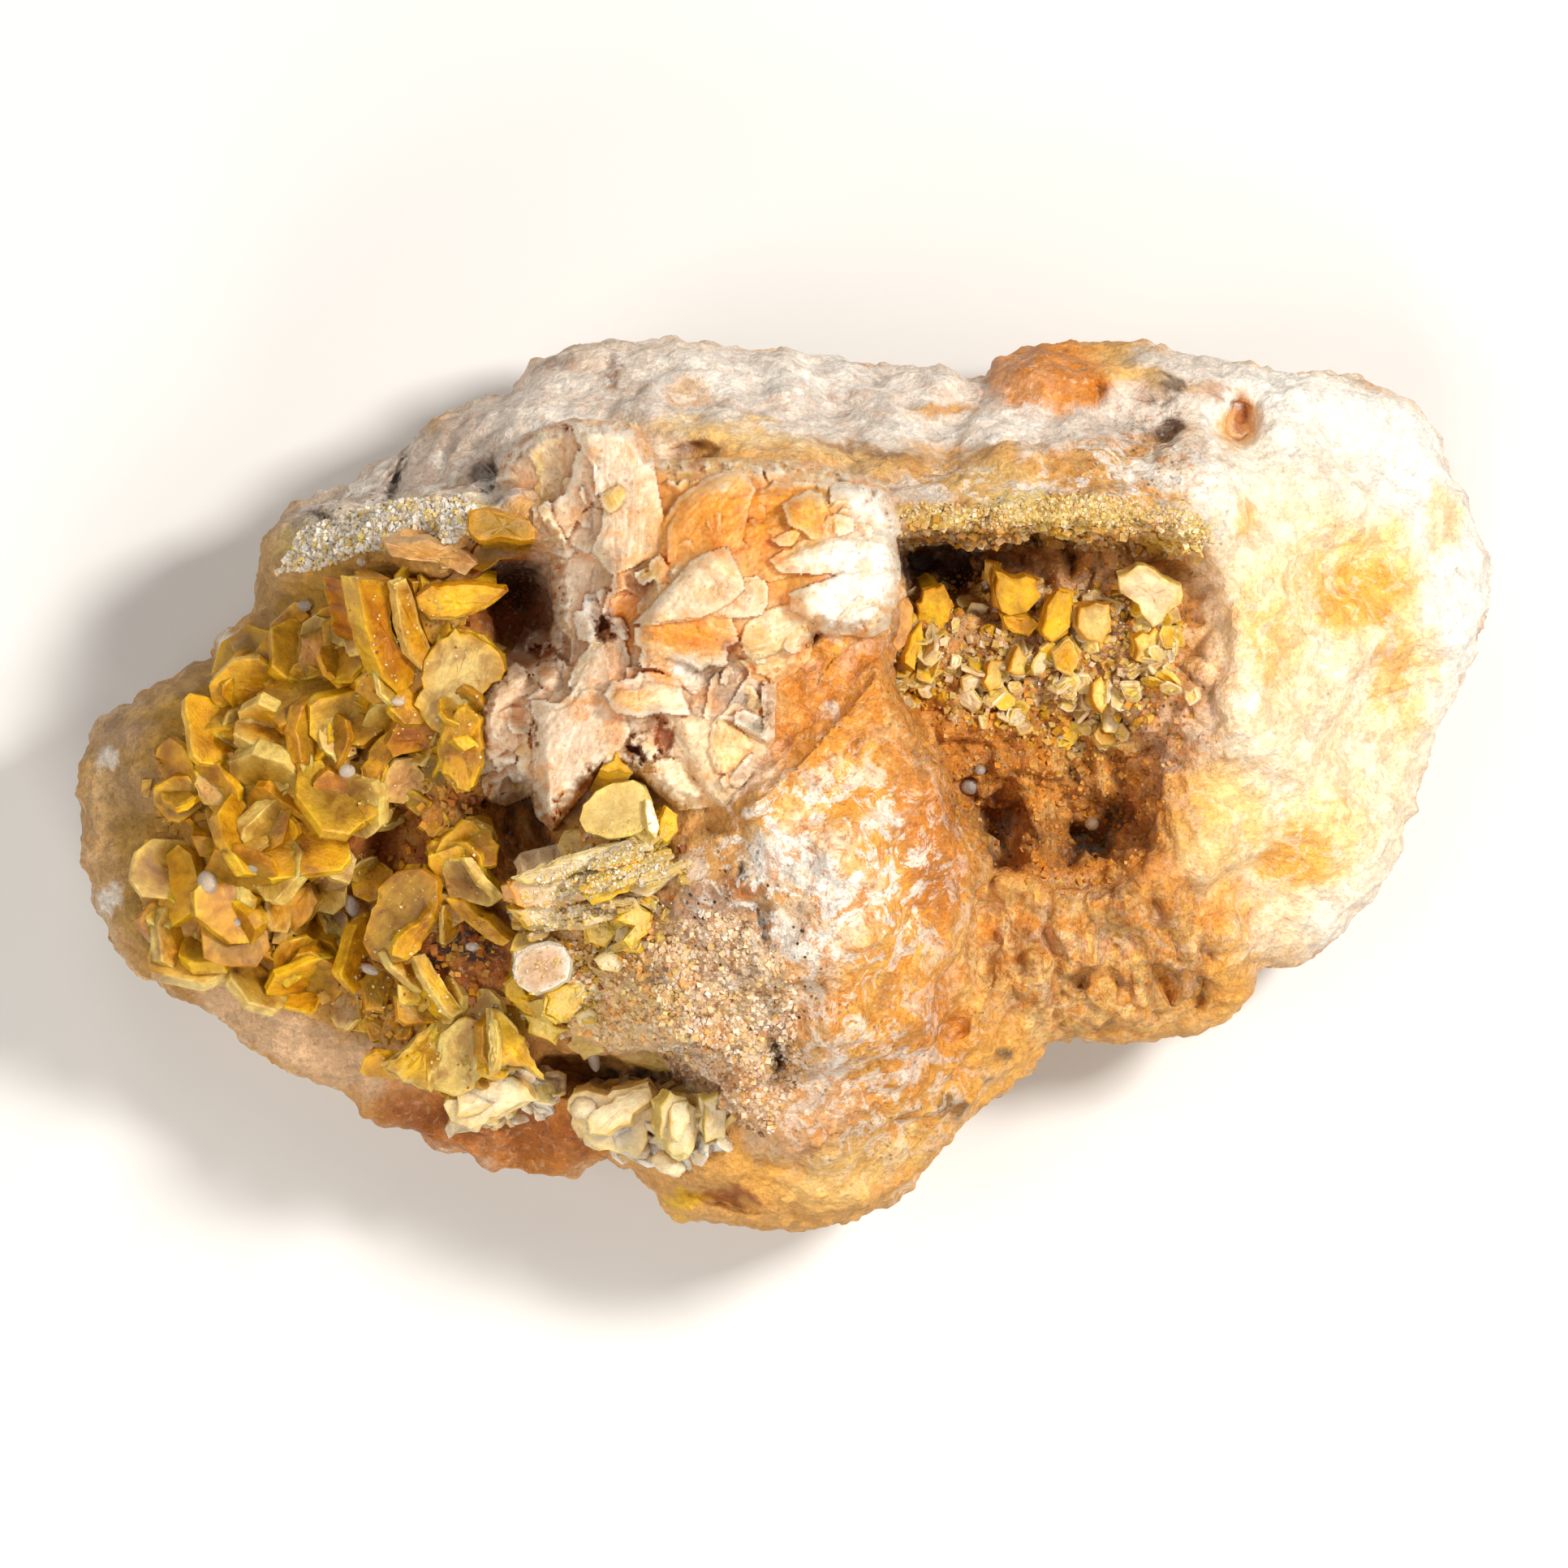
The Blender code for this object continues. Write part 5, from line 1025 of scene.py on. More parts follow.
DRUSE_SLABS = [
    # the big tablet and those beside it
    Slab([(-18.0, 8.65), (-16.9, 8.6), (-16.5, 8.3), (-16.7, 7.2), (-16.4, 6.2), (-15.9, 5.3), (-15.3, 4.8),
          (-15.7, 4.2), (-16.3, 3.8), (-16.9, 4.5), (-17.4, 5.6), (-17.6, 6.6), (-17.8, 7.6)],
         2.4, -20, 42, 1.35, "amber", "lemon"),
    Slab([(-16.4, 8.5), (-15.9, 8.6), (-15.6, 7.8), (-15.3, 6.6), (-14.9, 5.6), (-14.8, 5.0), (-15.3, 4.8),
          (-15.8, 5.4), (-16.1, 6.4), (-16.3, 7.4)], 2.7, -25, 46, 0.6, "honey", "straw"),
    Slab([(-15.7, 8.5), (-14.6, 8.7), (-13.8, 8.2), (-14.2, 7.0), (-13.9, 6.2), (-14.9, 5.8), (-15.4, 6.8)],
         1.4, -40, 30, 0.8, "olive", "honey"),
    Slab([(-15.5, 7.9), (-14.9, 8.3), (-13.6, 8.42), (-12.6, 8.35), (-11.75, 8.2), (-12.4, 7.7),
          (-13.2, 7.25), (-14.2, 7.0), (-15.0, 7.05), (-15.4, 7.4)],
         3.0, -84, 30, 0.55, "lemon", "honey", 3, 0.02),
    Slab([(-15.2, 5.2), (-14.6, 6.1), (-13.9, 6.5), (-13.0, 6.3), (-12.5, 5.9), (-11.9, 5.3), (-11.9, 4.7),
          (-12.5, 4.0), (-13.2, 3.1), (-13.9, 2.6), (-14.6, 2.1), (-15.2, 2.6), (-15.6, 3.4), (-15.3, 4.4)],
         2.0, 215, 14, 0.8, "sugar", "lemon", 2, 0.06),
    Slab([(-13.2, 11.5), (-12.4, 11.6), (-11.7, 11.4), (-10.8, 11.1), (-10.5, 10.8), (-10.5, 10.35),
          (-11.1, 10.3), (-11.9, 10.4), (-12.8, 10.3), (-13.3, 10.8)],
         1.4, 80, 16, 0.9, "olive", "honey", 2),
    Slab([(-13.4, 9.2), (-13.0, 10.0), (-12.2, 10.4), (-10.9, 10.1), (-11.0, 9.6), (-12.0, 9.5),
          (-12.7, 9.0)], 1.0, -70, 34, 0.6, "moss", "honey"),
    Slab([(-16.8, 10.1), (-15.0, 10.2), (-13.6, 10.0), (-12.9, 9.2), (-13.4, 8.8), (-14.6, 9.3),
          (-15.8, 9.5), (-16.6, 9.6)], 0.5, -80, 38, 0.6, "tan", "clay", 1, 0.05),
    # right of the pocket's middle
    Slab([(-18.0, -0.2), (-17.9, 0.8), (-17.4, 1.7), (-16.6, 2.4), (-15.7, 2.7), (-15.4, 2.4), (-16.2, 1.8),
          (-16.7, 1.0), (-17.0, 0.2), (-17.2, -0.6), (-17.3, -1.4), (-17.7, -1.6), (-18.0, -1.0)],
         2.1, 150, 24, 0.9, "honey", "lemon", 1, 0.05),
    Slab([(-16.4, 2.5), (-15.6, 2.7), (-14.9, 2.5), (-14.3, 1.9), (-14.5, 1.4), (-15.6, 1.4), (-16.5, 1.1),
          (-16.8, 1.6)], 1.7, -60, 34, 0.6, "amber", "honey"),
    Slab([(-16.5, 1.0), (-15.7, 1.1), (-15.2, 0.4), (-15.2, -0.4), (-16.1, -0.8), (-16.9, -0.8),
          (-17.0, 0.0)], 1.2, -50, 24, 0.5, "tan", "straw"),
    Slab([(-14.6, 1.7), (-14.3, 2.8), (-13.5, 3.3), (-12.9, 2.8), (-12.8, 1.6), (-12.9, 0.6), (-13.2, -0.2),
          (-13.8, -0.3), (-14.4, 0.6)], 1.6, 190, 24, 0.6, "honey", "lemon", 2, 0.05),
    Slab([(-13.9, 1.9), (-13.4, 2.1), (-12.9, 1.7), (-13.4, 1.4)], 2.3, 20, 30, 0.25, "lemon", "lemon"),
    Slab([(-14.0, 0.5), (-13.4, 1.1), (-13.0, 0.4), (-13.3, -0.2), (-13.8, -0.2)],
         2.1, -30, 44, 0.25, "straw", "lemon"),
    Slab([(-15.6, 1.3), (-14.6, 1.2), (-14.3, 0.4), (-14.5, -0.3), (-15.2, 0.3)],
         0.9, 210, 40, 0.4, "moss", "olive"),
    # plates left of the centre
    Slab([(-14.6, -3.0), (-14.0, -2.2), (-13.3, -1.85), (-12.5, -2.0), (-12.1, -2.6), (-12.1, -3.3),
          (-12.7, -3.5), (-13.4, -3.4)], 1.9, 100, 18, 0.6, "honey", "lemon", 1, 0.04),
    Slab([(-14.5, -3.1), (-13.8, -3.2), (-13.2, -3.6), (-12.6, -4.3), (-12.0, -5.0), (-12.6, -5.2),
          (-13.4, -5.0), (-14.2, -4.8), (-14.4, -4.0)], 1.5, 215, 22, 0.5, "olive", "straw", 1, 0.04),
    Slab([(-13.6, -3.1), (-13.2, -3.1), (-12.6, -3.9), (-11.8, -4.8), (-12.1, -4.9), (-12.9, -4.2)],
         2.3, 40, 30, 0.4, "straw", "straw", 1, 0.02),
    Slab([(-14.3, -4.8), (-13.6, -5.0), (-12.9, -5.6), (-12.2, -6.1), (-11.6, -6.7), (-11.9, -6.95),
          (-12.6, -6.6), (-13.4, -5.9), (-14.1, -5.2)], 1.8, 225, 26, 1.0, "honey", "lemon", 1, 0.03),
    Slab([(-17.2, -4.4), (-16.4, -3.7), (-15.4, -3.6), (-14.7, -4.1), (-14.6, -5.0), (-15.0, -6.0),
          (-15.6, -6.8), (-16.0, -7.5), (-16.8, -7.6), (-17.6, -7.3), (-17.9, -6.7), (-17.6, -5.7),
          (-17.3, -5.0)], 2.2, 200, 22, 0.9, "olive", "honey", 2),
    Slab([(-16.4, -6.6), (-15.4, -5.9), (-14.9, -5.2), (-14.8, -5.8), (-15.4, -7.0), (-15.9, -7.5),
          (-16.6, -7.3)], 2.3, -50, 34, 0.5, "honey", "lemon"),
    Slab([(-15.7, -7.3), (-15.2, -7.2), (-14.4, -8.4), (-13.6, -9.7), (-14.0, -9.9), (-14.7, -9.1),
          (-15.4, -8.0)], 1.8, 30, 34, 0.5, "lemon", "straw", 1, 0.02),
    Slab([(-16.4, -8.6), (-15.5, -8.4), (-14.6, -9.4), (-14.2, -9.9), (-15.2, -9.8), (-16.3, -9.4)],
         0.9, -60, 28, 0.4, "lemon", "straw"),
    Slab([(-17.0, -12.0), (-16.0, -11.2), (-15.3, -10.4), (-14.5, -9.9), (-14.0, -10.1), (-14.5, -11.2),
          (-14.9, -12.2), (-15.2, -12.9), (-16.1, -12.6)], 1.8, 150, 30, 0.6, "lemon", "straw", 3, 0.05),
    Slab([(-14.9, -11.6), (-14.5, -10.6), (-13.8, -10.0), (-13.2, -9.9), (-12.6, -10.4), (-12.6, -11.6),
          (-12.8, -12.4), (-13.2, -13.0), (-14.0, -13.3), (-14.7, -13.0), (-15.0, -12.4)],
         2.4, -110, 20, 1.0, "straw", "straw", 2, 0.04),
    Slab([(-12.4, -9.5), (-11.9, -9.7), (-11.3, -10.3), (-10.7, -11.5), (-10.1, -12.6), (-10.9, -12.0),
          (-11.7, -11.9), (-12.3, -12.1), (-12.4, -10.8)], 2.0, -10, 32, 0.6, "lemon", "straw", 1, 0.04),
    Slab([(-12.5, -9.8), (-12.2, -10.0), (-12.1, -11.2), (-12.2, -12.2), (-12.5, -12.3)],
         2.4, 180, 30, 0.5, "straw", "straw"),
    # the far left, out of focus in the picture
    Slab([(-23.2, 2.4), (-22.4, 3.2), (-21.0, 3.3), (-20.6, 2.4), (-20.5, 1.2), (-20.9, 0.4), (-21.6, 0.2),
          (-22.6, 0.8), (-23.0, 1.5)], 1.3, 215, 20, 0.8, "amber", "straw", 2),
    Slab([(-20.9, 3.2), (-20.4, 2.8), (-20.0, 1.5), (-19.9, 0.2), (-20.3, 0.1), (-20.6, 1.4)],
         1.7, 20, 34, 0.6, "straw", "honey"),
    Slab([(-19.8, 2.7), (-19.0, 2.9), (-18.2, 2.3), (-18.1, 1.3), (-19.0, 0.9), (-19.6, 1.6)],
         1.2, 40, 22, 0.7, "tan", "straw", 2),
    Slab([(-20.4, 6.2), (-19.2, 6.6), (-18.5, 5.4), (-18.2, 4.2), (-19.2, 3.5), (-20.2, 4.2), (-20.6, 5.2)],
         1.0, -40, 26, 0.7, "tan", "olive", 1),
    Slab([(-20.0, 0.0), (-19.3, 0.6), (-18.5, 0.3), (-18.2, -0.7), (-18.8, -1.6), (-19.8, -1.3)],
         1.1, -70, 26, 0.7, "amber", "honey", 2),
    Slab([(-23.6, -1.4), (-22.4, -1.0), (-21.2, -0.9), (-20.3, -1.2), (-21.2, -1.8), (-22.4, -2.2),
          (-23.5, -2.3)], 1.1, 100, 30, 0.6, "honey", "olive", 2),
    Slab([(-25.2, -2.2), (-24.2, -2.3), (-23.2, -2.5), (-22.8, -3.0), (-23.6, -3.4), (-24.8, -3.1)],
         1.0, -80, 28, 0.6, "lemon", "honey"),
    Slab([(-21.6, -5.0), (-21.0, -4.3), (-20.2, -4.2), (-19.8, -5.0), (-20.3, -5.8), (-20.9, -6.3),
          (-21.5, -5.8)], 1.6, 210, 20, 0.8, "honey", "olive", 2),
    Slab([(-19.9, -4.4), (-19.3, -4.4), (-18.9, -5.8), (-18.5, -7.2), (-18.7, -7.9), (-19.3, -7.4),
          (-19.7, -6.0), (-20.0, -5.0)], 1.3, 30, 30, 0.6, "straw", "honey"),
    Slab([(-19.4, -2.4), (-18.7, -2.2), (-18.2, -3.2), (-18.4, -4.2), (-19.2, -4.0), (-19.8, -3.2)],
         1.0, 60, 24, 0.6, "clay", "straw"),
    Slab([(-21.6, -2.6), (-20.4, -2.2), (-19.9, -3.0), (-20.4, -3.8), (-21.4, -3.6)],
         1.0, 120, 26, 0.6, "honey", "straw"),
    Slab([(-24.0, -4.6), (-23.0, -4.2), (-22.4, -4.9), (-22.6, -5.8), (-23.4, -6.0), (-24.0, -5.4)],
         1.1, 190, 22, 0.7, "straw", "lemon", 2),
    Slab([(-25.9, -5.9), (-24.8, -5.6), (-23.8, -6.2), (-22.6, -6.9), (-23.6, -7.6), (-25.2, -7.4),
          (-26.0, -6.8)], 0.8, -110, 22, 0.6, "honey", "straw"),
    Slab([(-26.2, -3.6), (-25.6, -3.3), (-25.0, -4.4), (-24.8, -5.4), (-25.6, -5.5), (-26.2, -4.8)],
         0.9, 60, 26, 0.6, "lemon", "lemon"),
    Slab([(-24.8, 0.6), (-24.1, 0.9), (-23.6, 0.0), (-24.0, -0.9), (-24.7, -0.8), (-25.1, 0.0)],
         0.9, 160, 22, 0.6, "tan", "straw"),
    Slab([(-23.6, 6.0), (-22.6, 6.6), (-21.6, 6.0), (-21.0, 4.8), (-22.0, 4.6), (-23.2, 5.0)],
         0.5, 120, 20, 0.6, "olive", "clay"),
    Slab([(-18.0, -8.4), (-17.2, -7.6), (-16.6, -8.4), (-17.0, -9.6), (-17.8, -9.6)],
         0.9, 100, 26, 0.5, "olive", "honey"),
    Slab([(-19.0, -9.0), (-18.2, -8.8), (-18.0, -10.0), (-18.8, -10.6), (-19.4, -10.0)],
         0.7, 150, 24, 0.5, "clay", "straw"),
]
CENTRE_SLABS = [
    Slab([(-8.4, -0.9), (-7.9, -0.3), (-7.2, 0.05), (-6.4, 0.15), (-5.9, -0.1), (-5.6, -0.8), (-5.7, -1.8),
          (-6.4, -2.2), (-7.4, -2.3), (-8.3, -2.0), (-8.6, -1.5)],
         2.6, 120, 10, 0.8, "sugar", "straw", 2, 0.02),
    Slab([(-9.5, -2.6), (-9.2, -2.0), (-8.6, -1.9), (-8.1, -2.2), (-8.1, -2.8), (-8.6, -3.2), (-9.3, -3.1)],
         2.0, 150, 12, 0.7, "sugar", "straw", 2, 0.02),
    Slab([(-5.8, -0.6), (-5.55, -0.65), (-5.2, -1.8), (-5.35, -2.3), (-5.7, -1.9), (-5.8, -1.2)],
         3.0, 30, 24, 0.4, "white", "straw", 1, 0.01),
    Slab([(-4.9, -1.0), (-4.5, -1.3), (-4.4, -2.0), (-4.9, -2.5), (-5.3, -2.3), (-5.2, -1.5)],
         2.1, -20, 22, 0.5, "lemon", "lemon"),
    Slab([(-6.6, -1.9), (-5.6, -2.0), (-5.2, -2.4), (-5.8, -3.0), (-6.4, -2.7)],
         2.4, 200, 26, 0.3, "straw", "straw", 1, 0.06),
    Slab([(-11.3, -4.0), (-10.4, -3.6), (-9.2, -3.1), (-7.4, -2.6), (-6.4, -2.3), (-5.9, -2.4),
          (-5.9, -2.8), (-6.8, -3.1), (-8.2, -3.5), (-9.6, -4.0), (-10.8, -4.2)],
         2.7, 104, 26, 0.35, "cream", "straw", 3, 0.04),
    Slab([(-11.6, -4.3), (-11.0, -4.1), (-9.5, -3.7), (-7.8, -3.2), (-6.3, -2.9), (-5.9, -3.3),
          (-6.2, -4.1), (-7.4, -4.6), (-8.8, -5.0), (-10.2, -5.2), (-11.2, -5.0)],
         2.3, -76, 24, 0.4, "cream", "saffron", 4, 0.06),
    Slab([(-8.6, -4.4), (-7.0, -3.7), (-6.2, -3.3), (-5.6, -3.6), (-6.6, -4.6), (-8.0, -5.1)],
         2.5, -70, 30, 0.4, "lemon", "lemon", 1, 0.04),
    Slab([(-6.3, -2.9), (-5.2, -3.1), (-4.2, -3.6), (-4.8, -4.1), (-5.8, -4.7), (-6.6, -4.5), (-6.4, -3.6)],
         1.7, -60, 20, 0.4, "straw", "cream", 3, 0.06),
    Slab([(-10.2, -5.2), (-8.8, -5.0), (-7.2, -4.7), (-6.6, -5.0), (-7.4, -5.6), (-8.8, -6.0), (-9.8, -6.2),
          (-10.8, -6.0), (-11.4, -5.3)], 1.6, -80, 30, 0.4, "cream", "lemon", 3, 0.09),
    Slab([(-11.6, -7.0), (-11.3, -6.3), (-10.4, -6.1), (-9.4, -6.5), (-9.8, -6.9), (-10.8, -7.2)],
         1.5, 90, 18, 0.5, "sugar", "lemon"),
    Slab([(-8.0, -7.4), (-7.5, -7.1), (-6.9, -7.2), (-6.6, -7.6), (-7.0, -7.95), (-7.7, -7.9)],
         1.1, -90, 16, 0.6, "cream", "straw", 1, 0.02),
    Slab([(-6.9, -5.6), (-6.2, -5.0), (-5.6, -5.4), (-5.7, -6.3), (-6.4, -6.9), (-6.7, -6.6), (-6.2, -6.0)],
         1.3, 30, 30, 0.4, "straw", "lemon", 2, 0.06),
    Slab([(-8.3, -6.0), (-7.4, -5.8), (-7.0, -6.4), (-7.6, -6.9), (-8.2, -6.6)],
         1.0, -60, 24, 0.4, "straw", "lemon", 2, 0.06),
    Slab([(-11.8, -8.6), (-11.4, -8.3), (-10.9, -8.9), (-9.8, -8.9), (-9.6, -9.5), (-10.2, -9.9),
          (-11.0, -9.7), (-11.6, -9.2)], 1.5, -70, 26, 0.35, "lemon", "lemon", 2, 0.08),
    Slab([(-9.8, -8.8), (-9.0, -8.3), (-8.3, -8.8), (-8.7, -9.5), (-9.4, -10.1), (-9.9, -9.6)],
         1.4, 10, 34, 0.3, "straw", "lemon", 2, 0.08),
    Slab([(-10.9, -9.8), (-9.9, -9.9), (-9.2, -10.4), (-9.8, -10.9), (-10.8, -10.6)],
         1.0, -100, 30, 0.3, "straw", "lemon", 2, 0.08),
    Slab([(-7.7, -10.7), (-6.6, -10.6), (-5.2, -11.1), (-4.0, -11.6), (-3.3, -12.0), (-4.2, -12.3),
          (-5.4, -12.2), (-6.6, -11.9), (-7.6, -11.5)], 0.8, -100, 18, 0.7, "sugar", "olive", 2, 0.04),
    Slab([(-8.9, -10.6), (-7.7, -10.7), (-7.6, -11.4), (-8.4, -11.7), (-9.2, -11.2)],
         0.9, -100, 24, 0.5, "straw", "sugar"),
]
GLASSY_SLABS = [
    Slab([(-11.4, -8.0), (-11.3, -7.3), (-10.6, -6.9), (-9.9, -6.8), (-9.3, -6.9), (-9.0, -7.4),
          (-9.1, -8.2), (-9.7, -8.6), (-10.6, -8.9), (-11.2, -8.5)],
         2.2, 150, 14, 0.9, "rose", "white", 2, 0.02),
    Slab([(-7.7, 0.7), (-7.2, 0.95), (-7.0, 1.4), (-6.8, 0.95), (-6.3, 0.5), (-6.9, 0.6), (-7.3, 0.5)],
         2.9, 60, 20, 0.3, "lemon", "honey"),
]
MILKY_LEFT_SLABS = [
    Slab([(-14.5, -13.6), (-13.9, -13.4), (-13.4, -12.9), (-12.6, -12.4), (-11.6, -12.4), (-10.9, -12.8),
          (-10.6, -13.4), (-11.6, -13.8), (-12.5, -14.3), (-13.3, -14.7), (-14.2, -14.4)],
         2.0, -100, 18, 1.2, "cream", "peach", 2, 0.06),
    Slab([(-13.9, -13.3), (-13.0, -12.7), (-12.2, -12.6), (-12.2, -13.4), (-13.0, -14.0), (-13.8, -14.1)],
         2.3, 60, 22, 0.6, "cream", "peach", 1, 0.06),
]
MILKY_RIGHT_SLABS = [
    Slab([(-9.1, -13.4), (-8.6, -12.9), (-7.6, -13.2), (-6.6, -12.9), (-5.8, -12.7), (-5.4, -13.2),
          (-5.5, -14.2), (-5.9, -15.2), (-6.3, -15.9), (-7.1, -15.6), (-8.2, -15.4), (-8.9, -14.6)],
         1.3, -100, 16, 1.0, "cream", "peach", 2, 0.08),
    Slab([(-8.3, -14.0), (-7.4, -13.5), (-6.4, -13.0), (-5.7, -12.8), (-5.6, -13.3), (-6.6, -14.3),
          (-7.6, -14.9), (-8.3, -14.8)], 1.9, 130, 20, 0.8, "cream", "peach", 2, 0.06),
    Slab([(-7.2, -14.8), (-6.4, -14.4), (-6.0, -15.0), (-6.3, -15.9), (-7.0, -15.7)],
         1.6, -60, 26, 0.6, "white", "cream", 1, 0.06),
    Slab([(-8.1, -12.9), (-7.4, -12.6), (-6.4, -12.5), (-5.7, -12.7), (-6.6, -12.9), (-7.5, -13.2)],
         1.7, 80, 30, 0.5, "apricot", "peach"),
    Slab([(-5.2, -13.6), (-4.8, -13.1), (-4.2, -13.2), (-3.7, -13.8), (-3.6, -14.8), (-3.9, -15.8),
          (-4.6, -15.8), (-5.2, -15.0)], 1.8, -30, 26, 0.9, "cream", "straw", 2, 0.06),
    Slab([(-4.7, -13.5), (-4.0, -13.4), (-3.9, -14.3), (-4.5, -15.2), (-4.9, -14.6)],
         2.3, 40, 20, 0.5, "cream", "peach", 1, 0.05),
    Slab([(-3.4, -13.4), (-2.8, -13.3), (-2.3, -14.0), (-2.6, -15.0), (-3.3, -15.2)],
         1.2, -60, 24, 0.6, "cream", "straw", 2, 0.06),
]
MILKY_RIGHT_LUMPS = [
    Lump(-8.5, -13.8, 1.5, (0.6, 0.5, 0.5), 0, "cream", 0.12),
    Lump(-6.4, -15.5, 0.9, (0.8, 0.5, 0.7), -20, "blush", 0.16),
    Lump(-4.9, -16.2, 0.5, (0.8, 0.5, 0.6), -30, "cream", 0.2),
    Lump(-7.9, -15.1, 1.2, (0.7, 0.5, 0.5), 10, "blush", 0.16),
]
CLEAR_LUMPS = [
    Lump(-8.1, -11.7, 1.6, (0.26, 0.6, 0.3), 14, "white", 0.02),
    Lump(-24.5, -4.2, 1.6, (0.45, 0.55, 0.4), 10, "white", 0.05),
    Lump(-22.5, -3.5, 1.5, (0.4, 0.3, 0.3), 30, "white", 0.05),
    Lump(-23.3, -5.9, 1.3, (0.25, 0.25, 0.25), 0, "white", 0.05),
    Lump(-18.5, 0.55, 1.5, (0.35, 0.3, 0.3), 0, "white", 0.05),
    Lump(-20.4, 7.6, 0.5, (0.3, 0.26, 0.26), 0, "white", 0.05),
    Lump(-17.9, 9.4, 0.6, (0.18, 0.18, 0.18), 0, "white", 0.05),
    Lump(-16.3, 3.5, 2.2, (0.3, 0.2, 0.2), 0, "white", 0.05),
    Lump(-17.6, -7.9, 1.2, (0.4, 0.2, 0.2), -20, "white", 0.05),
    Lump(8.0, -0.1, 0.3, (0.42, 0.36, 0.36), 0, "white", 0.05),
    Lump(8.4, 0.6, 0.3, (0.25, 0.22, 0.22), 0, "white", 0.05),
    Lump(13.2, -1.7, 0.4, (0.3, 0.3, 0.3), 0, "cream", 0.05),
    Lump(-13.2, -6.9, 0.9, (0.3, 0.2, 0.2), 0, "white", 0.05),
    Lump(-18.4, -5.2, 1.3, (0.3, 0.5, 0.3), 20, "white", 0.05),
]
VUG_SLABS = [
    Slab([(9.0, 9.0), (9.7, 8.8), (10.7, 8.7), (10.9, 8.0), (10.4, 7.3), (9.6, 7.1), (9.1, 7.6)],
         2.0, -60, 22, 0.8, "lemon", "honey", 2, 0.05),
    Slab([(8.5, 9.5), (9.0, 9.4), (9.2, 8.6), (8.9, 8.1), (8.6, 8.6)], 1.8, 200, 30, 0.5, "straw", "honey"),
    Slab([(9.3, 7.2), (10.4, 7.2), (10.9, 6.8), (10.4, 6.3), (9.5, 6.5)],
         1.2, -80, 24, 0.5, "honey", "lemon", 2, 0.05),
    Slab([(11.1, 7.2), (11.7, 8.2), (12.3, 8.1), (12.3, 7.4), (12.0, 6.4), (11.4, 6.0), (11.0, 6.5)],
         1.9, -20, 26, 0.6, "lemon", "honey", 2, 0.05),
    Slab([(12.6, 7.5), (13.3, 7.65), (13.9, 7.6), (13.9, 6.6), (13.6, 6.0), (12.9, 6.1), (12.5, 6.7)],
         1.7, -60, 16, 0.8, "sugar", "honey", 2, 0.03),
    Slab([(14.2, 8.8), (15.0, 9.2), (15.8, 9.1), (16.4, 8.6), (16.9, 8.4), (16.8, 7.7), (16.3, 7.2),
          (15.8, 6.6), (15.4, 7.0), (15.1, 7.6), (14.4, 8.1)],
         2.0, -70, 18, 0.8, "cream", "straw", 2, 0.05),
    Slab([(4.4, 6.3), (4.5, 7.6), (5.0, 7.95), (5.5, 7.5), (5.5, 6.6), (5.2, 5.8), (4.6, 5.5)],
         1.2, 0, 22, 0.8, "tan", "apricot", 2, 0.05),
    Slab([(5.7, 7.0), (6.0, 8.2), (6.9, 8.4), (7.2, 7.6), (6.8, 6.4), (6.1, 6.2)],
         1.6, -60, 22, 0.6, "lemon", "honey", 2, 0.06),
    Slab([(5.2, 5.2), (5.5, 6.4), (5.9, 6.9), (6.0, 6.2), (5.6, 4.9)],
         1.1, 20, 34, 0.5, "lemon", "lemon", 1, 0.04),
    Slab([(5.2, 4.4), (6.0, 4.9), (6.9, 4.8), (6.2, 4.2), (5.4, 3.9)],
         0.9, -70, 30, 0.4, "straw", "honey", 1, 0.04),
    Slab([(8.5, 4.4), (8.9, 5.3), (9.3, 5.2), (9.2, 4.3), (8.8, 4.0)],
         1.2, 0, 26, 0.5, "straw", "honey", 1, 0.05),
    Slab([(9.6, 4.8), (10.0, 5.8), (10.5, 5.4), (10.3, 4.6)], 1.1, 0, 26, 0.5, "straw", "honey", 1, 0.05),
    Slab([(11.4, 5.6), (12.2, 6.2), (12.6, 5.4), (12.2, 4.6), (11.6, 4.9)],
         1.0, -60, 26, 0.5, "honey", "straw", 2, 0.05),
    Slab([(13.2, 4.3), (13.6, 4.6), (13.9, 3.7), (13.6, 3.0), (13.2, 3.4)],
         0.9, 0, 26, 0.5, "straw", "honey", 1, 0.05),
    Slab([(13.3, 2.2), (14.0, 3.2), (14.6, 2.8), (14.3, 1.8), (13.6, 1.6)],
         0.9, 30, 26, 0.5, "honey", "straw", 2, 0.05),
    Slab([(15.0, 6.2), (15.8, 6.6), (16.2, 5.8), (15.6, 4.9), (15.0, 5.3)],
         0.9, -40, 24, 0.5, "straw", "honey", 2, 0.06),
    Slab([(17.0, 3.9), (17.5, 4.1), (17.7, 3.6), (17.2, 3.3)],
         0.6, 180, 24, 0.4, "peach", "cream", 1, 0.04),
]


# ---------------------------------------------------------------- the barite in the middle

class Plate(NamedTuple):
    """A plate in the barite: its level above the rock, where its face leans to, and its colours."""

    outline: list
    level: float
    azimuth: float
    lean: float
    face: str
    rim: str
    ragged: float = 1.0
    dome: float = 0.0


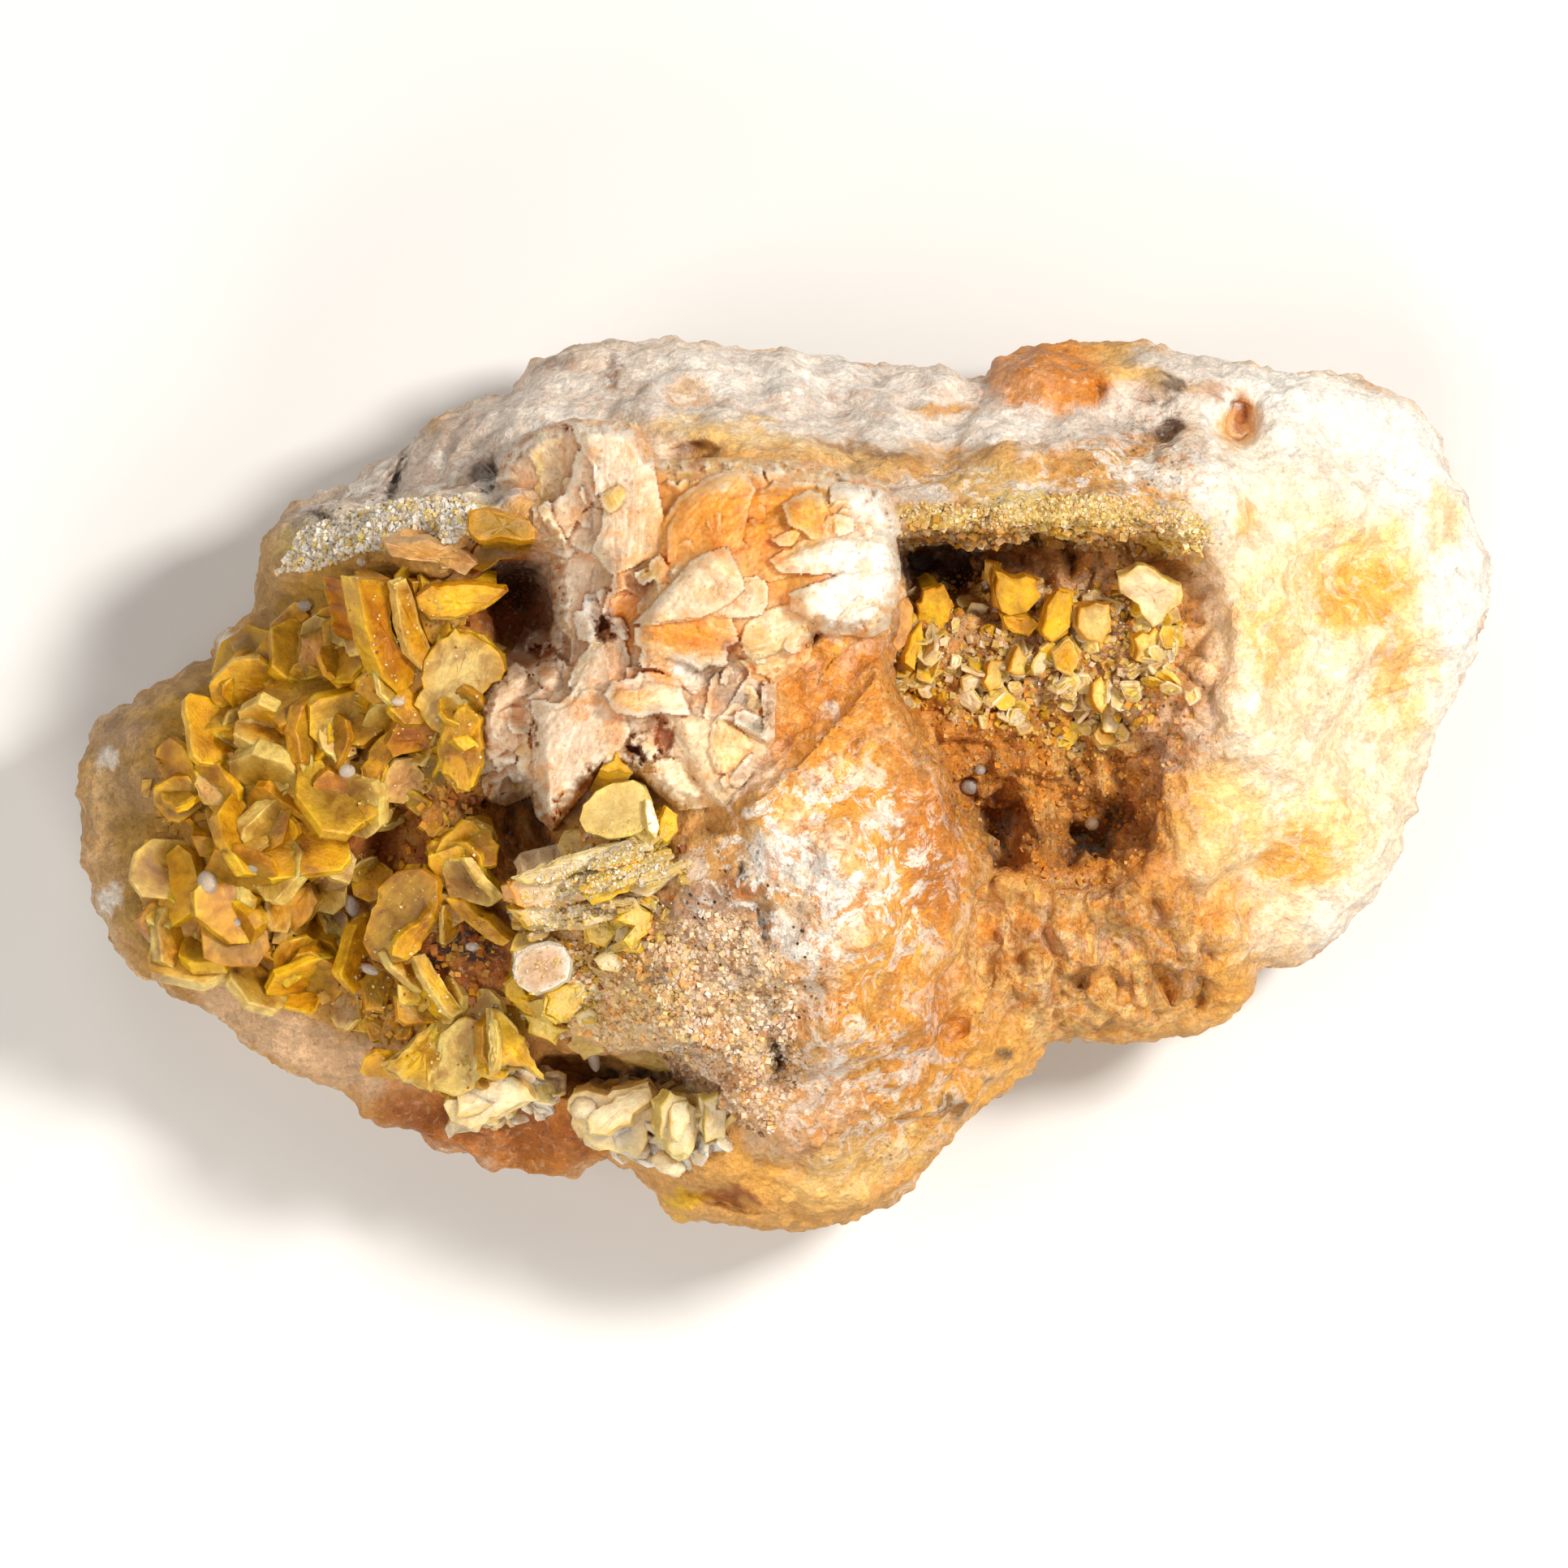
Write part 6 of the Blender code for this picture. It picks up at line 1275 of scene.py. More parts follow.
BARITE_DOMAIN = [
    (-13.0, 3.4), (-12.6, 4.6), (-11.9, 5.4), (-11.0, 6.8), (-9.9, 6.9), (-9.9, 9.2), (-10.0, 10.4),
    (-11.3, 11.4), (-12.3, 12.8), (-12.0, 13.8), (-11.0, 14.9), (-9.0, 15.6), (-6.2, 15.4), (-5.2, 13.8),
    (-3.6, 13.9), (1.0, 13.8), (2.6, 13.3), (4.5, 12.5), (5.0, 11.0), (5.0, 8.6), (4.5, 6.5), (3.8, 6.1),
    (1.4, 6.3), (1.2, 5.2), (0.4, 4.5), (-0.2, 4.2), (-0.3, 1.8), (-1.4, 0.2), (-2.4, -1.0), (-4.4, -1.2),
    (-5.6, -0.3), (-6.0, 0.2), (-7.8, 0.2), (-8.6, -0.7), (-9.8, -2.1), (-10.6, -1.4), (-10.8, -0.6),
    (-11.8, -1.0), (-12.7, -0.8), (-13.0, 0.6),
]
PLATES = [
    # upper blades
    Plate([(-12.1, 13.0), (-11.4, 14.3), (-9.8, 15.1), (-8.6, 15.3), (-7.8, 14.8), (-9.0, 12.8),
           (-9.6, 11.0), (-10.0, 10.6), (-10.8, 11.3), (-11.5, 12.0)],
          1.0, 205, 30, "rose", "mauve", 0.5, 0.5),
    Plate([(-11.4, 13.0), (-11.2, 14.0), (-10.6, 14.1), (-10.2, 13.2), (-10.6, 12.8)],
          1.35, 230, 20, "apricot", "peach", 1.2, 0.1),
    Plate([(-10.3, 12.8), (-10.1, 13.3), (-10.5, 14.2), (-10.2, 15.0), (-9.4, 15.1), (-8.9, 14.4),
           (-9.1, 13.5), (-9.3, 12.9), (-9.5, 12.4), (-9.9, 12.15), (-10.2, 12.4)],
          1.7, 250, 18, "cream", "straw", 0.7, 0.1),
    Plate([(-9.6, 12.0), (-9.1, 12.4), (-8.8, 13.0), (-8.6, 14.1), (-8.0, 14.0), (-7.8, 12.9), (-8.1, 12.2),
           (-8.0, 12.0), (-8.4, 11.5), (-8.8, 11.1), (-9.3, 11.05), (-9.55, 11.3)],
          2.0, 215, 22, "blush", "cream", 0.6, 0.1),
    Plate([(-8.55, 12.6), (-8.35, 12.5), (-8.2, 11.75), (-8.4, 11.8), (-8.6, 12.2)],
          2.25, 20, 14, "white", "white", 0.3),
    Plate([(-8.5, 15.1), (-7.6, 15.25), (-6.4, 15.1), (-5.8, 14.6), (-5.5, 13.9), (-5.35, 13.0),
           (-5.15, 12.0), (-5.0, 11.0), (-4.95, 10.2), (-4.85, 9.95), (-5.6, 9.6), (-6.3, 9.2),
           (-6.9, 9.05), (-7.6, 9.8), (-7.7, 10.0), (-7.3, 10.9), (-7.2, 11.5), (-7.3, 12.3), (-7.5, 13.0),
           (-7.9, 13.7), (-8.3, 14.3)], 2.9, 178, 10, "blush", "cream", 0.3, 0.12),
    Plate([(-8.0, 13.65), (-7.8, 13.5), (-7.5, 12.9), (-7.25, 12.35), (-7.5, 12.2), (-7.95, 12.15),
           (-8.0, 12.8)], 3.2, 30, 24, "white", "cream", 0.3),
    Plate([(-7.8, 12.05), (-7.1, 12.4), (-6.9, 12.3), (-6.75, 11.9), (-6.9, 11.6), (-7.3, 11.35),
           (-7.6, 11.6)], 3.3, 30, 16, "lemon", "straw", 0.6, 0.2),
    Plate([(-9.7, 10.4), (-9.5, 11.0), (-8.9, 11.0), (-8.1, 11.4), (-7.9, 10.8), (-8.2, 10.2), (-8.5, 10.0),
           (-9.4, 10.0)], 1.4, -60, 22, "mauve", "rose", 0.8, 0.1),
    Plate([(-8.1, 11.7), (-7.3, 11.5), (-7.3, 10.8), (-7.5, 10.1), (-7.75, 9.85), (-8.1, 10.2),
           (-8.0, 11.0)], 1.7, 200, 26, "rose", "mauve", 0.7, 0.1),
    Plate([(-9.75, 9.1), (-9.4, 9.15), (-9.5, 9.8), (-9.2, 9.95), (-8.3, 10.05), (-7.7, 9.8), (-7.2, 9.2),
           (-6.9, 9.0), (-7.1, 8.4), (-7.4, 7.8), (-7.6, 7.2), (-7.9, 7.0), (-7.8, 6.6), (-7.85, 5.9),
           (-8.2, 5.85), (-8.6, 6.0), (-9.1, 6.6), (-9.4, 7.2), (-9.6, 8.2), (-9.75, 8.8)],
          2.9, 165, 14, "blush", "cream", 0.4, 0.1),
    Plate([(-9.75, 9.1), (-9.6, 9.05), (-9.5, 8.6), (-9.15, 8.0), (-9.1, 7.2), (-9.3, 6.9), (-9.45, 7.4),
           (-9.65, 8.2)], 3.0, 190, 26, "cream", "white", 0.3),
    Plate([(-8.45, 7.8), (-7.9, 7.8), (-7.6, 7.2), (-8.0, 6.9), (-8.5, 7.3)],
          3.15, 60, 18, "white", "white", 1.0),
    Plate([(-8.8, 6.9), (-8.3, 7.0), (-7.9, 6.4), (-8.1, 5.9), (-8.6, 6.1)],
          3.1, 100, 12, "chalk", "white", 0.8),
    Plate([(-7.1, 8.95), (-6.3, 8.5), (-5.6, 7.7), (-6.1, 7.9), (-6.6, 8.2), (-7.2, 8.0), (-7.3, 8.4)],
          2.2, 30, 28, "peach", "tan", 0.4),
    Plate([(-7.4, 8.1), (-6.5, 8.2), (-5.9, 7.7), (-6.2, 7.2), (-6.5, 6.8), (-7.4, 6.9), (-7.7, 7.2)],
          1.7, -45, 36, "amber", "orange", 0.8),
    Plate([(-7.85, 7.0), (-7.2, 6.9), (-7.1, 6.3), (-7.7, 6.0)], 0.9, -60, 20, "rust", "brown", 0.8),
    Plate([(-6.9, 6.8), (-6.2, 7.2), (-5.9, 6.6), (-6.1, 5.4), (-6.4, 5.0), (-6.6, 6.0)],
          1.3, -20, 24, "orange", "rust", 0.8),
    Plate([(-6.3, 8.9), (-5.9, 9.05), (-5.3, 9.3), (-4.7, 9.65), (-4.72, 9.45), (-5.4, 9.0), (-6.1, 8.6),
           (-6.28, 8.65)], 2.8, -50, 16, "straw", "lemon", 0.3),
    Plate([(-5.5, 9.0), (-4.8, 9.3), (-4.6, 8.9), (-5.0, 8.3), (-5.3, 8.1), (-5.5, 8.5)],
          1.6, 150, 30, "tan", "mauve", 1.0),
    # the fan of plates
    Plate([(-5.5, 13.0), (-4.6, 13.45), (-3.7, 13.65), (-2.2, 13.55), (-1.0, 13.4), (0.0, 13.6),
           (1.0, 13.5), (2.3, 13.2), (2.0, 12.7), (0.5, 12.8), (-0.7, 12.9), (-1.8, 12.9), (-3.0, 12.8),
           (-4.0, 12.4), (-5.0, 12.2)], 1.0, 95, 20, "tan", "clay", 0.8),
    Plate([(-5.1, 12.9), (-4.0, 12.9), (-3.3, 12.6), (-4.0, 11.9), (-4.6, 11.2), (-4.9, 10.2),
           (-5.1, 11.0)], 1.2, 165, 20, "tan", "sienna", 0.8),
    Plate([(-4.9, 10.7), (-4.7, 11.2), (-4.1, 12.0), (-3.2, 12.6), (-2.4, 13.0), (-1.7, 13.1), (-1.2, 12.5),
           (-1.4, 11.6), (-1.6, 10.6), (-1.9, 9.8), (-3.0, 9.4), (-4.4, 9.0), (-4.9, 9.4)],
          1.9, 140, 14, "peach", "apricot", 0.8, 0.15),
    Plate([(-2.3, 13.2), (-1.4, 13.1), (-0.8, 13.0), (-0.7, 12.5), (-1.3, 12.2), (-1.8, 12.5),
           (-2.3, 12.8)], 2.15, 100, 12, "cream", "white", 1.0),
    Plate([(-0.8, 13.3), (-0.4, 13.2), (0.0, 12.7), (-0.6, 12.6)], 2.25, 60, 24, "white", "white", 0.6),
    Plate([(0.0, 13.4), (0.9, 13.4), (1.2, 12.8), (0.4, 12.6), (0.0, 12.9)],
          1.6, 80, 20, "ash", "chalk", 0.8, 0.1),
    Plate([(-2.9, 12.1), (-2.2, 12.5), (-1.6, 12.4), (-1.2, 12.1), (-0.6, 12.3), (0.0, 12.4), (0.35, 12.2),
           (0.3, 11.9), (-0.3, 11.7), (-0.8, 11.2), (-1.3, 10.9), (-1.7, 10.6), (-2.0, 10.2), (-2.5, 10.1),
           (-2.6, 11.0)], 2.2, 100, 10, "orange", "amber", 1.2, 0.1),
    Plate([(-1.7, 10.2), (-1.3, 10.9), (-0.4, 11.0), (0.2, 11.2), (0.1, 10.3), (-0.7, 9.9), (-1.5, 9.9)],
          2.25, 120, 14, "orange", "honey", 1.4, 0.1),
    Plate([(0.0, 11.6), (0.6, 11.9), (1.1, 12.1), (1.6, 12.0), (1.9, 11.5), (2.05, 10.9), (2.0, 10.4),
           (1.2, 10.2), (0.8, 10.6), (0.2, 10.9)], 2.35, 60, 10, "apricot", "straw", 0.5),
    Plate([(-0.5, 12.6), (1.0, 12.75), (2.0, 12.6), (2.9, 12.4), (2.9, 11.4), (2.1, 10.9), (1.9, 11.7),
           (1.5, 12.1), (0.8, 12.1), (0.3, 12.3)], 2.0, 70, 14, "peach", "cream", 0.8),
    Plate([(-0.6, 10.3), (0.6, 10.85), (0.8, 10.5), (0.4, 10.1), (-0.2, 9.9)],
          2.4, 90, 16, "cream", "cream", 1.4),
    Plate([(2.0, 12.3), (2.7, 12.45), (3.6, 12.4), (4.2, 12.2), (4.6, 11.5), (4.75, 10.7), (4.7, 10.3),
           (4.6, 9.8), (3.8, 9.8), (3.0, 10.2), (2.2, 10.4), (1.9, 11.0)],
          2.2, 30, 12, "white", "blush", 0.7, 0.1),
    Plate([(2.2, 11.3), (3.0, 11.2), (3.0, 10.6), (2.3, 10.4), (2.0, 10.7)],
          2.4, 200, 10, "peach", "cream", 0.9),
    Plate([(-0.4, 9.1), (0.2, 9.5), (1.0, 9.9), (2.0, 10.2), (3.2, 10.3), (4.2, 10.1), (4.65, 9.6),
           (4.85, 9.0), (3.4, 8.7), (2.0, 8.8), (0.9, 8.8), (0.0, 8.8)],
          2.35, 100, 14, "white", "cream", 0.6, 0.1),
    Plate([(-2.0, 9.8), (-1.3, 10.2), (-0.5, 10.0), (0.6, 9.9), (0.2, 9.4), (-0.2, 9.0), (0.6, 8.8),
           (-0.5, 8.5), (-1.7, 8.5), (-1.9, 9.2)], 2.1, 130, 16, "peach", "blush", 0.7, 0.1),
    Plate([(-0.8, 8.8), (0.5, 8.95), (1.7, 8.9), (2.4, 8.9), (1.6, 8.2), (0.4, 8.0), (0.0, 7.5),
           (-0.8, 7.5)], 1.4, -100, 20, "apricot", "orange", 0.8),
    Plate([(0.2, 8.0), (1.4, 8.4), (2.4, 8.8), (3.6, 8.9), (4.8, 9.0), (4.65, 8.4), (4.45, 7.6), (4.3, 6.8),
           (3.6, 6.5), (2.6, 6.5), (1.6, 6.6), (0.9, 7.2), (0.3, 7.5)],
          1.9, -40, 14, "white", "cream", 0.7, 0.1),
    Plate([(1.4, 7.6), (2.2, 8.0), (3.0, 7.6), (3.2, 6.8), (2.2, 6.6), (1.4, 6.9)],
          2.1, -100, 18, "cream", "straw", 0.9),
    Plate([(-5.95, 6.9), (-5.6, 7.2), (-5.0, 7.8), (-4.6, 8.3), (-3.9, 9.0), (-3.6, 9.4), (-3.0, 9.7),
           (-2.3, 9.95), (-2.1, 9.5), (-1.7, 8.7), (-1.6, 8.2), (-2.2, 7.6), (-2.9, 7.2), (-3.4, 7.0),
           (-4.4, 6.9), (-5.2, 6.8)], 2.8, 215, 9, "blush", "cream", 0.25),
    Plate([(-3.0, 7.15), (-2.5, 7.9), (-1.9, 8.4), (-1.2, 8.55), (-0.8, 8.6), (-0.6, 8.2), (-0.62, 7.6),
           (-0.9, 7.1), (-1.6, 7.0), (-2.4, 7.0)], 3.0, 165, 8, "blush", "cream", 0.2),
    Plate([(-6.05, 6.8), (-5.2, 7.0), (-4.2, 7.0), (-3.2, 7.2), (-2.2, 7.1), (-1.9, 6.3), (-2.4, 6.0),
           (-2.3, 5.4), (-3.4, 5.2), (-4.6, 5.6), (-5.6, 5.9), (-6.0, 6.2)],
          2.3, -105, 24, "apricot", "cream", 0.7, 0.15),
    Plate([(-1.8, 6.0), (-1.6, 6.7), (-1.0, 7.2), (-0.2, 7.5), (0.6, 7.65), (1.0, 7.3), (1.05, 6.9),
           (0.4, 6.3), (-0.2, 6.0), (-0.6, 5.75), (-1.4, 5.6)], 2.2, -70, 18, "cream", "straw", 0.4, 0.2),
    Plate([(-2.2, 7.2), (-1.2, 7.3), (-1.4, 6.5), (-1.8, 5.9), (-2.2, 6.3)],
          2.0, -60, 20, "apricot", "honey", 0.8),
    Plate([(-1.7, 5.5), (-0.6, 5.75), (0.3, 5.6), (0.9, 6.0), (1.1, 5.4), (0.5, 4.9), (-0.4, 4.5),
           (-1.2, 4.8), (-1.4, 5.2)], 1.1, -80, 22, "cream", "apricot", 0.9),
    # round the middle
    Plate([(-8.7, 4.1), (-8.5, 4.8), (-8.1, 5.4), (-7.7, 6.0), (-7.1, 6.35), (-6.7, 6.1), (-6.5, 5.5),
           (-6.45, 5.1), (-6.7, 4.5), (-6.8, 4.0), (-7.6, 3.8), (-8.4, 3.7)],
          2.7, 160, 14, "blush", "cream", 1.0, 0.1),
    Plate([(-7.3, 6.7), (-6.9, 6.65), (-6.6, 6.2), (-6.7, 6.0), (-7.0, 6.25), (-7.3, 6.4)],
          2.9, 80, 24, "white", "white", 0.4),
    Plate([(-6.15, 5.1), (-5.85, 5.95), (-5.4, 5.85), (-4.6, 5.5), (-3.8, 5.35), (-3.65, 4.9), (-3.65, 4.1),
           (-4.2, 4.1), (-5.0, 4.8), (-5.6, 5.1)], 2.2, -40, 18, "white", "chalk", 0.4),
    Plate([(-5.7, 5.75), (-5.2, 5.6), (-4.6, 5.1), (-4.1, 4.6), (-4.0, 4.2), (-4.6, 4.5), (-5.3, 5.0),
           (-5.75, 5.1)], 2.35, -50, 24, "tan", "mauve", 0.4),
    Plate([(-6.6, 4.9), (-5.6, 5.2), (-4.9, 4.7), (-4.8, 4.2), (-6.0, 4.1), (-6.6, 4.3)],
          1.6, -60, 20, "orange", "amber", 0.8),
    Plate([(-6.75, 4.7), (-6.3, 4.8), (-6.1, 4.2), (-6.7, 4.1)], 1.9, 0, 16, "mauve", "tan", 0.8),
    Plate([(-7.3, 3.4), (-6.9, 3.95), (-6.0, 4.05), (-5.9, 4.3), (-5.1, 4.25), (-4.3, 4.0), (-4.1, 3.4),
           (-3.9, 2.9), (-4.6, 2.9), (-5.2, 3.0), (-6.0, 2.75), (-6.6, 2.9), (-7.0, 2.9)],
          2.6, 100, 12, "cream", "blush", 0.5, 0.2),
    Plate([(-10.4, 3.3), (-9.9, 3.25), (-9.6, 3.1), (-9.2, 3.2), (-8.8, 3.5), (-8.5, 4.0), (-7.6, 4.0),
           (-7.2, 3.4), (-6.7, 3.0), (-6.5, 2.6), (-6.4, 2.2), (-6.8, 1.5), (-7.2, 1.2), (-7.6, 0.9),
           (-8.2, 0.3), (-8.8, -0.3), (-8.9, -0.9), (-9.3, -1.5), (-9.8, -1.9), (-10.0, -1.6),
           (-10.3, -1.2), (-10.3, -0.4), (-10.35, 0.8), (-10.3, 1.7), (-10.4, 2.0), (-10.2, 2.4),
           (-10.4, 2.9)], 3.5, 150, 10, "blush", "cream", 0.6, 0.15),
    Plate([(-9.7, 1.2), (-8.6, 1.3), (-7.5, 1.1), (-8.2, 0.2), (-8.9, -0.4), (-9.2, -1.2), (-9.8, -1.9),
           (-10.0, -0.8)], 3.35, -42, 30, "cream", "apricot", 0.6),
    Plate([(-8.7, 0.0), (-8.2, 0.4), (-7.9, 0.1), (-8.4, -0.6), (-8.9, -0.6)],
          2.4, -40, 26, "orange", "rust", 0.8),
    Plate([(-12.7, 3.2), (-12.5, 3.6), (-12.1, 4.2), (-11.4, 4.8), (-10.9, 4.6), (-10.6, 4.2), (-10.9, 3.7),
           (-11.4, 3.4), (-12.0, 3.0), (-12.4, 2.8)], 1.7, 120, 12, "rose", "mauve", 0.6, 0.4),
    Plate([(-12.6, 2.4), (-12.3, 2.9), (-11.6, 3.25), (-11.0, 3.25), (-10.8, 2.8), (-10.5, 2.3),
           (-10.8, 1.9), (-11.3, 1.5), (-11.8, 1.6), (-12.2, 1.9)],
          2.0, 200, 10, "rose", "blush", 0.6, 0.35),
    Plate([(-10.4, 4.6), (-10.0, 4.9), (-9.5, 4.75), (-9.2, 4.3), (-9.3, 3.9), (-9.8, 3.9), (-10.2, 4.1)],
          1.8, 100, 12, "rose", "mauve", 0.7, 0.3),
    Plate([(-10.9, 3.6), (-10.3, 4.1), (-9.6, 3.9), (-9.3, 3.5), (-9.6, 3.2), (-10.4, 3.4)],
          1.5, -60, 22, "mauve", "brown", 0.7, 0.2),
    Plate([(-11.7, 1.2), (-11.2, 1.5), (-10.8, 1.7), (-10.4, 1.8), (-10.2, 1.2), (-10.3, 0.6), (-10.7, 0.2),
           (-11.2, 0.2), (-11.6, 0.7)], 2.2, 200, 12, "blush", "white", 1.3, 0.25),
    Plate([(-12.75, 1.6), (-12.3, 1.8), (-11.9, 1.4), (-11.8, 0.6), (-12.0, -0.2), (-12.1, -0.85),
           (-12.4, -0.7), (-12.6, 0.4)], 1.5, 190, 20, "rose", "tan", 0.6, 0.3),
    Plate([(-11.55, 0.1), (-11.3, 0.25), (-10.8, 0.05), (-10.75, -0.4), (-11.3, -0.5), (-11.55, -0.2)],
          1.7, 100, 10, "straw", "sugar", 0.7, 0.3),
    Plate([(-11.9, 5.0), (-11.3, 6.0), (-10.4, 6.6), (-9.9, 6.4), (-10.2, 5.8), (-10.8, 5.2), (-11.4, 4.8)],
          1.0, 120, 16, "mauve", "rust", 0.7, 0.3),
    Plate([(-9.8, 6.1), (-8.8, 6.4), (-8.2, 6.0), (-8.6, 5.2), (-9.4, 5.0), (-9.8, 5.4)],
          0.9, 60, 16, "mauve", "brown", 0.8, 0.3),
    Plate([(-9.3, 5.1), (-8.6, 4.9), (-8.6, 3.9), (-9.2, 3.4), (-9.3, 4.4)],
          1.4, 140, 20, "tan", "mauve", 0.8, 0.2),
    Plate([(-4.6, 3.0), (-3.9, 3.0), (-3.4, 2.55), (-2.6, 2.65), (-2.0, 2.35), (-1.3, 1.95), (-0.85, 1.7),
           (-0.9, 1.2), (-1.3, 0.7), (-1.9, 0.3), (-2.2, -0.2), (-2.6, -0.6), (-3.1, -0.5), (-3.5, 0.1),
           (-3.9, 0.6), (-4.1, 1.4), (-4.5, 2.2)], 1.3, -40, 10, "blush", "cream", 0.4, 0.6),
    Plate([(-4.9, 3.1), (-4.2, 3.1), (-3.6, 2.4), (-3.3, 1.4), (-3.5, 0.6), (-4.0, 0.9), (-4.4, 1.6),
           (-4.8, 2.3)], 1.8, 200, 16, "cream", "blush", 0.4, 0.4),
    Plate([(-3.0, 2.6), (-2.2, 2.4), (-1.5, 1.6), (-2.0, 0.6), (-2.8, 0.4), (-3.2, 1.4)],
          1.6, 20, 12, "cream", "peach", 0.5, 0.4),
    Plate([(-5.65, 2.9), (-5.0, 2.95), (-4.6, 2.4), (-4.3, 1.6), (-4.2, 1.1), (-4.8, 1.2), (-5.3, 1.6),
           (-5.65, 2.2)], 1.4, 200, 20, "sienna", "rose", 0.8, 0.1),
    Plate([(-7.75, 0.5), (-7.5, 1.1), (-7.2, 1.35), (-6.9, 1.3), (-6.8, 1.0), (-6.4, 0.85), (-6.12, 0.42),
           (-6.6, 0.55), (-7.0, 0.75), (-7.3, 0.55)], 2.3, 60, 20, "lemon", "straw", 0.3),
    Plate([(-5.7, 0.8), (-5.2, 1.1), (-4.4, 1.0), (-4.0, 0.4), (-3.2, 0.0), (-2.7, -0.9), (-3.6, -1.1),
           (-4.6, -0.8), (-5.3, -0.2)], 1.3, -100, 14, "cream", "straw", 2.2, 0.3),
    Plate([(-6.0, 1.7), (-5.6, 1.9), (-5.4, 1.4), (-5.6, 0.9), (-5.9, 1.2)],
          1.8, 60, 16, "straw", "cream", 1.2, 0.1),
    Plate([(-2.05, 3.05), (-1.6, 3.15), (-1.0, 2.8), (-0.7, 2.2), (-0.95, 1.95), (-1.6, 2.35),
           (-2.05, 2.6)], 1.6, -30, 24, "slate", "white", 0.5),
    Plate([(-0.95, 4.1), (-0.5, 4.15), (-0.4, 3.0), (-0.75, 2.2), (-0.9, 3.0)],
          1.5, 30, 24, "ash", "mauve", 0.6),
    Plate([(-3.8, 5.1), (-2.3, 5.2), (-1.2, 4.9), (-0.9, 4.0), (-0.95, 3.2), (-2.1, 3.0), (-2.4, 2.5),
           (-3.4, 2.5), (-4.0, 3.0), (-3.7, 4.2)], 1.1, 100, 10, "mauve", "ash", 1.6, 0.2),
]
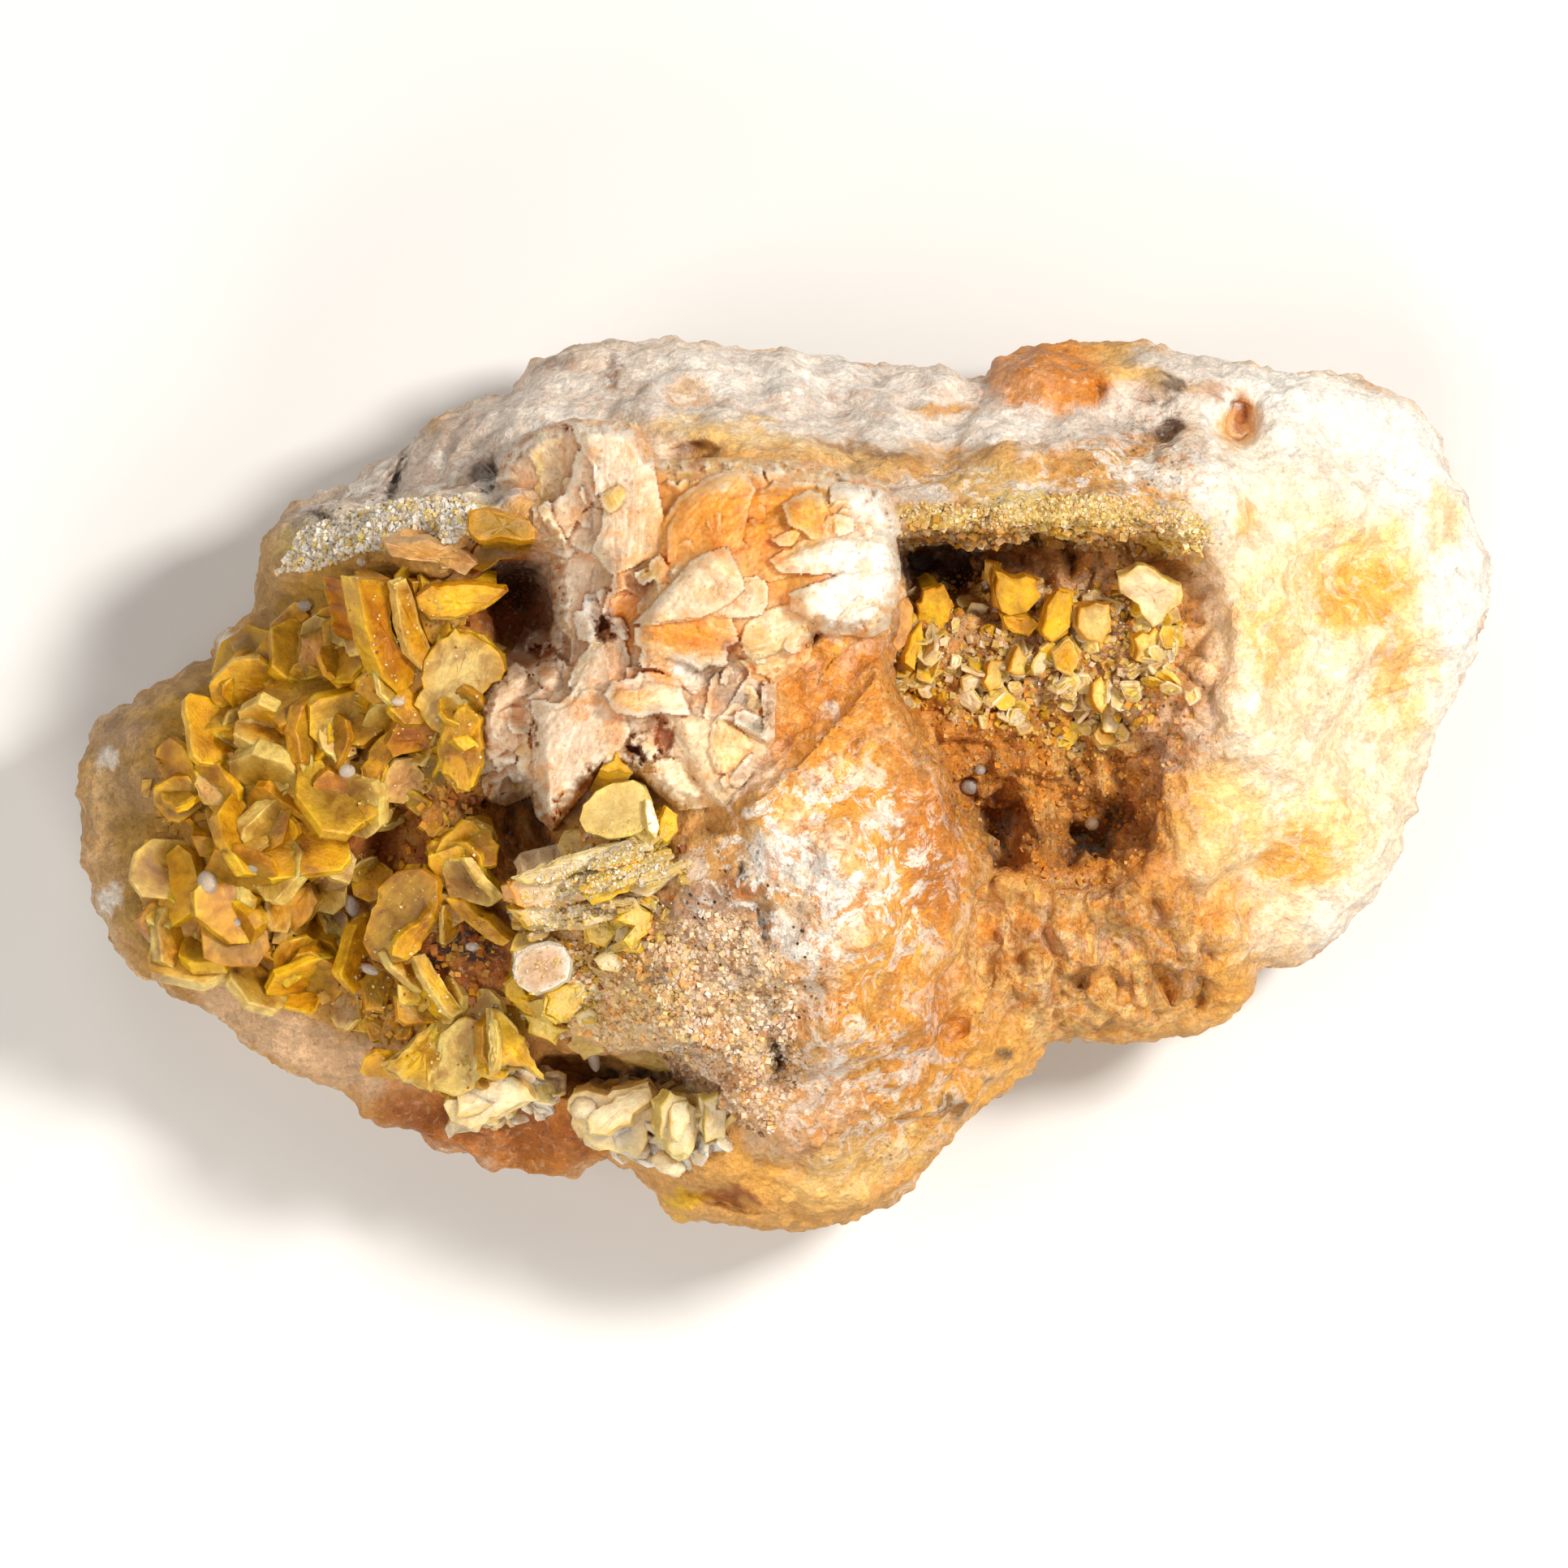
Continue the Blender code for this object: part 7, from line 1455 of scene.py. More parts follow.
# Stains and white patches over the plates.
PLATE_STAINS = [
    ("apricot", [Spot(-1.6, 11.0, 3.4, 1.6, 8, 0.7), Spot(-3.6, 12.2, 1.6, 0.5, 30, 0.7),
                 Spot(-4.4, 10.6, 0.4, 1.6, -10, 0.6), Spot(-6.0, 14.3, 0.8, 0.7, 0, 0.6),
                 Spot(-8.1, -0.3, 2.2, 0.4, 50, 0.95), Spot(-6.5, 3.6, 1.0, 0.5, 0, 0.9),
                 Spot(0.3, 8.7, 1.8, 0.35, 8, 0.8), Spot(-1.4, 6.2, 0.8, 0.5, 0, 0.8),
                 Spot(-5.15, 12.0, 0.25, 1.8, 4, 0.8), Spot(-6.2, 9.35, 0.9, 0.35, 20, 0.8),
                 Spot(-3.0, 8.0, 0.9, 0.3, 0, 0.5), Spot(-2.4, 2.0, 0.6, 0.3, 30, 0.4),
                 Spot(-8.3, 3.6, 0.6, 0.25, 0, 0.7), Spot(2.0, 11.4, 0.8, 0.6, 0, 0.5)]),
    ("saffron", [Spot(-4.3, 6.2, 2.0, 0.75, 0, 0.95), Spot(-2.2, 11.2, 3.0, 1.3, 14, 0.7),
                 Spot(-0.6, 9.2, 1.4, 0.4, 10, 0.5), Spot(-0.9, 10.4, 0.9, 0.4, 0, 0.9),
                 Spot(0.0, 12.1, 0.7, 0.4, 0, 0.8), Spot(1.3, 8.45, 0.6, 0.2, 0, 0.8),
                 Spot(-0.3, 8.0, 0.7, 0.35, 0, 0.9), Spot(-9.6, -1.5, 0.6, 0.35, 50, 0.9),
                 Spot(-7.0, 7.4, 0.9, 0.7, 0, 0.9), Spot(-5.2, 4.8, 0.9, 0.4, -30, 0.9),
                 Spot(-3.8, 10.6, 0.7, 0.5, 0, 0.5)]),
    ("lemon", [Spot(1.0, 11.4, 1.2, 0.9, 0, 0.8), Spot(-2.4, 11.6, 0.9, 0.4, 20, 0.5),
               Spot(-4.4, 6.2, 1.2, 0.3, 0, 0.5), Spot(-0.9, 10.6, 0.6, 0.3, 0, 0.5),
               Spot(-7.3, 11.9, 0.5, 0.45, 0, 0.9), Spot(-5.4, 9.1, 0.8, 0.14, 30, 0.8)]),
    ("tan", [Spot(-7.1, 2.2, 0.6, 0.7, 0, 0.8), Spot(-5.0, 12.4, 0.25, 1.2, 4, 0.6),
             Spot(-9.2, 13.6, 0.2, 0.8, 20, 0.6), Spot(-3.9, 0.6, 0.3, 0.5, 40, 0.6),
             Spot(-2.3, 0.3, 0.25, 0.6, -10, 0.5)]),
    ("rust", [Spot(-2.3, 5.75, 0.3, 0.3, 0, 0.9), Spot(-7.5, 6.7, 0.5, 0.6, 0, 0.9),
              Spot(-5.2, 2.2, 0.35, 0.9, 10, 0.9), Spot(-9.95, -1.7, 0.25, 0.2, 0, 0.7),
              Spot(-5.9, 8.4, 0.35, 0.5, 0, 0.7), Spot(-9.7, 5.7, 0.9, 0.5, 0, 0.6),
              Spot(-1.4, 11.0, 0.5, 0.2, 0, 0.6), Spot(-7.0, 9.6, 0.3, 0.5, 0, 0.4),
              Spot(-2.0, 12.0, 0.5, 0.15, 20, 0.5)]),
    ("umber", [Spot(-3.2, 4.7, 0.7, 0.25, -20, 0.5), Spot(-1.9, 3.6, 0.9, 0.25, -10, 0.4),
               Spot(-6.3, 1.3, 0.5, 0.5, 0, 0.9), Spot(-4.4, 14.1, 0.6, 0.2, 0, 0.9),
               Spot(-0.9, 2.5, 0.2, 0.7, -10, 0.6)]),
    ("white", [Spot(3.4, 9.4, 1.0, 0.5, 20, 0.8), Spot(1.4, 9.4, 1.2, 0.35, 14, 0.9),
               Spot(2.0, 7.8, 0.5, 0.9, 0, 0.9), Spot(-2.6, 12.5, 0.4, 0.2, 0, 0.7),
               Spot(-7.4, 7.0, 0.3, 0.3, 0, 0.5), Spot(-4.2, 5.1, 0.5, 0.35, 0, 0.8),
               Spot(-8.0, 7.6, 0.4, 0.7, 0, 0.6), Spot(-7.7, 12.9, 0.3, 0.6, 0, 0.7),
               Spot(3.4, 7.6, 1.0, 0.9, 0, 0.5)]),
]
# Gaps between the plates, sunk by their depths and painted rust, the deeper ones dark brown as painted shade.
PLATE_GAPS = [
    Spot(-10.4, 7.9, 0.6, 1.3, 10, 1.2), Spot(-10.2, 5.6, 0.6, 0.35, 20, 0.9),
    Spot(-7.0, 0.15, 0.75, 0.24, 16, 0.8), Spot(-6.3, 1.3, 0.24, 0.5, 10, 0.35),
    Spot(-5.05, 2.1, 0.3, 0.7, 14, 0.35), Spot(-7.5, 6.5, 0.3, 0.5, 0, 0.6),
    Spot(-10.55, 1.9, 0.14, 0.9, 0, 0.4),
]
# Broad colours that the plates share.
PLATE_ZONES = [
    ("blush", [Spot(-7.6, 10.4, 3.6, 5.4), Spot(-8.6, 2.4, 4.6, 5.0)]),
    ("rose", [Spot(-10.6, 12.8, 1.6, 2.6, 20, 0.7)]),
    ("cream", [Spot(-3.4, 2.4, 3.4, 3.0, -30)]),
    ("straw", [Spot(-1.8, 10.6, 3.8, 3.0, 10, 0.9)]),
    ("saffron", [Spot(-1.8, 11.0, 3.6, 2.1, 10, 0.75)]),
    ("apricot", [Spot(-4.4, 6.4, 2.0, 0.9)]),
    ("peach", [Spot(-1.0, 8.8, 2.6, 1.4, 10, 0.8), Spot(-4.2, 12.9, 1.4, 0.9, 20, 0.7)]),
    ("blush", [Spot(-3.6, 8.4, 2.0, 1.3, 40, 0.7), Spot(-1.6, 7.8, 1.2, 0.8, 0, 0.8)]),
    ("cream", [Spot(-0.6, 6.6, 1.6, 1.0, 0, 0.8)]),
    ("white", [Spot(3.4, 9.4, 1.9, 3.4, 0, 0.9)]),
    ("ash", [Spot(-8.4, 2.2, 2.8, 3.4, 0, 0.35), Spot(-6.4, 12.0, 1.4, 3.4, 0, 0.2)]),
    ("mauve", [Spot(-2.4, 4.2, 1.6, 1.0, -10, 0.7)]),
]
SHEET_CELL = 0.06
SHEET_MARGIN = 0.2
SHEET_SINK = 0.35  # how far the sheet starts under the rock
PLATE_MARGIN = 0.4  # how far past its outline a plate's edge may wander
FILL_CELLS, LEVEL_CELLS, HOLLOW_CELLS = 7, 12, 4  # how far the means reach, in cells
# Noise that all plates share, as size, octaves and shift: two waves, broad and fine unevenness, and marks.
SHEET_NOISE = [(0.55, 4, 41.0), (0.55, 4, 43.0), (1.3, 4, 45.0), (0.3, 3, 47.0), (0.24, 2, 51.0)]
SOFT_EDGE = 0.35  # how far the waves move the edges of stains
RIB_RATE, FINE_RIB_RATE = 9.0, 23.0
TERRACE = 0.42  # the width of a growth terrace
FAN_SPOT = Spot(-0.6, 9.8, 5.2, 4.4)
EDGE_SLOPE = 0.8  # the width over which the plates come down to the rock
CLIFF = 0.5  # the deepest step between plates
FAN_CLIFF = 0.26  # where the plates of the fan have grown together
BLADE_TONES = [
    ("blush", "cream"), ("rose", "cream"), ("cream", "white"), ("blush", "white"), ("peach", "cream"),
    ("chalk", "cream"),
]
FAN_TONES = [
    ("peach", "cream"), ("saffron", "peach"), ("cream", "straw"), ("apricot", "lemon"), ("straw", "white"),
    ("saffron", "straw"),
]


def box_mean(grid, reach):
    """The mean of a grid over a square of 2 * reach + 1 cells."""
    padded = np.pad(grid, reach + 1, mode="edge").cumsum(0).cumsum(1)
    wide = 2 * reach + 1
    total = padded[wide:, wide:] - padded[:-wide, wide:] - padded[wide:, :-wide] + padded[:-wide, :-wide]
    return total[: grid.shape[0], : grid.shape[1]] / wide**2


def loose_blades(ground, outline, count, tones, seed, levels, spread, turn):
    """Thin blades between the drawn plates, most of them pointing about the same way."""
    rng = np.random.default_rng(seed)
    blades = []
    for place, _ in places(ground, outline, count, rng):
        length = rng.uniform(0.7, 2.4)
        angle = math.radians(turn(place) + rng.normal(0, spread))
        shape = tablet(length, length * rng.uniform(0.22, 0.6), rng)
        shape = rotated(shape, angle) + place[:2]
        face, rim = tones[rng.integers(len(tones))]
        side = math.degrees(angle) + 90 * rng.choice([-1, 1])
        blades.append(Plate(shape.tolist(), rng.uniform(*levels), side, rng.uniform(14, 50), face, rim, 0.3))
    return blades


def stepped(plates, seed):
    """Each drawn plate with two larger ones below it, shifted down its slope, so that it shows steps."""
    rng = np.random.default_rng(seed)
    layers = []
    for plate in plates:
        outline = np.array(plate.outline)
        middle = outline.mean(axis=0)
        downhill = facing(plate.azimuth, 90)[:2]
        for layer in (2, 1):
            shift = downhill * rng.uniform(0.10, 0.22) * layer + rng.normal(0, 0.07, 2)
            shape = (outline - middle) * (1 + 0.03 * layer) + middle + shift
            level = plate.level - rng.uniform(0.12, 0.2) * layer
            ragged = plate.ragged + 0.3
            layers.append(plate._replace(outline=shape.tolist(), level=level, face=plate.rim, ragged=ragged))
        layers.append(plate)
    return layers


class Sheet:
    """The barite as one fine relief over a grid, with its height, colour and local place so far."""

    def __init__(self, ground, domain):
        corners = np.array(domain, float)
        self.ground = ground
        self.low, high = corners.min(axis=0) - SHEET_MARGIN, corners.max(axis=0) + SHEET_MARGIN
        columns, rows = np.ceil((high - self.low) / SHEET_CELL).astype(int) + 1
        self.x, self.y = np.meshgrid(self.low[0] + SHEET_CELL * np.arange(columns),
                                     self.low[1] + SHEET_CELL * np.arange(rows))
        flat = np.column_stack([self.x.ravel(), self.y.ravel(), np.zeros(self.x.size)])
        self.base = self.on_grid(np.array([ground.height(px, py) for px, py, _ in flat]))
        self.from_edge = self.on_grid(inside_distance(flat[:, 0], flat[:, 1], domain))
        self.wave_x, self.wave_y, self.broad, self.fine, self.marks = (
            self.on_grid(field(flat, *kind)) for kind in SHEET_NOISE
        )
        self.soft_x = (self.x + SOFT_EDGE * self.wave_x).ravel()
        self.soft_y = (self.y + SOFT_EDGE * self.wave_y).ravel()
        self.z = self.base - SHEET_SINK
        self.tone = np.tile(TONES["blush"], (*self.x.shape, 1))
        self.local = np.zeros((*self.x.shape, 3))

    def on_grid(self, values):
        return values.reshape(self.x.shape)

    def soft_cover(self, spots, softness):
        """How far spots cover each place, with uneven edges."""
        return self.on_grid(cover(self.soft_x, self.soft_y, spots, softness))

    def add_plate(self, number, plate):
        """Lays a plate over the sheet. It shows where it is higher than what is there."""
        outline = np.array(plate.outline, float)
        first = np.clip(((outline.min(axis=0) - PLATE_MARGIN - self.low) / SHEET_CELL).astype(int), 0, None)
        last = ((outline.max(axis=0) + PLATE_MARGIN - self.low) / SHEET_CELL).astype(int)
        part = (slice(first[1], last[1]), slice(first[0], last[0]))
        px, py = self.x[part], self.y[part]
        if px.size == 0:
            return
        wave_x, wave_y = self.wave_x[part], self.wave_y[part]
        broad, fine = self.broad[part], self.fine[part]
        middle = outline.mean(axis=0)
        warp = 0.08 * plate.ragged
        depth = inside_distance(px + warp * wave_x, py + warp * wave_y, plate.outline)
        inner = np.maximum(depth, 0)
        normal = facing(plate.azimuth, plate.lean)
        along = normal[:2] / max(np.hypot(*normal[:2]), 1e-6)
        dx, dy = px - middle[0], py - middle[1]
        u, v = dx * along[0] + dy * along[1], dy * along[0] - dx * along[1]
        # growth ribs and terraces across the slope
        ribs = (np.sin(u * RIB_RATE + 2.2 * wave_x + number) * 0.6
                + np.sin(u * FINE_RIB_RATE + 3.0 * broad) * 0.4)
        terraces = np.floor(u / TERRACE + 0.9 * wave_x + 0.5 * broad)
        level = self.ground.height(*middle) + plate.level - (dx * normal[0] + dy * normal[1]) / normal[2]
        level += plate.dome * (1 - np.exp(-inner / 0.5) - 0.6)
        level += (0.05 * (terraces - u / TERRACE) + 0.06 * broad + 0.015 * ribs + 0.03 * fine
                  - 0.05 * np.exp(-inner / 0.06))
        win = (depth > 0) & (level > self.z[part])
        rim = (np.exp(-inner / 0.16) * 0.75)[..., None]
        colour = TONES[plate.face] * (1 - rim) + TONES[plate.rim] * rim
        shade = 0.05 * np.sin(terraces * 2.4 + number) + 0.12 * broad + 0.05 * ribs + 0.07 * fine
        colour = colour * (0.97 + shade)[..., None]
        place = np.stack([v, u, np.full(px.shape, 2.0 * number)], axis=-1)
        self.z[part] = np.where(win, level, self.z[part])
        self.tone[part] = np.where(win[..., None], colour, self.tone[part])
        self.local[part] = np.where(win[..., None], place, self.local[part])

    def fill_between(self):
        """Puts a lower, rustier fill where no plate lies but some are near, and a plain colour elsewhere."""
        covered = (self.z > self.base - SHEET_SINK + 0.01).astype(float)
        near_share = box_mean(covered, FILL_CELLS)
        part = np.maximum(near_share, 1e-6)
        filled = box_mean(self.z * covered, FILL_CELLS) / part - 0.2 + 0.12 * self.broad + 0.08 * self.fine
        near_tone = np.dstack([box_mean(self.tone[..., i] * covered, FILL_CELLS) for i in range(3)])
        near_tone = near_tone / part[..., None]
        between = (covered < 0.5) & (near_share > 0.1)
        self.z = np.where(between, np.maximum(filled, self.base - 0.2), self.z)
        fill_tone = near_tone * 0.55 + TONES["apricot"] * 0.45
        fill_tone = fill_tone * (0.9 + 0.12 * self.fine + 0.1 * self.broad)[..., None]
        self.tone = np.where(between[..., None], fill_tone, self.tone)
        bare = (covered < 0.5) & ~between
        bare_tone = TONES["peach"] * (0.8 + 0.15 * self.broad)[..., None]
        self.tone = np.where(bare[..., None], bare_tone, self.tone)

    def grow_together(self):
        """Lowers the steps between plates and gives neighbours a shared colour, more so in the fan."""
        shared = np.tile(TONES["cream"], (*self.x.shape, 1))
        for zone, spots in PLATE_ZONES:
            shared = towards(shared, TONES[zone], self.soft_cover(spots, 0.6)[..., None])
        in_fan = self.on_grid(cover(self.x.ravel(), self.y.ravel(), [FAN_SPOT], 0.2))
        level = box_mean(self.z, LEVEL_CELLS)
        cliff = CLIFF + (FAN_CLIFF - CLIFF) * in_fan
        self.z = level + cliff * np.tanh((self.z - level) / cliff)
        own = (0.6 - 0.22 * in_fan)[..., None]
        uneven = (1 + 0.12 * self.broad + 0.08 * self.fine)[..., None]
        self.tone = self.tone * own + (1 - own) * shared * uneven

    def stain(self, stains):
        for name, spots in stains:
            share = self.soft_cover(spots, 0.6)[..., None] * np.clip(0.85 + 0.5 * self.fine, 0, 1)[..., None]
            self.tone = towards(self.tone, TONES[name] * (0.6 + 0.4 * self.tone / TONES["cream"]), share)

    def open_gaps(self, gaps):
        """Sinks the sheet at each gap by its depth and paints it there: rust, and in the deeper gaps dark brown
        as painted shade.
        """
        for gap in gaps:
            share = self.soft_cover([gap._replace(strength=1.0)], 0.5)
            self.z = self.z - share * gap.strength
            # painted shade: rust in the shallow gaps, dark brown in the deep ones
            gap_rust_and_shade = TONES["rust" if gap.strength < 1 else "brown"] * (1 + 0.3 * self.fine[..., None])
            self.tone = towards(self.tone, gap_rust_and_shade, (0.75 * share)[..., None])

    def meet_rock(self):
        """Brings the plates down to the rock along the sheet's edge."""
        slope = smooth_step((self.from_edge + 0.25 * self.wave_x) / EDGE_SLOPE)
        self.z = np.where(self.z > self.base, self.base + (self.z - self.base) * (0.3 + 0.7 * slope), self.z)

    def stain_and_paint_light(self):
        """Paints shade in the hollows as a darker orange and highlights in white on the edges that stand out,
        and lays orange stains in broad patches and rusty marks.
        """
        hollow = np.clip((box_mean(self.z, HOLLOW_CELLS) - self.z) * 0.9, -0.25, 0.5)[..., None]
        # painted shade: the hollows darkened towards orange
        tone = towards(self.tone, TONES["apricot"] * self.tone, np.clip(hollow * 1.2, 0, 0.7))
        # painted highlight: the edges that stand out lightened towards white
        tone = towards(tone, TONES["white"], np.clip(-2.2 * hollow, 0, 0.45))
        tone = towards(tone, TONES["apricot"] * tone, np.clip((self.broad - 0.15) * 1.2, 0, 0.5)[..., None])
        self.tone = towards(tone, TONES["rust"], np.clip((self.marks - 0.62) * 6, 0, 0.5)[..., None])

    def make(self, name):
        """The mesh inside the domain, with its outermost row of points sunk into the rock."""
        shown = self.from_edge > 0
        index = np.full(self.x.shape, -1)
        index[shown] = np.arange(shown.sum())
        quads = np.stack([index[:-1, :-1], index[:-1, 1:], index[1:, 1:], index[1:, :-1]], axis=-1)
        quads = quads.reshape(-1, 4)
        quads = quads[(quads >= 0).all(axis=1)]
        inside = shown.copy()
        for step, axis in ((1, 0), (-1, 0), (1, 1), (-1, 1)):
            inside &= np.roll(shown, step, axis)
        z = np.where(inside, self.z, self.base - 0.5)
        obj = mesh_object(name, np.column_stack([self.x[shown], self.y[shown], z[shown]]), quads.tolist())
        finish_surface(obj.data, self.tone[shown], self.local[shown], SHEET_SHARP)
        return obj


def make_sheet(name, ground, domain, plates):
    sheet = Sheet(ground, domain)
    for number, plate in enumerate(plates):
        sheet.add_plate(number, plate)
    sheet.fill_between()
    sheet.grow_together()
    sheet.stain(PLATE_STAINS)
    sheet.open_gaps(PLATE_GAPS)
    sheet.meet_rock()
    sheet.stain_and_paint_light()
    return sheet.make(name)


# ---------------------------------------------------------------- materials

def add_node(tree, kind, inputs=None, **settings):
    """A shader node. Its inputs are set to values or linked to another node's outputs."""
    made = tree.nodes.new(kind)
    for name, value in settings.items():
        setattr(made, name, value)
    for name, value in (inputs or {}).items():
        if isinstance(value, bpy.types.NodeSocket):
            tree.links.new(value, made.inputs[name])
        else:
            made.inputs[name].default_value = value
    return made


def blank_material(name):
    material = bpy.data.materials.new(name)
    material.use_nodes = True
    return material, material.node_tree, material.node_tree.nodes["Principled BSDF"]


def set_inputs(node, values):
    for name, value in values.items():
        node.inputs[name].default_value = value


def noise_at(tree, where, per_mm, detail=3.0, rough=0.6, distortion=0.0):
    made = add_node(tree, "ShaderNodeTexNoise", {
        "Vector": where, "Scale": per_mm / MM, "Detail": detail, "Roughness": rough, "Distortion": distortion,
    })
    return made.outputs["Fac"]


def remap(tree, value, low, high, out_low=0.0, out_high=1.0):
    made = add_node(tree, "ShaderNodeMapRange", {
        "Value": value, "From Min": low, "From Max": high, "To Min": out_low, "To Max": out_high,
    })
    return made.outputs["Result"]


def maths(tree, operation, first, second=0.0, clamp=False):
    made = add_node(tree, "ShaderNodeMath", {0: first, 1: second}, operation=operation, use_clamp=clamp)
    return made.outputs["Value"]


def mix(tree, share, first, second, blend="MIX"):
    made = tree.nodes.new("ShaderNodeMix")
    made.data_type = "RGBA"
    made.blend_type = blend
    for socket, value in ((made.inputs[0], share), (made.inputs[6], first), (made.inputs[7], second)):
        if isinstance(value, bpy.types.NodeSocket):
            tree.links.new(value, socket)
        else:
            socket.default_value = value
    return made.outputs[2]


def attribute(tree, name):
    return add_node(tree, "ShaderNodeAttribute", attribute_name=name).outputs["Color"]


def stretched_place(tree, where, scale):
    return add_node(tree, "ShaderNodeMapping", {"Vector": where, "Scale": scale}).outputs["Vector"]


def bumps(tree, layers):
    """The normal of bumps laid over each other: each layer's pattern, strength and depth in millimetres."""
    normal = None
    for pattern, strength, depth in layers:
        inputs = {"Height": pattern, "Strength": strength, "Distance": depth * MM}
        if normal:
            inputs["Normal"] = normal
        normal = add_node(tree, "ShaderNodeBump", inputs).outputs["Normal"]
    return normal


def rgba(name):
    return (*TONES[name], 1.0)


def rock_material():
    """Marbled stone: its colour per vertex with veins, flecks, facets and specks, and a grainy relief."""
    material, tree, shader = blank_material("limonite_and_barite_rock")
    where = add_node(tree, "ShaderNodeTexCoord").outputs["Object"]
    finish = add_node(tree, "ShaderNodeSeparateColor", {"Color": attribute(tree, "finish")})
    grit, fibre, gloss = finish.outputs
    veins = add_node(tree, "ShaderNodeSeparateColor", {"Color": attribute(tree, "veins")})
    in_white, in_orange, in_dark = veins.outputs
    busy = maths(tree, "MAXIMUM", in_orange, in_dark)
    marble = noise_at(tree, where, 0.85, 8, 0.7, 0.8)
    streak = noise_at(tree, where, 0.8, 8, 0.72, 0.8)
    crack = noise_at(tree, where, 1.4, 6, 0.74, 1.1)
    flecks = noise_at(tree, where, 2.6, 5, 0.72, 0.6)
    ribs = noise_at(tree, stretched_place(tree, where, (2.4, 0.5, 0.8)), 0.9, 6, 0.68, 0.7)
    grain = noise_at(tree, where, 4.2, 4, 0.7)
    sugar = noise_at(tree, where, 9.0, 3, 0.7)
    # veins and flecks with rather sharp edges: pattern, the range that shows, strength, area and colour
    colour = attribute(tree, "tone")
    for pattern, low, high, strength, area, name in (
        (marble, 0.50, 0.55, 0.85, in_orange, "orange"),
        (streak, 0.505, 0.55, 0.95, in_white, "white"),
        (crack, 0.57, 0.66, 0.85, in_dark, "brown"),
        (flecks, 0.47, 0.38, 0.65, busy, "sienna"),
        (flecks, 0.55, 0.66, 0.5, busy, "cream"),
        (ribs, 0.48, 0.36, 0.6, fibre, "rust"),
    ):
        share = maths(tree, "MULTIPLY", remap(tree, pattern, low, high, 0, strength), area)
        colour = mix(tree, share, colour, rgba(name))
    # small facets of different brightness, then black specks, then grains
    wobble = add_node(tree, "ShaderNodeTexNoise", {"Vector": where, "Scale": 2.4 / MM}).outputs["Color"]
    scaled = add_node(tree, "ShaderNodeVectorMath", {0: wobble, 1: (0.5 * MM,) * 3}, operation="MULTIPLY")
    moved = add_node(tree, "ShaderNodeVectorMath", {0: where, 1: scaled.outputs["Vector"]}, operation="ADD")
    facets = add_node(tree, "ShaderNodeTexVoronoi", {"Vector": moved.outputs["Vector"], "Scale": 1.5 / MM})
    facet = add_node(tree, "ShaderNodeSeparateColor", {"Color": facets.outputs["Color"]}).outputs[0]
    colour = mix(tree, 1.0, colour, remap(tree, facet, 0, 1, 0.82, 1.12), "MULTIPLY")
    dots = add_node(tree, "ShaderNodeTexVoronoi", {"Vector": where, "Scale": 3.0 / MM}).outputs["Distance"]
    gate = remap(tree, noise_at(tree, where, 0.9, 2, 0.5), 0.46, 0.6)
    speck = maths(tree, "MULTIPLY", remap(tree, dots, 0.30, 0.18), maths(tree, "MULTIPLY", gate, grit))
    colour = mix(tree, speck, colour, rgba("black"))
    colour = mix(tree, 1.0, colour, remap(tree, grain, 0.3, 0.7, 0.74, 1.2), "MULTIPLY")
    colour = mix(tree, 1.0, colour, remap(tree, sugar, 0.3, 0.7, 0.88, 1.1), "MULTIPLY")
    rough = remap(tree, gloss, 0, 1, 0.74, 0.46)
    rough = maths(tree, "ADD", rough, remap(tree, grain, 0.3, 0.7, -0.1, 0.14), True)
    normal = bumps(tree, [
        (grain, remap(tree, grit, 0, 1, 0.3, 0.9), 0.22),
        (facets.outputs["Distance"], remap(tree, gloss, 0, 1, 0.5, 0.2), 0.2),
        (noise_at(tree, where, 1.4, 5, 0.62), 0.6, 0.4),
        (flecks, remap(tree, gloss, 0, 1, 0.6, 0.2), 0.25),
        (ribs, maths(tree, "MULTIPLY", fibre, 0.8), 0.5),
    ])
    tree.links.new(colour, shader.inputs["Base Color"])
    tree.links.new(rough, shader.inputs["Roughness"])
    tree.links.new(normal, shader.inputs["Normal"])
    set_inputs(shader, {
        "IOR": 1.55, "Subsurface Weight": 0.08,
        "Subsurface Radius": (1.0, 0.55, 0.3), "Subsurface Scale": 0.4 * MM,
    })
    return material


def floor_material():
    material, tree, shader = blank_material("studio_floor")
    where = add_node(tree, "ShaderNodeTexCoord").outputs["Object"]
    shade = remap(tree, noise_at(tree, where, 0.004, 2), 0.3, 0.7, 0.74, 0.78)
    tree.links.new(mix(tree, 1.0, (1, 0.99, 0.97, 1), shade, "MULTIPLY"), shader.inputs["Base Color"])
    shader.inputs["Roughness"].default_value = 0.85
    return material


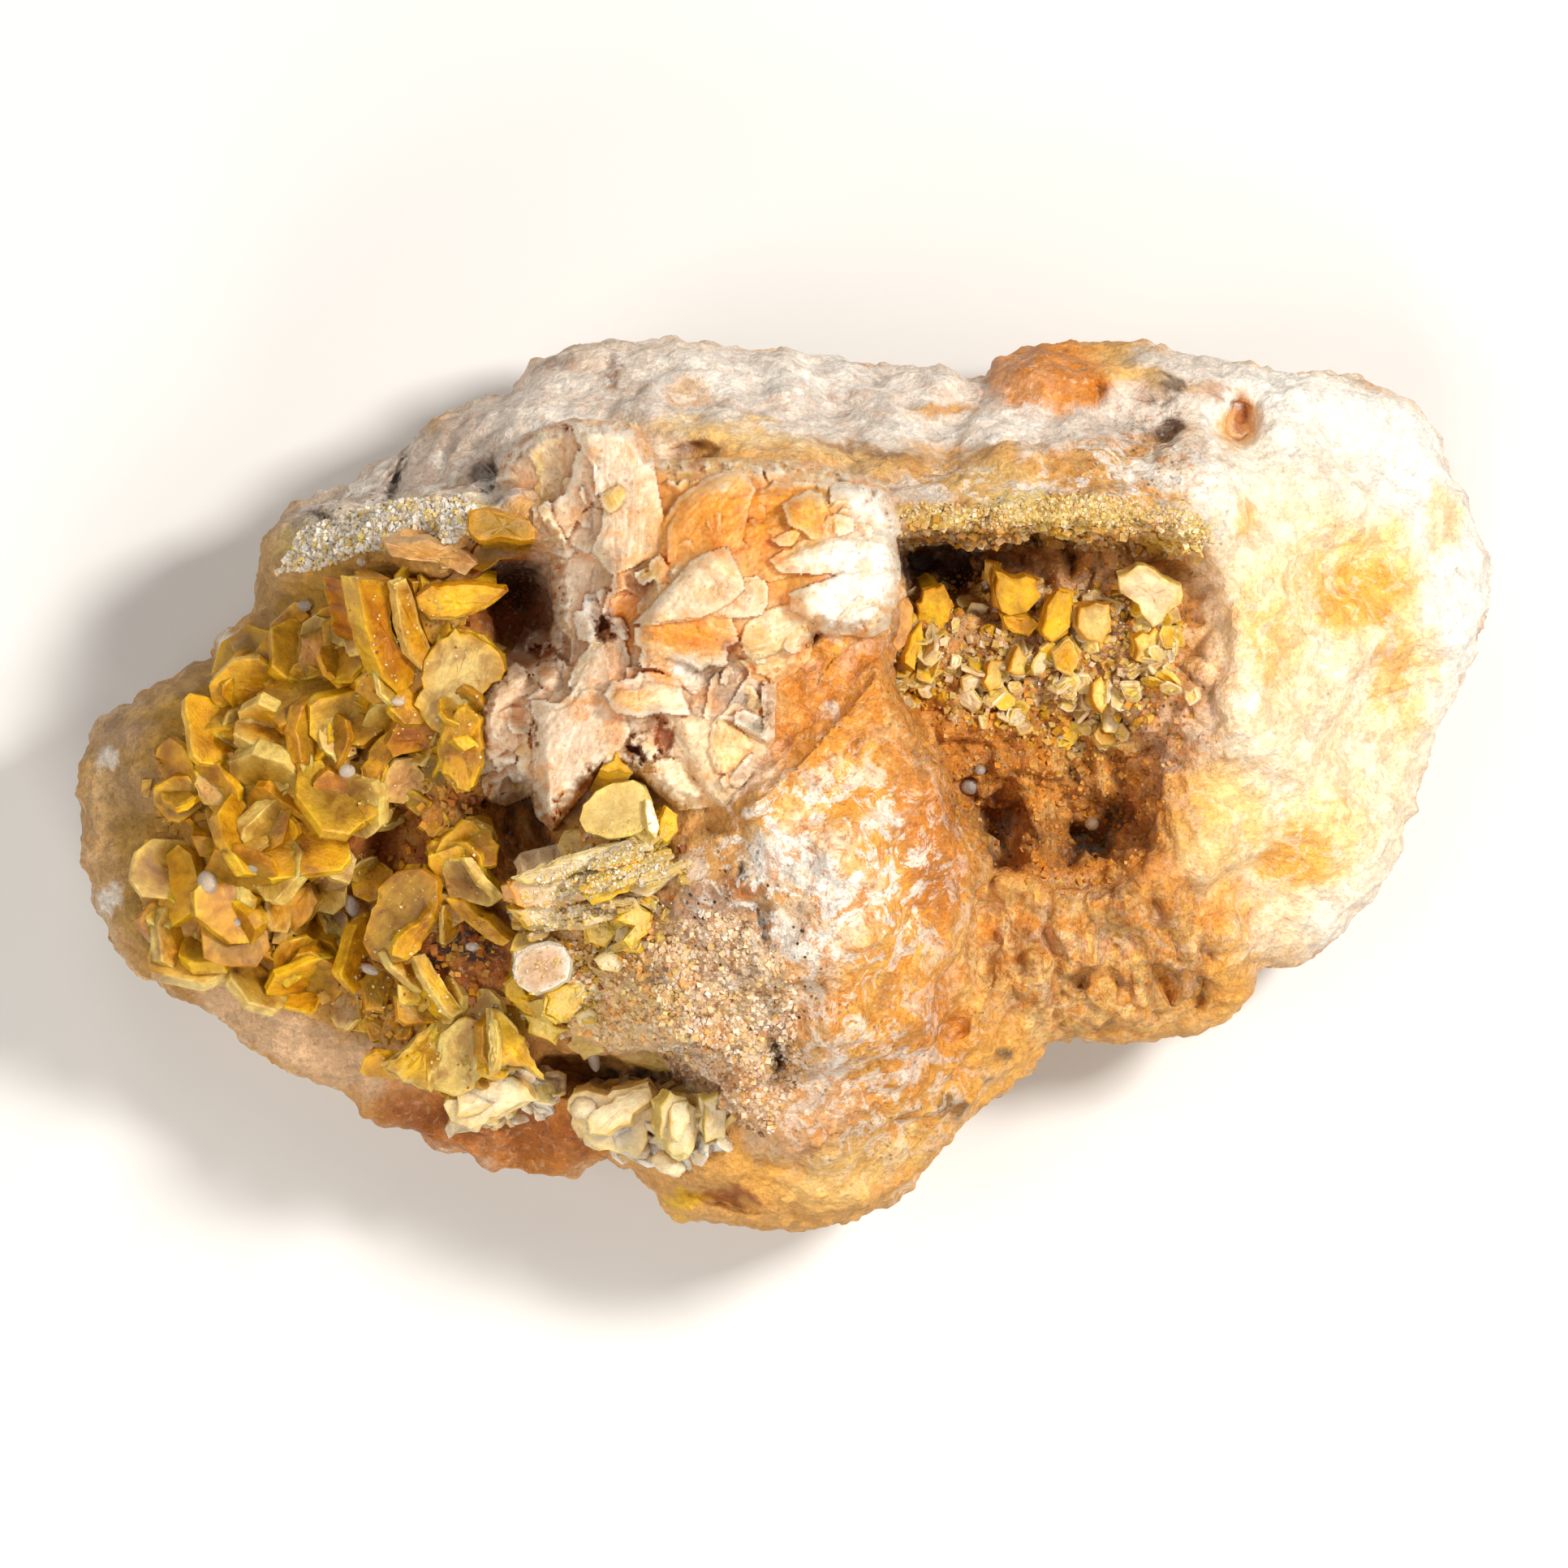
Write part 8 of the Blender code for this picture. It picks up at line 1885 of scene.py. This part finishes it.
def crystal_material(name, roughness, transmission, ior, scatter, radius, stripe, stain, depth=0.2, reach=0.3,
                     density=None):
    """A crystal: its colour per vertex with growth stripes, clouds and stains, and an uneven gloss."""
    material, tree, shader = blank_material(name)
    local = add_node(tree, "ShaderNodeAttribute", attribute_name="local").outputs["Vector"]
    where = add_node(tree, "ShaderNodeTexCoord").outputs["Object"]
    tone = attribute(tree, "tone")
    lines = noise_at(tree, stretched_place(tree, local, (0.3, 2.0, 1.0)), 2.4, 4, 0.65)
    cloud = noise_at(tree, local, 0.8, 5, 0.62, 0.5)
    patches = noise_at(tree, where, 0.7, 6, 0.66, 1.0)
    grain = noise_at(tree, where, 3.6, 5, 0.74)
    frost = noise_at(tree, where, 9.0, 3, 0.7)
    deep = mix(tree, 1.0, tone, rgba("clay" if depth > 0.3 else "peach"), "MULTIPLY")
    colour = mix(tree, remap(tree, cloud, 0.56, 0.36, 0, depth), tone, deep)
    colour = mix(tree, 1.0, colour, remap(tree, cloud, 0.3, 0.7, 0.84, 1.14), "MULTIPLY")
    colour = mix(tree, remap(tree, patches, 0.52, 0.64, 0, stain), colour, rgba("straw"), "MULTIPLY")
    colour = mix(tree, remap(tree, lines, 0.52, 0.72, 0, stripe), colour, tone, "SCREEN")
    colour = mix(tree, 1.0, colour, remap(tree, grain, 0.32, 0.68, 0.80, 1.16), "MULTIPLY")
    rough = remap(tree, cloud, 0.3, 0.7, *roughness)
    rough = maths(tree, "ADD", rough, remap(tree, frost, 0.3, 0.7, -0.06, 0.1), True)
    tree.links.new(colour, shader.inputs["Base Color"])
    tree.links.new(rough, shader.inputs["Roughness"])
    normal = bumps(tree, [(lines, 0.45, 0.10), (grain, 0.5, 0.12), (frost, 0.4, 0.05)])
    tree.links.new(normal, shader.inputs["Normal"])
    set_inputs(shader, {
        "IOR": ior, "Transmission Weight": transmission, "Subsurface Weight": scatter,
        "Subsurface Radius": radius, "Subsurface Scale": reach * MM,
    })
    if density is not None:
        warm = (1.0, 0.93, 0.82, 1)
        inside = add_node(tree, "ShaderNodeVolumeAbsorption", {"Color": warm, "Density": density})
        tree.links.new(inside.outputs["Volume"], tree.nodes["Material Output"].inputs["Volume"])
    return material


# ---------------------------------------------------------------- studio

PIXELS_PER_MM = 28.9
PHOTO_SIDE = 1932
CAMERA_HEIGHT = 900.0
SHARP_LEVEL = 12.0  # the height that the scale of the photograph belongs to
SENSOR = 36.0
# The studio's lamps: name, place, target, side (all in millimetres), watts and colour.
SOFTBOXES = [
    ("key", (150, 70, 240), (4, 2, 12), 55, 0.82, (1, 0.97, 0.92)),
    ("top", (-40, 150, 320), (0, 0, 12), 120, 0.14, (1, 1, 1)),
    ("front", (30, -220, 240), (2, -4, 10), 130, 0.42, (1, 0.95, 0.88)),
    ("fill", (-210, -60, 260), (-8, 0, 12), 160, 0.38, (1, 0.96, 0.9)),
]


def add_camera():
    camera = bpy.data.objects.new("camera", bpy.data.cameras.new("camera"))
    bpy.context.scene.collection.objects.link(camera)
    camera.location = Vector((0.03, 0.0, CAMERA_HEIGHT)) * MM
    camera.data.sensor_width = SENSOR
    camera.data.lens = SENSOR * (CAMERA_HEIGHT - SHARP_LEVEL) / (PHOTO_SIDE / PIXELS_PER_MM)
    camera.data.clip_start = 0.01
    camera.data.clip_end = 10.0
    bpy.context.scene.camera = camera


def add_softbox(name, location, target, side, watts, colour):
    light = bpy.data.lights.new(name, "AREA")
    light.shape = "SQUARE"
    light.size = side * MM
    light.energy = watts
    light.color = colour
    obj = bpy.data.objects.new(name, light)
    bpy.context.scene.collection.objects.link(obj)
    obj.location = Vector(location) * MM
    obj.rotation_euler = (Vector(target) - Vector(location)).to_track_quat("-Z", "Y").to_euler()


def add_floor():
    half = 2000.0 * MM
    corners = [(-half, -half, 0), (half, -half, 0), (half, half, 0), (-half, half, 0)]
    floor = mesh_object("floor", corners, [(0, 1, 2, 3)])
    floor.location.z = -0.02 * MM
    floor.data.materials.append(floor_material())


def light_studio():
    world = bpy.data.worlds.new("studio")
    bpy.context.scene.world = world
    world.use_nodes = True
    background = world.node_tree.nodes["Background"]
    background.inputs["Color"].default_value = (1.0, 0.98, 0.95, 1)
    background.inputs["Strength"].default_value = 0.16
    for softbox in SOFTBOXES:
        add_softbox(*softbox)
    bpy.context.scene.view_settings.view_transform = "Standard"


def finish_piece(obj, material, slot, *nodes):
    """Scales a piece to metres, gives it its material and lets it stand for its node of the part."""
    obj.data.transform(Matrix.Scale(MM, 4))
    obj.data.materials.clear()
    obj.data.materials.append(material)
    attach(obj, "root")
    if nodes:
        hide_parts(*nodes)


# Areas in plan, in which small crystals and grains are scattered.
LOBE_FAR = [
    (-26.8, -6.2), (-27.2, 0.4), (-23.8, 4.2), (-20.8, 7.0), (-18.6, 7.6), (-18.2, 3.0), (-18.4, -3.0),
    (-17.6, -9.6), (-20.4, -9.4), (-23.8, -8.0),
]
LOBE_NEAR = [
    (-18.4, 8.8), (-14.6, 8.8), (-12.8, 6.2), (-12.8, 0.4), (-12.4, -4.6), (-11.6, -9.4), (-11.6, -12.4),
    (-13.6, -13.4), (-17.0, -12.0), (-18.4, -9.6), (-18.2, -3.0),
]
CENTRE_AREA = [
    (-11.4, -9.0), (-11.6, -4.6), (-8.6, -2.0), (-5.0, -1.0), (-3.8, -3.6), (-5.2, -6.4), (-7.6, -8.2),
    (-8.4, -10.4), (-10.4, -10.8),
]
LONG_BUNDLE = [
    (-11.2, -4.6), (-10.6, -4.0), (-8.6, -3.2), (-6.4, -2.5), (-4.8, -3.2), (-5.0, -4.0), (-6.6, -4.3),
    (-9.0, -4.9),
]
LOWER_BUNDLE = [(-11.0, -5.8), (-8.8, -5.2), (-6.8, -4.8), (-6.6, -5.3), (-8.6, -5.9), (-10.4, -6.4)]
BARITE_UPPER = [
    (-10.2, 11.0), (-9.6, 14.2), (-6.4, 14.8), (-5.2, 13.4), (-5.0, 10.2), (-5.8, 9.2), (-6.4, 7.0),
    (-8.2, 6.0), (-9.6, 7.6), (-10.0, 9.6),
]
BARITE_MIDDLE = [
    (-12.4, 0.4), (-12.0, 3.6), (-10.4, 5.2), (-8.6, 5.8), (-6.6, 5.6), (-4.0, 5.4), (-0.8, 4.0),
    (-1.0, 1.0), (-2.8, -0.6), (-5.0, 0.2), (-7.4, 1.6), (-9.6, -1.4), (-10.6, -0.8),
]
FAN_AREA = [
    (-5.4, 6.4), (-4.8, 9.8), (-4.6, 12.4), (-1.6, 13.2), (1.6, 12.6), (4.2, 12.2), (4.6, 9.0), (4.2, 6.8),
    (1.0, 6.2), (-2.0, 5.4),
]
VUG_UPPER = [
    (5.0, 3.4), (4.5, 6.4), (5.4, 8.0), (8.6, 8.6), (11.0, 8.0), (14.4, 7.8), (16.6, 7.2), (16.6, 3.6),
    (13.4, 1.4), (9.4, 2.2), (7.0, 3.0),
]
VUG_WHOLE = [
    (5.0, 3.2), (4.5, 6.4), (5.4, 8.4), (7.6, 9.2), (11.0, 9.4), (14.4, 9.4), (17.0, 8.8), (17.6, 4.6),
    (17.0, 0.6), (14.6, -2.4), (11.4, -3.0), (8.2, -2.6), (6.6, -0.6),
]
VUG_CRUST = [
    (5.0, 3.6), (5.0, 6.0), (6.6, 8.8), (9.2, 9.0), (12.6, 8.4), (16.4, 8.8), (17.2, 6.6), (16.2, 3.4),
    (13.6, 0.8), (9.0, 2.0),
]
VUG_LIP = [
    (4.8, 10.8), (6.4, 11.2), (9.2, 10.8), (11.6, 11.1), (14.2, 10.9), (17.8, 10.4), (17.8, 9.5),
    (14.2, 9.9), (11.6, 10.1), (9.2, 9.9), (6.4, 10.3), (4.8, 9.9),
]
VUG_LOWER = [
    (6.4, 2.6), (9.6, 2.2), (13.4, 1.0), (17.0, 3.0), (16.4, -2.0), (14.6, -4.2), (11.4, -4.6), (8.6, -4.0),
    (7.2, -0.6),
]
LEDGE_LEFT = [
    (-21.6, 9.0), (-20.4, 10.9), (-16.8, 12.0), (-13.6, 12.1), (-12.6, 11.4), (-13.8, 10.2), (-16.8, 10.1),
    (-19.6, 9.2),
]
LEDGE_RIGHT = [
    (4.8, 11.3), (6.0, 11.9), (8.6, 11.6), (11.4, 12.2), (14.4, 12.1), (17.6, 11.4), (18.3, 10.2),
    (16.4, 10.2), (14.2, 10.7), (11.6, 10.9), (9.2, 10.6), (6.4, 11.0),
]
APRON = [
    (-9.4, -5.2), (-7.0, -5.0), (-4.6, -5.6), (-3.6, -8.0), (-4.0, -10.8), (-7.6, -11.2), (-9.6, -10.0),
    (-10.0, -7.4),
]
SLOPE_AREA = [
    (-5.4, -6.4), (-3.6, -5.2), (-1.2, -5.8), (0.4, -8.0), (0.8, -12.2), (-0.6, -15.0), (-4.6, -13.6),
    (-5.8, -9.6),
]
MILKY_LEFT_AREA = [(-12.2, -12.2), (-10.0, -12.4), (-9.6, -13.6), (-11.0, -14.2), (-13.6, -14.6)]
MILKY_RIGHT_AREA = [
    (-6.0, -12.8), (-3.2, -12.6), (-2.2, -13.6), (-2.4, -15.2), (-4.2, -16.2), (-7.6, -15.6),
]
# Bare spots inside those areas.
BARE = [  # ground between the tablets where the rusty rock shows
    Spot(-17.2, -2.4, 3.2, 1.0, -12), Spot(-13.8, -7.6, 1.4, 1.5), Spot(-21.6, 4.1, 1.0, 0.6, 50),
    Spot(-14.0, -1.0, 1.6, 0.8), Spot(-20.3, -7.2, 1.1, 0.5, -50), Spot(-12.4, -8.0, 0.8, 2.0),
    Spot(-11.9, 8.6, 1.2, 1.2), Spot(-18.4, -8.6, 0.7, 1.4, 30),
]
VUG_BARE = [
    Spot(8.4, 6.0, 1.5, 0.8, 0), Spot(14.4, 6.4, 0.8, 1.4), Spot(8.0, 8.8, 3.0, 1.0),
    Spot(11.2, 2.6, 1.0, 1.4), Spot(13.4, 5.2, 0.7, 0.9), Spot(6.9, 3.6, 0.8, 0.9),
    Spot(10.6, 4.2, 0.5, 0.8), Spot(15.2, 3.0, 1.0, 0.9),
]
# Colours of small crystals, as pairs of face and rim.
GOLD = [
    ("honey", "lemon"), ("olive", "honey"), ("honey", "straw"), ("olive", "straw"), ("honey", "lemon"),
    ("honey", "lemon"), ("olive", "lemon"),
]
PALE = [
    ("straw", "lemon"), ("lemon", "straw"), ("cream", "straw"), ("straw", "cream"), ("sugar", "cream"),
    ("lemon", "cream"),
]
LEAF_TONES = [
    ("cream", "straw"), ("straw", "cream"), ("sugar", "cream"), ("cream", "peach"), ("saffron", "straw"),
]
VUG_GOLD = [
    ("lemon", "straw"), ("straw", "cream"), ("sugar", "cream"), ("straw", "cream"), ("cream", "straw"),
]
MILKY_TONES = [
    ("cream", "peach"), ("white", "cream"), ("cream", "white"), ("straw", "cream"), ("cream", "peach"),
]
# Colours of grains.
CRUST = ["straw", "sugar", "cream", "sand", "chalk", "straw", "clay", "cream", "tan"]
SUGAR_PALE = ["rose", "blush", "white", "blush", "peach", "rose", "chalk", "apricot", "blush", "mauve", "cream",
              "white"]
SUGAR = SUGAR_PALE * 3 + ["umber", "brown", "sienna"]
CENTRE_GRAINS = ["straw", "honey", "cream", "sugar", "rust"]
LEDGE_GRAINS = ["white", "chalk", "white", "cream", "straw", "white"]
APRON_GRAINS = ["straw", "cream", "sugar", "saffron", "blush", "tan"]


def grow_druse(ground):
    """The bowl of olive-yellow tablets at the left."""
    batch = Batch()
    add_drawn(batch, DRUSE_SLABS, ground, seed=11, lift_share=0.8)
    for area, count, sizes, seed, leans, lift in (
        (LOBE_FAR, 80, (1.8, 4.0), 12, (34, 80), 0.25),
        (LOBE_NEAR, 56, (1.4, 3.0), 13, (36, 80), 0.2),
        (LOBE_NEAR, 120, (0.5, 1.3), 14, (20, 70), 0.15),
    ):
        add_small_tablets(batch, ground, area, count, sizes, GOLD, seed, leans, lift, BARE)
    return batch.make("druse_crystals")


def grow_centre(ground):
    """The pale plates below the centre, with two bundles of leaves seen on edge."""
    batch = Batch()
    add_drawn(batch, CENTRE_SLABS, ground, seed=21, lift_share=0.85)
    add_drawn(batch, GLASSY_SLABS, ground, seed=25)
    for area, count, lengths, seed, lifts, turn in (
        (LONG_BUNDLE, 55, (0.6, 2.4), 26, (1.9, 2.4), 20),
        (LOWER_BUNDLE, 36, (0.5, 1.6), 27, (1.1, 1.7), 10),
    ):
        add_leaves(batch, ground, area, count, lengths, LEAF_TONES, seed, lifts, turn)
    add_small_tablets(batch, ground, CENTRE_AREA, 90, (0.4, 1.1), PALE, seed=22)
    add_crumbs(batch, ground, CENTRE_AREA, 500, (0.12, 0.5), CENTRE_GRAINS, seed=23)
    return batch.make("centre_tablets")


def grow_barite(ground):
    """The barite: the drawn plates with loose blades under them, which fan out at the right."""
    blades = []
    for area, count, tones, seed, levels, spread, turn in (
        (BARITE_UPPER, 90, BLADE_TONES, 31, (0.5, 1.7), 24, lambda place: 75),
        (BARITE_MIDDLE, 130, BLADE_TONES, 32, (0.4, 1.5), 34, lambda place: 55),
        (FAN_AREA, 190, FAN_TONES, 33, (0.6, 1.9), 16,
         lambda place: math.degrees(math.atan2(place[1] - 3.5, place[0] + 1.5))),
    ):
        blades += loose_blades(ground, area, count, tones, seed, levels, spread, turn)
    return make_sheet("barite_crystals", ground, BARITE_DOMAIN, blades + stepped(PLATES, 34))


def grow_vug(ground):
    """The crust of small yellow crystals in the hollow, over its lip and below it."""
    batch = Batch()
    add_drawn(batch, VUG_SLABS, ground, seed=41, lift_share=0.8)
    add_small_tablets(batch, ground, VUG_UPPER, 230, (0.35, 1.2), VUG_GOLD, seed=42,
                      leans=(30, 80), lift=0.35, bare=VUG_BARE)
    for area, count, sizes, tones, seed, sink, rocky in (
        (VUG_UPPER, 420, (0.1, 0.4), ["straw", "honey", "lemon", "apricot", "cream"], 44, 0.3, 0.0),
        (VUG_CRUST, 1400, (0.1, 0.5), ["straw", "cream", "lemon", "straw", "saffron"], 45, 0.4, 0.3),
        (VUG_LIP, 800, (0.1, 0.5), ["straw", "sand", "honey", "cream", "tan"], 46, 0.4, 0.3),
        (VUG_LOWER, 600, (0.08, 0.36), ["apricot", "tan", "orange", "saffron"], 47, 0.5, 0.5),
        (VUG_WHOLE, 700, (0.08, 0.3), ["tan", "apricot", "sienna", "orange"], 43, 0.5, 0.0),
    ):
        add_crumbs(batch, ground, area, count, sizes, tones, seed, sink, rocky)
    return batch.make("vug_tablets")


def grow_crusts(ground, centre, druse):
    """Loose grains on the ledges, on the slope and between the crystals."""
    batch = Batch()
    on_centre, on_druse = Ground(centre), Ground(druse)
    bundles = LONG_BUNDLE + LOWER_BUNDLE[3:]
    for under, area, count, sizes, tones, seed, sink, rocky in (
        (on_centre, CENTRE_AREA, 900, (0.05, 0.17), ["cream", "straw", "lemon", "straw"], 57, 0.5, 0.0),
        (on_centre, bundles, 1300, (0.05, 0.2), ["cream", "straw", "cream", "white"], 59, 0.5, 0.0),
        (on_druse, LOBE_NEAR, 500, (0.06, 0.2), ["straw", "cream", "sugar", "rust"], 58, 0.5, 0.0),
        (ground, LEDGE_LEFT, 3000, (0.08, 0.34), LEDGE_GRAINS, 51, 0.35, 0.0),
        (ground, LEDGE_RIGHT, 3200, (0.07, 0.28), CRUST, 52, 0.4, 0.3),
        (ground, LOBE_NEAR, 900, (0.12, 0.6), ["sienna", "rust", "honey", "ochre", "olive"], 54, 0.4, 0.0),
        (ground, LOBE_FAR, 500, (0.2, 0.9), ["honey", "ochre", "olive", "sand"], 55, 0.4, 0.0),
        (ground, APRON, 1800, (0.08, 0.4), APRON_GRAINS, 56, 0.4, 0.4),
        (ground, SLOPE_AREA, 3600, (0.08, 0.36), SUGAR, 53, 0.5, 0.35),
    ):
        add_crumbs(batch, under, area, count, sizes, tones, seed, sink, rocky)
    return batch.make("ledge_grains")


def grow_milky(ground, name, slabs, lumps, seed, outline=None):
    """A group of milky or clear crystals: drawn ones, small ones inside the outline, and rounded lumps."""
    batch = Batch()
    add_drawn(batch, slabs, ground, seed)
    if outline:
        add_small_tablets(batch, ground, outline, 60, (0.5, 1.4), MILKY_TONES, seed, (30, 80), 0.3)
    add_lumps(batch, lumps, ground, seed)
    return batch.make(name)


rock = make_rock()
ground = Ground(rock)
WULFENITE = crystal_material(
    "wulfenite", roughness=(0.08, 0.28), transmission=0.12, ior=1.5, scatter=0.5, radius=(1.0, 0.7, 0.2),
    stripe=0.3, stain=0.3, depth=0.75,
)
PALE_WULFENITE = crystal_material(
    "pale_wulfenite", roughness=(0.08, 0.26), transmission=0.16, ior=1.5, scatter=0.5,
    radius=(1.0, 0.7, 0.25), stripe=0.3, stain=0.15, depth=0.25,
)
VUG_WULFENITE = crystal_material(
    "vug_wulfenite", roughness=(0.3, 0.5), transmission=0.04, ior=1.45, scatter=0.4, radius=(1.0, 0.7, 0.25),
    stripe=0.3, stain=0.3, depth=0.4,
)
BARITE = crystal_material(
    "barite", roughness=(0.2, 0.44), transmission=0.08, ior=1.55, scatter=0.6, radius=(1.0, 0.85, 0.6),
    stripe=0.55, stain=0.2, reach=0.6,
)
MILKY = crystal_material(
    "milky_quartz", roughness=(0.08, 0.3), transmission=0.08, ior=1.55, scatter=0.6, radius=(1.0, 0.85, 0.6),
    stripe=0.2, stain=0.3, reach=0.8,
)
CLEAR = crystal_material(
    "clear_crystal", roughness=(0.03, 0.10), transmission=0.7, ior=1.6, scatter=0.0, radius=(1, 1, 1),
    stripe=0.0, stain=0.0, depth=0.0, density=60,
)
GRAINS = crystal_material(
    "grains", roughness=(0.4, 0.65), transmission=0.0, ior=1.6, scatter=0.25, radius=(1.0, 0.7, 0.4),
    stripe=0.2, stain=0.4,
)

druse, centre, vug = grow_druse(ground), grow_centre(ground), grow_vug(ground)
barite = grow_barite(ground)
crusts = grow_crusts(ground, centre, druse)
milky_left = grow_milky(ground, "milky_left", MILKY_LEFT_SLABS, [], 61, MILKY_LEFT_AREA)
milky_right = grow_milky(ground, "milky_right", MILKY_RIGHT_SLABS, MILKY_RIGHT_LUMPS, 62, MILKY_RIGHT_AREA)
clear = grow_milky(ground, "clear_crystals", [], CLEAR_LUMPS, 63)
rock.data.shade_smooth()
finish_piece(rock, rock_material(), "matrix", "matrix")
finish_piece(druse, WULFENITE, "wulfenite_druse", "wulfenite_druse")
finish_piece(centre, PALE_WULFENITE, "wulfenite_plates", "wulfenite_plates")
finish_piece(barite, BARITE, "barite_blades", "barite_blades")
finish_piece(vug, VUG_WULFENITE, "vug_crystals", "vug_crystals")
finish_piece(milky_left, MILKY, "milky_crystals", "milky_crystals_left")
finish_piece(milky_right, MILKY, "milky_crystals", "milky_crystals_right")
finish_piece(crusts, GRAINS, "matrix")
finish_piece(clear, CLEAR, "milky_crystals")
add_floor()
light_studio()
add_camera()
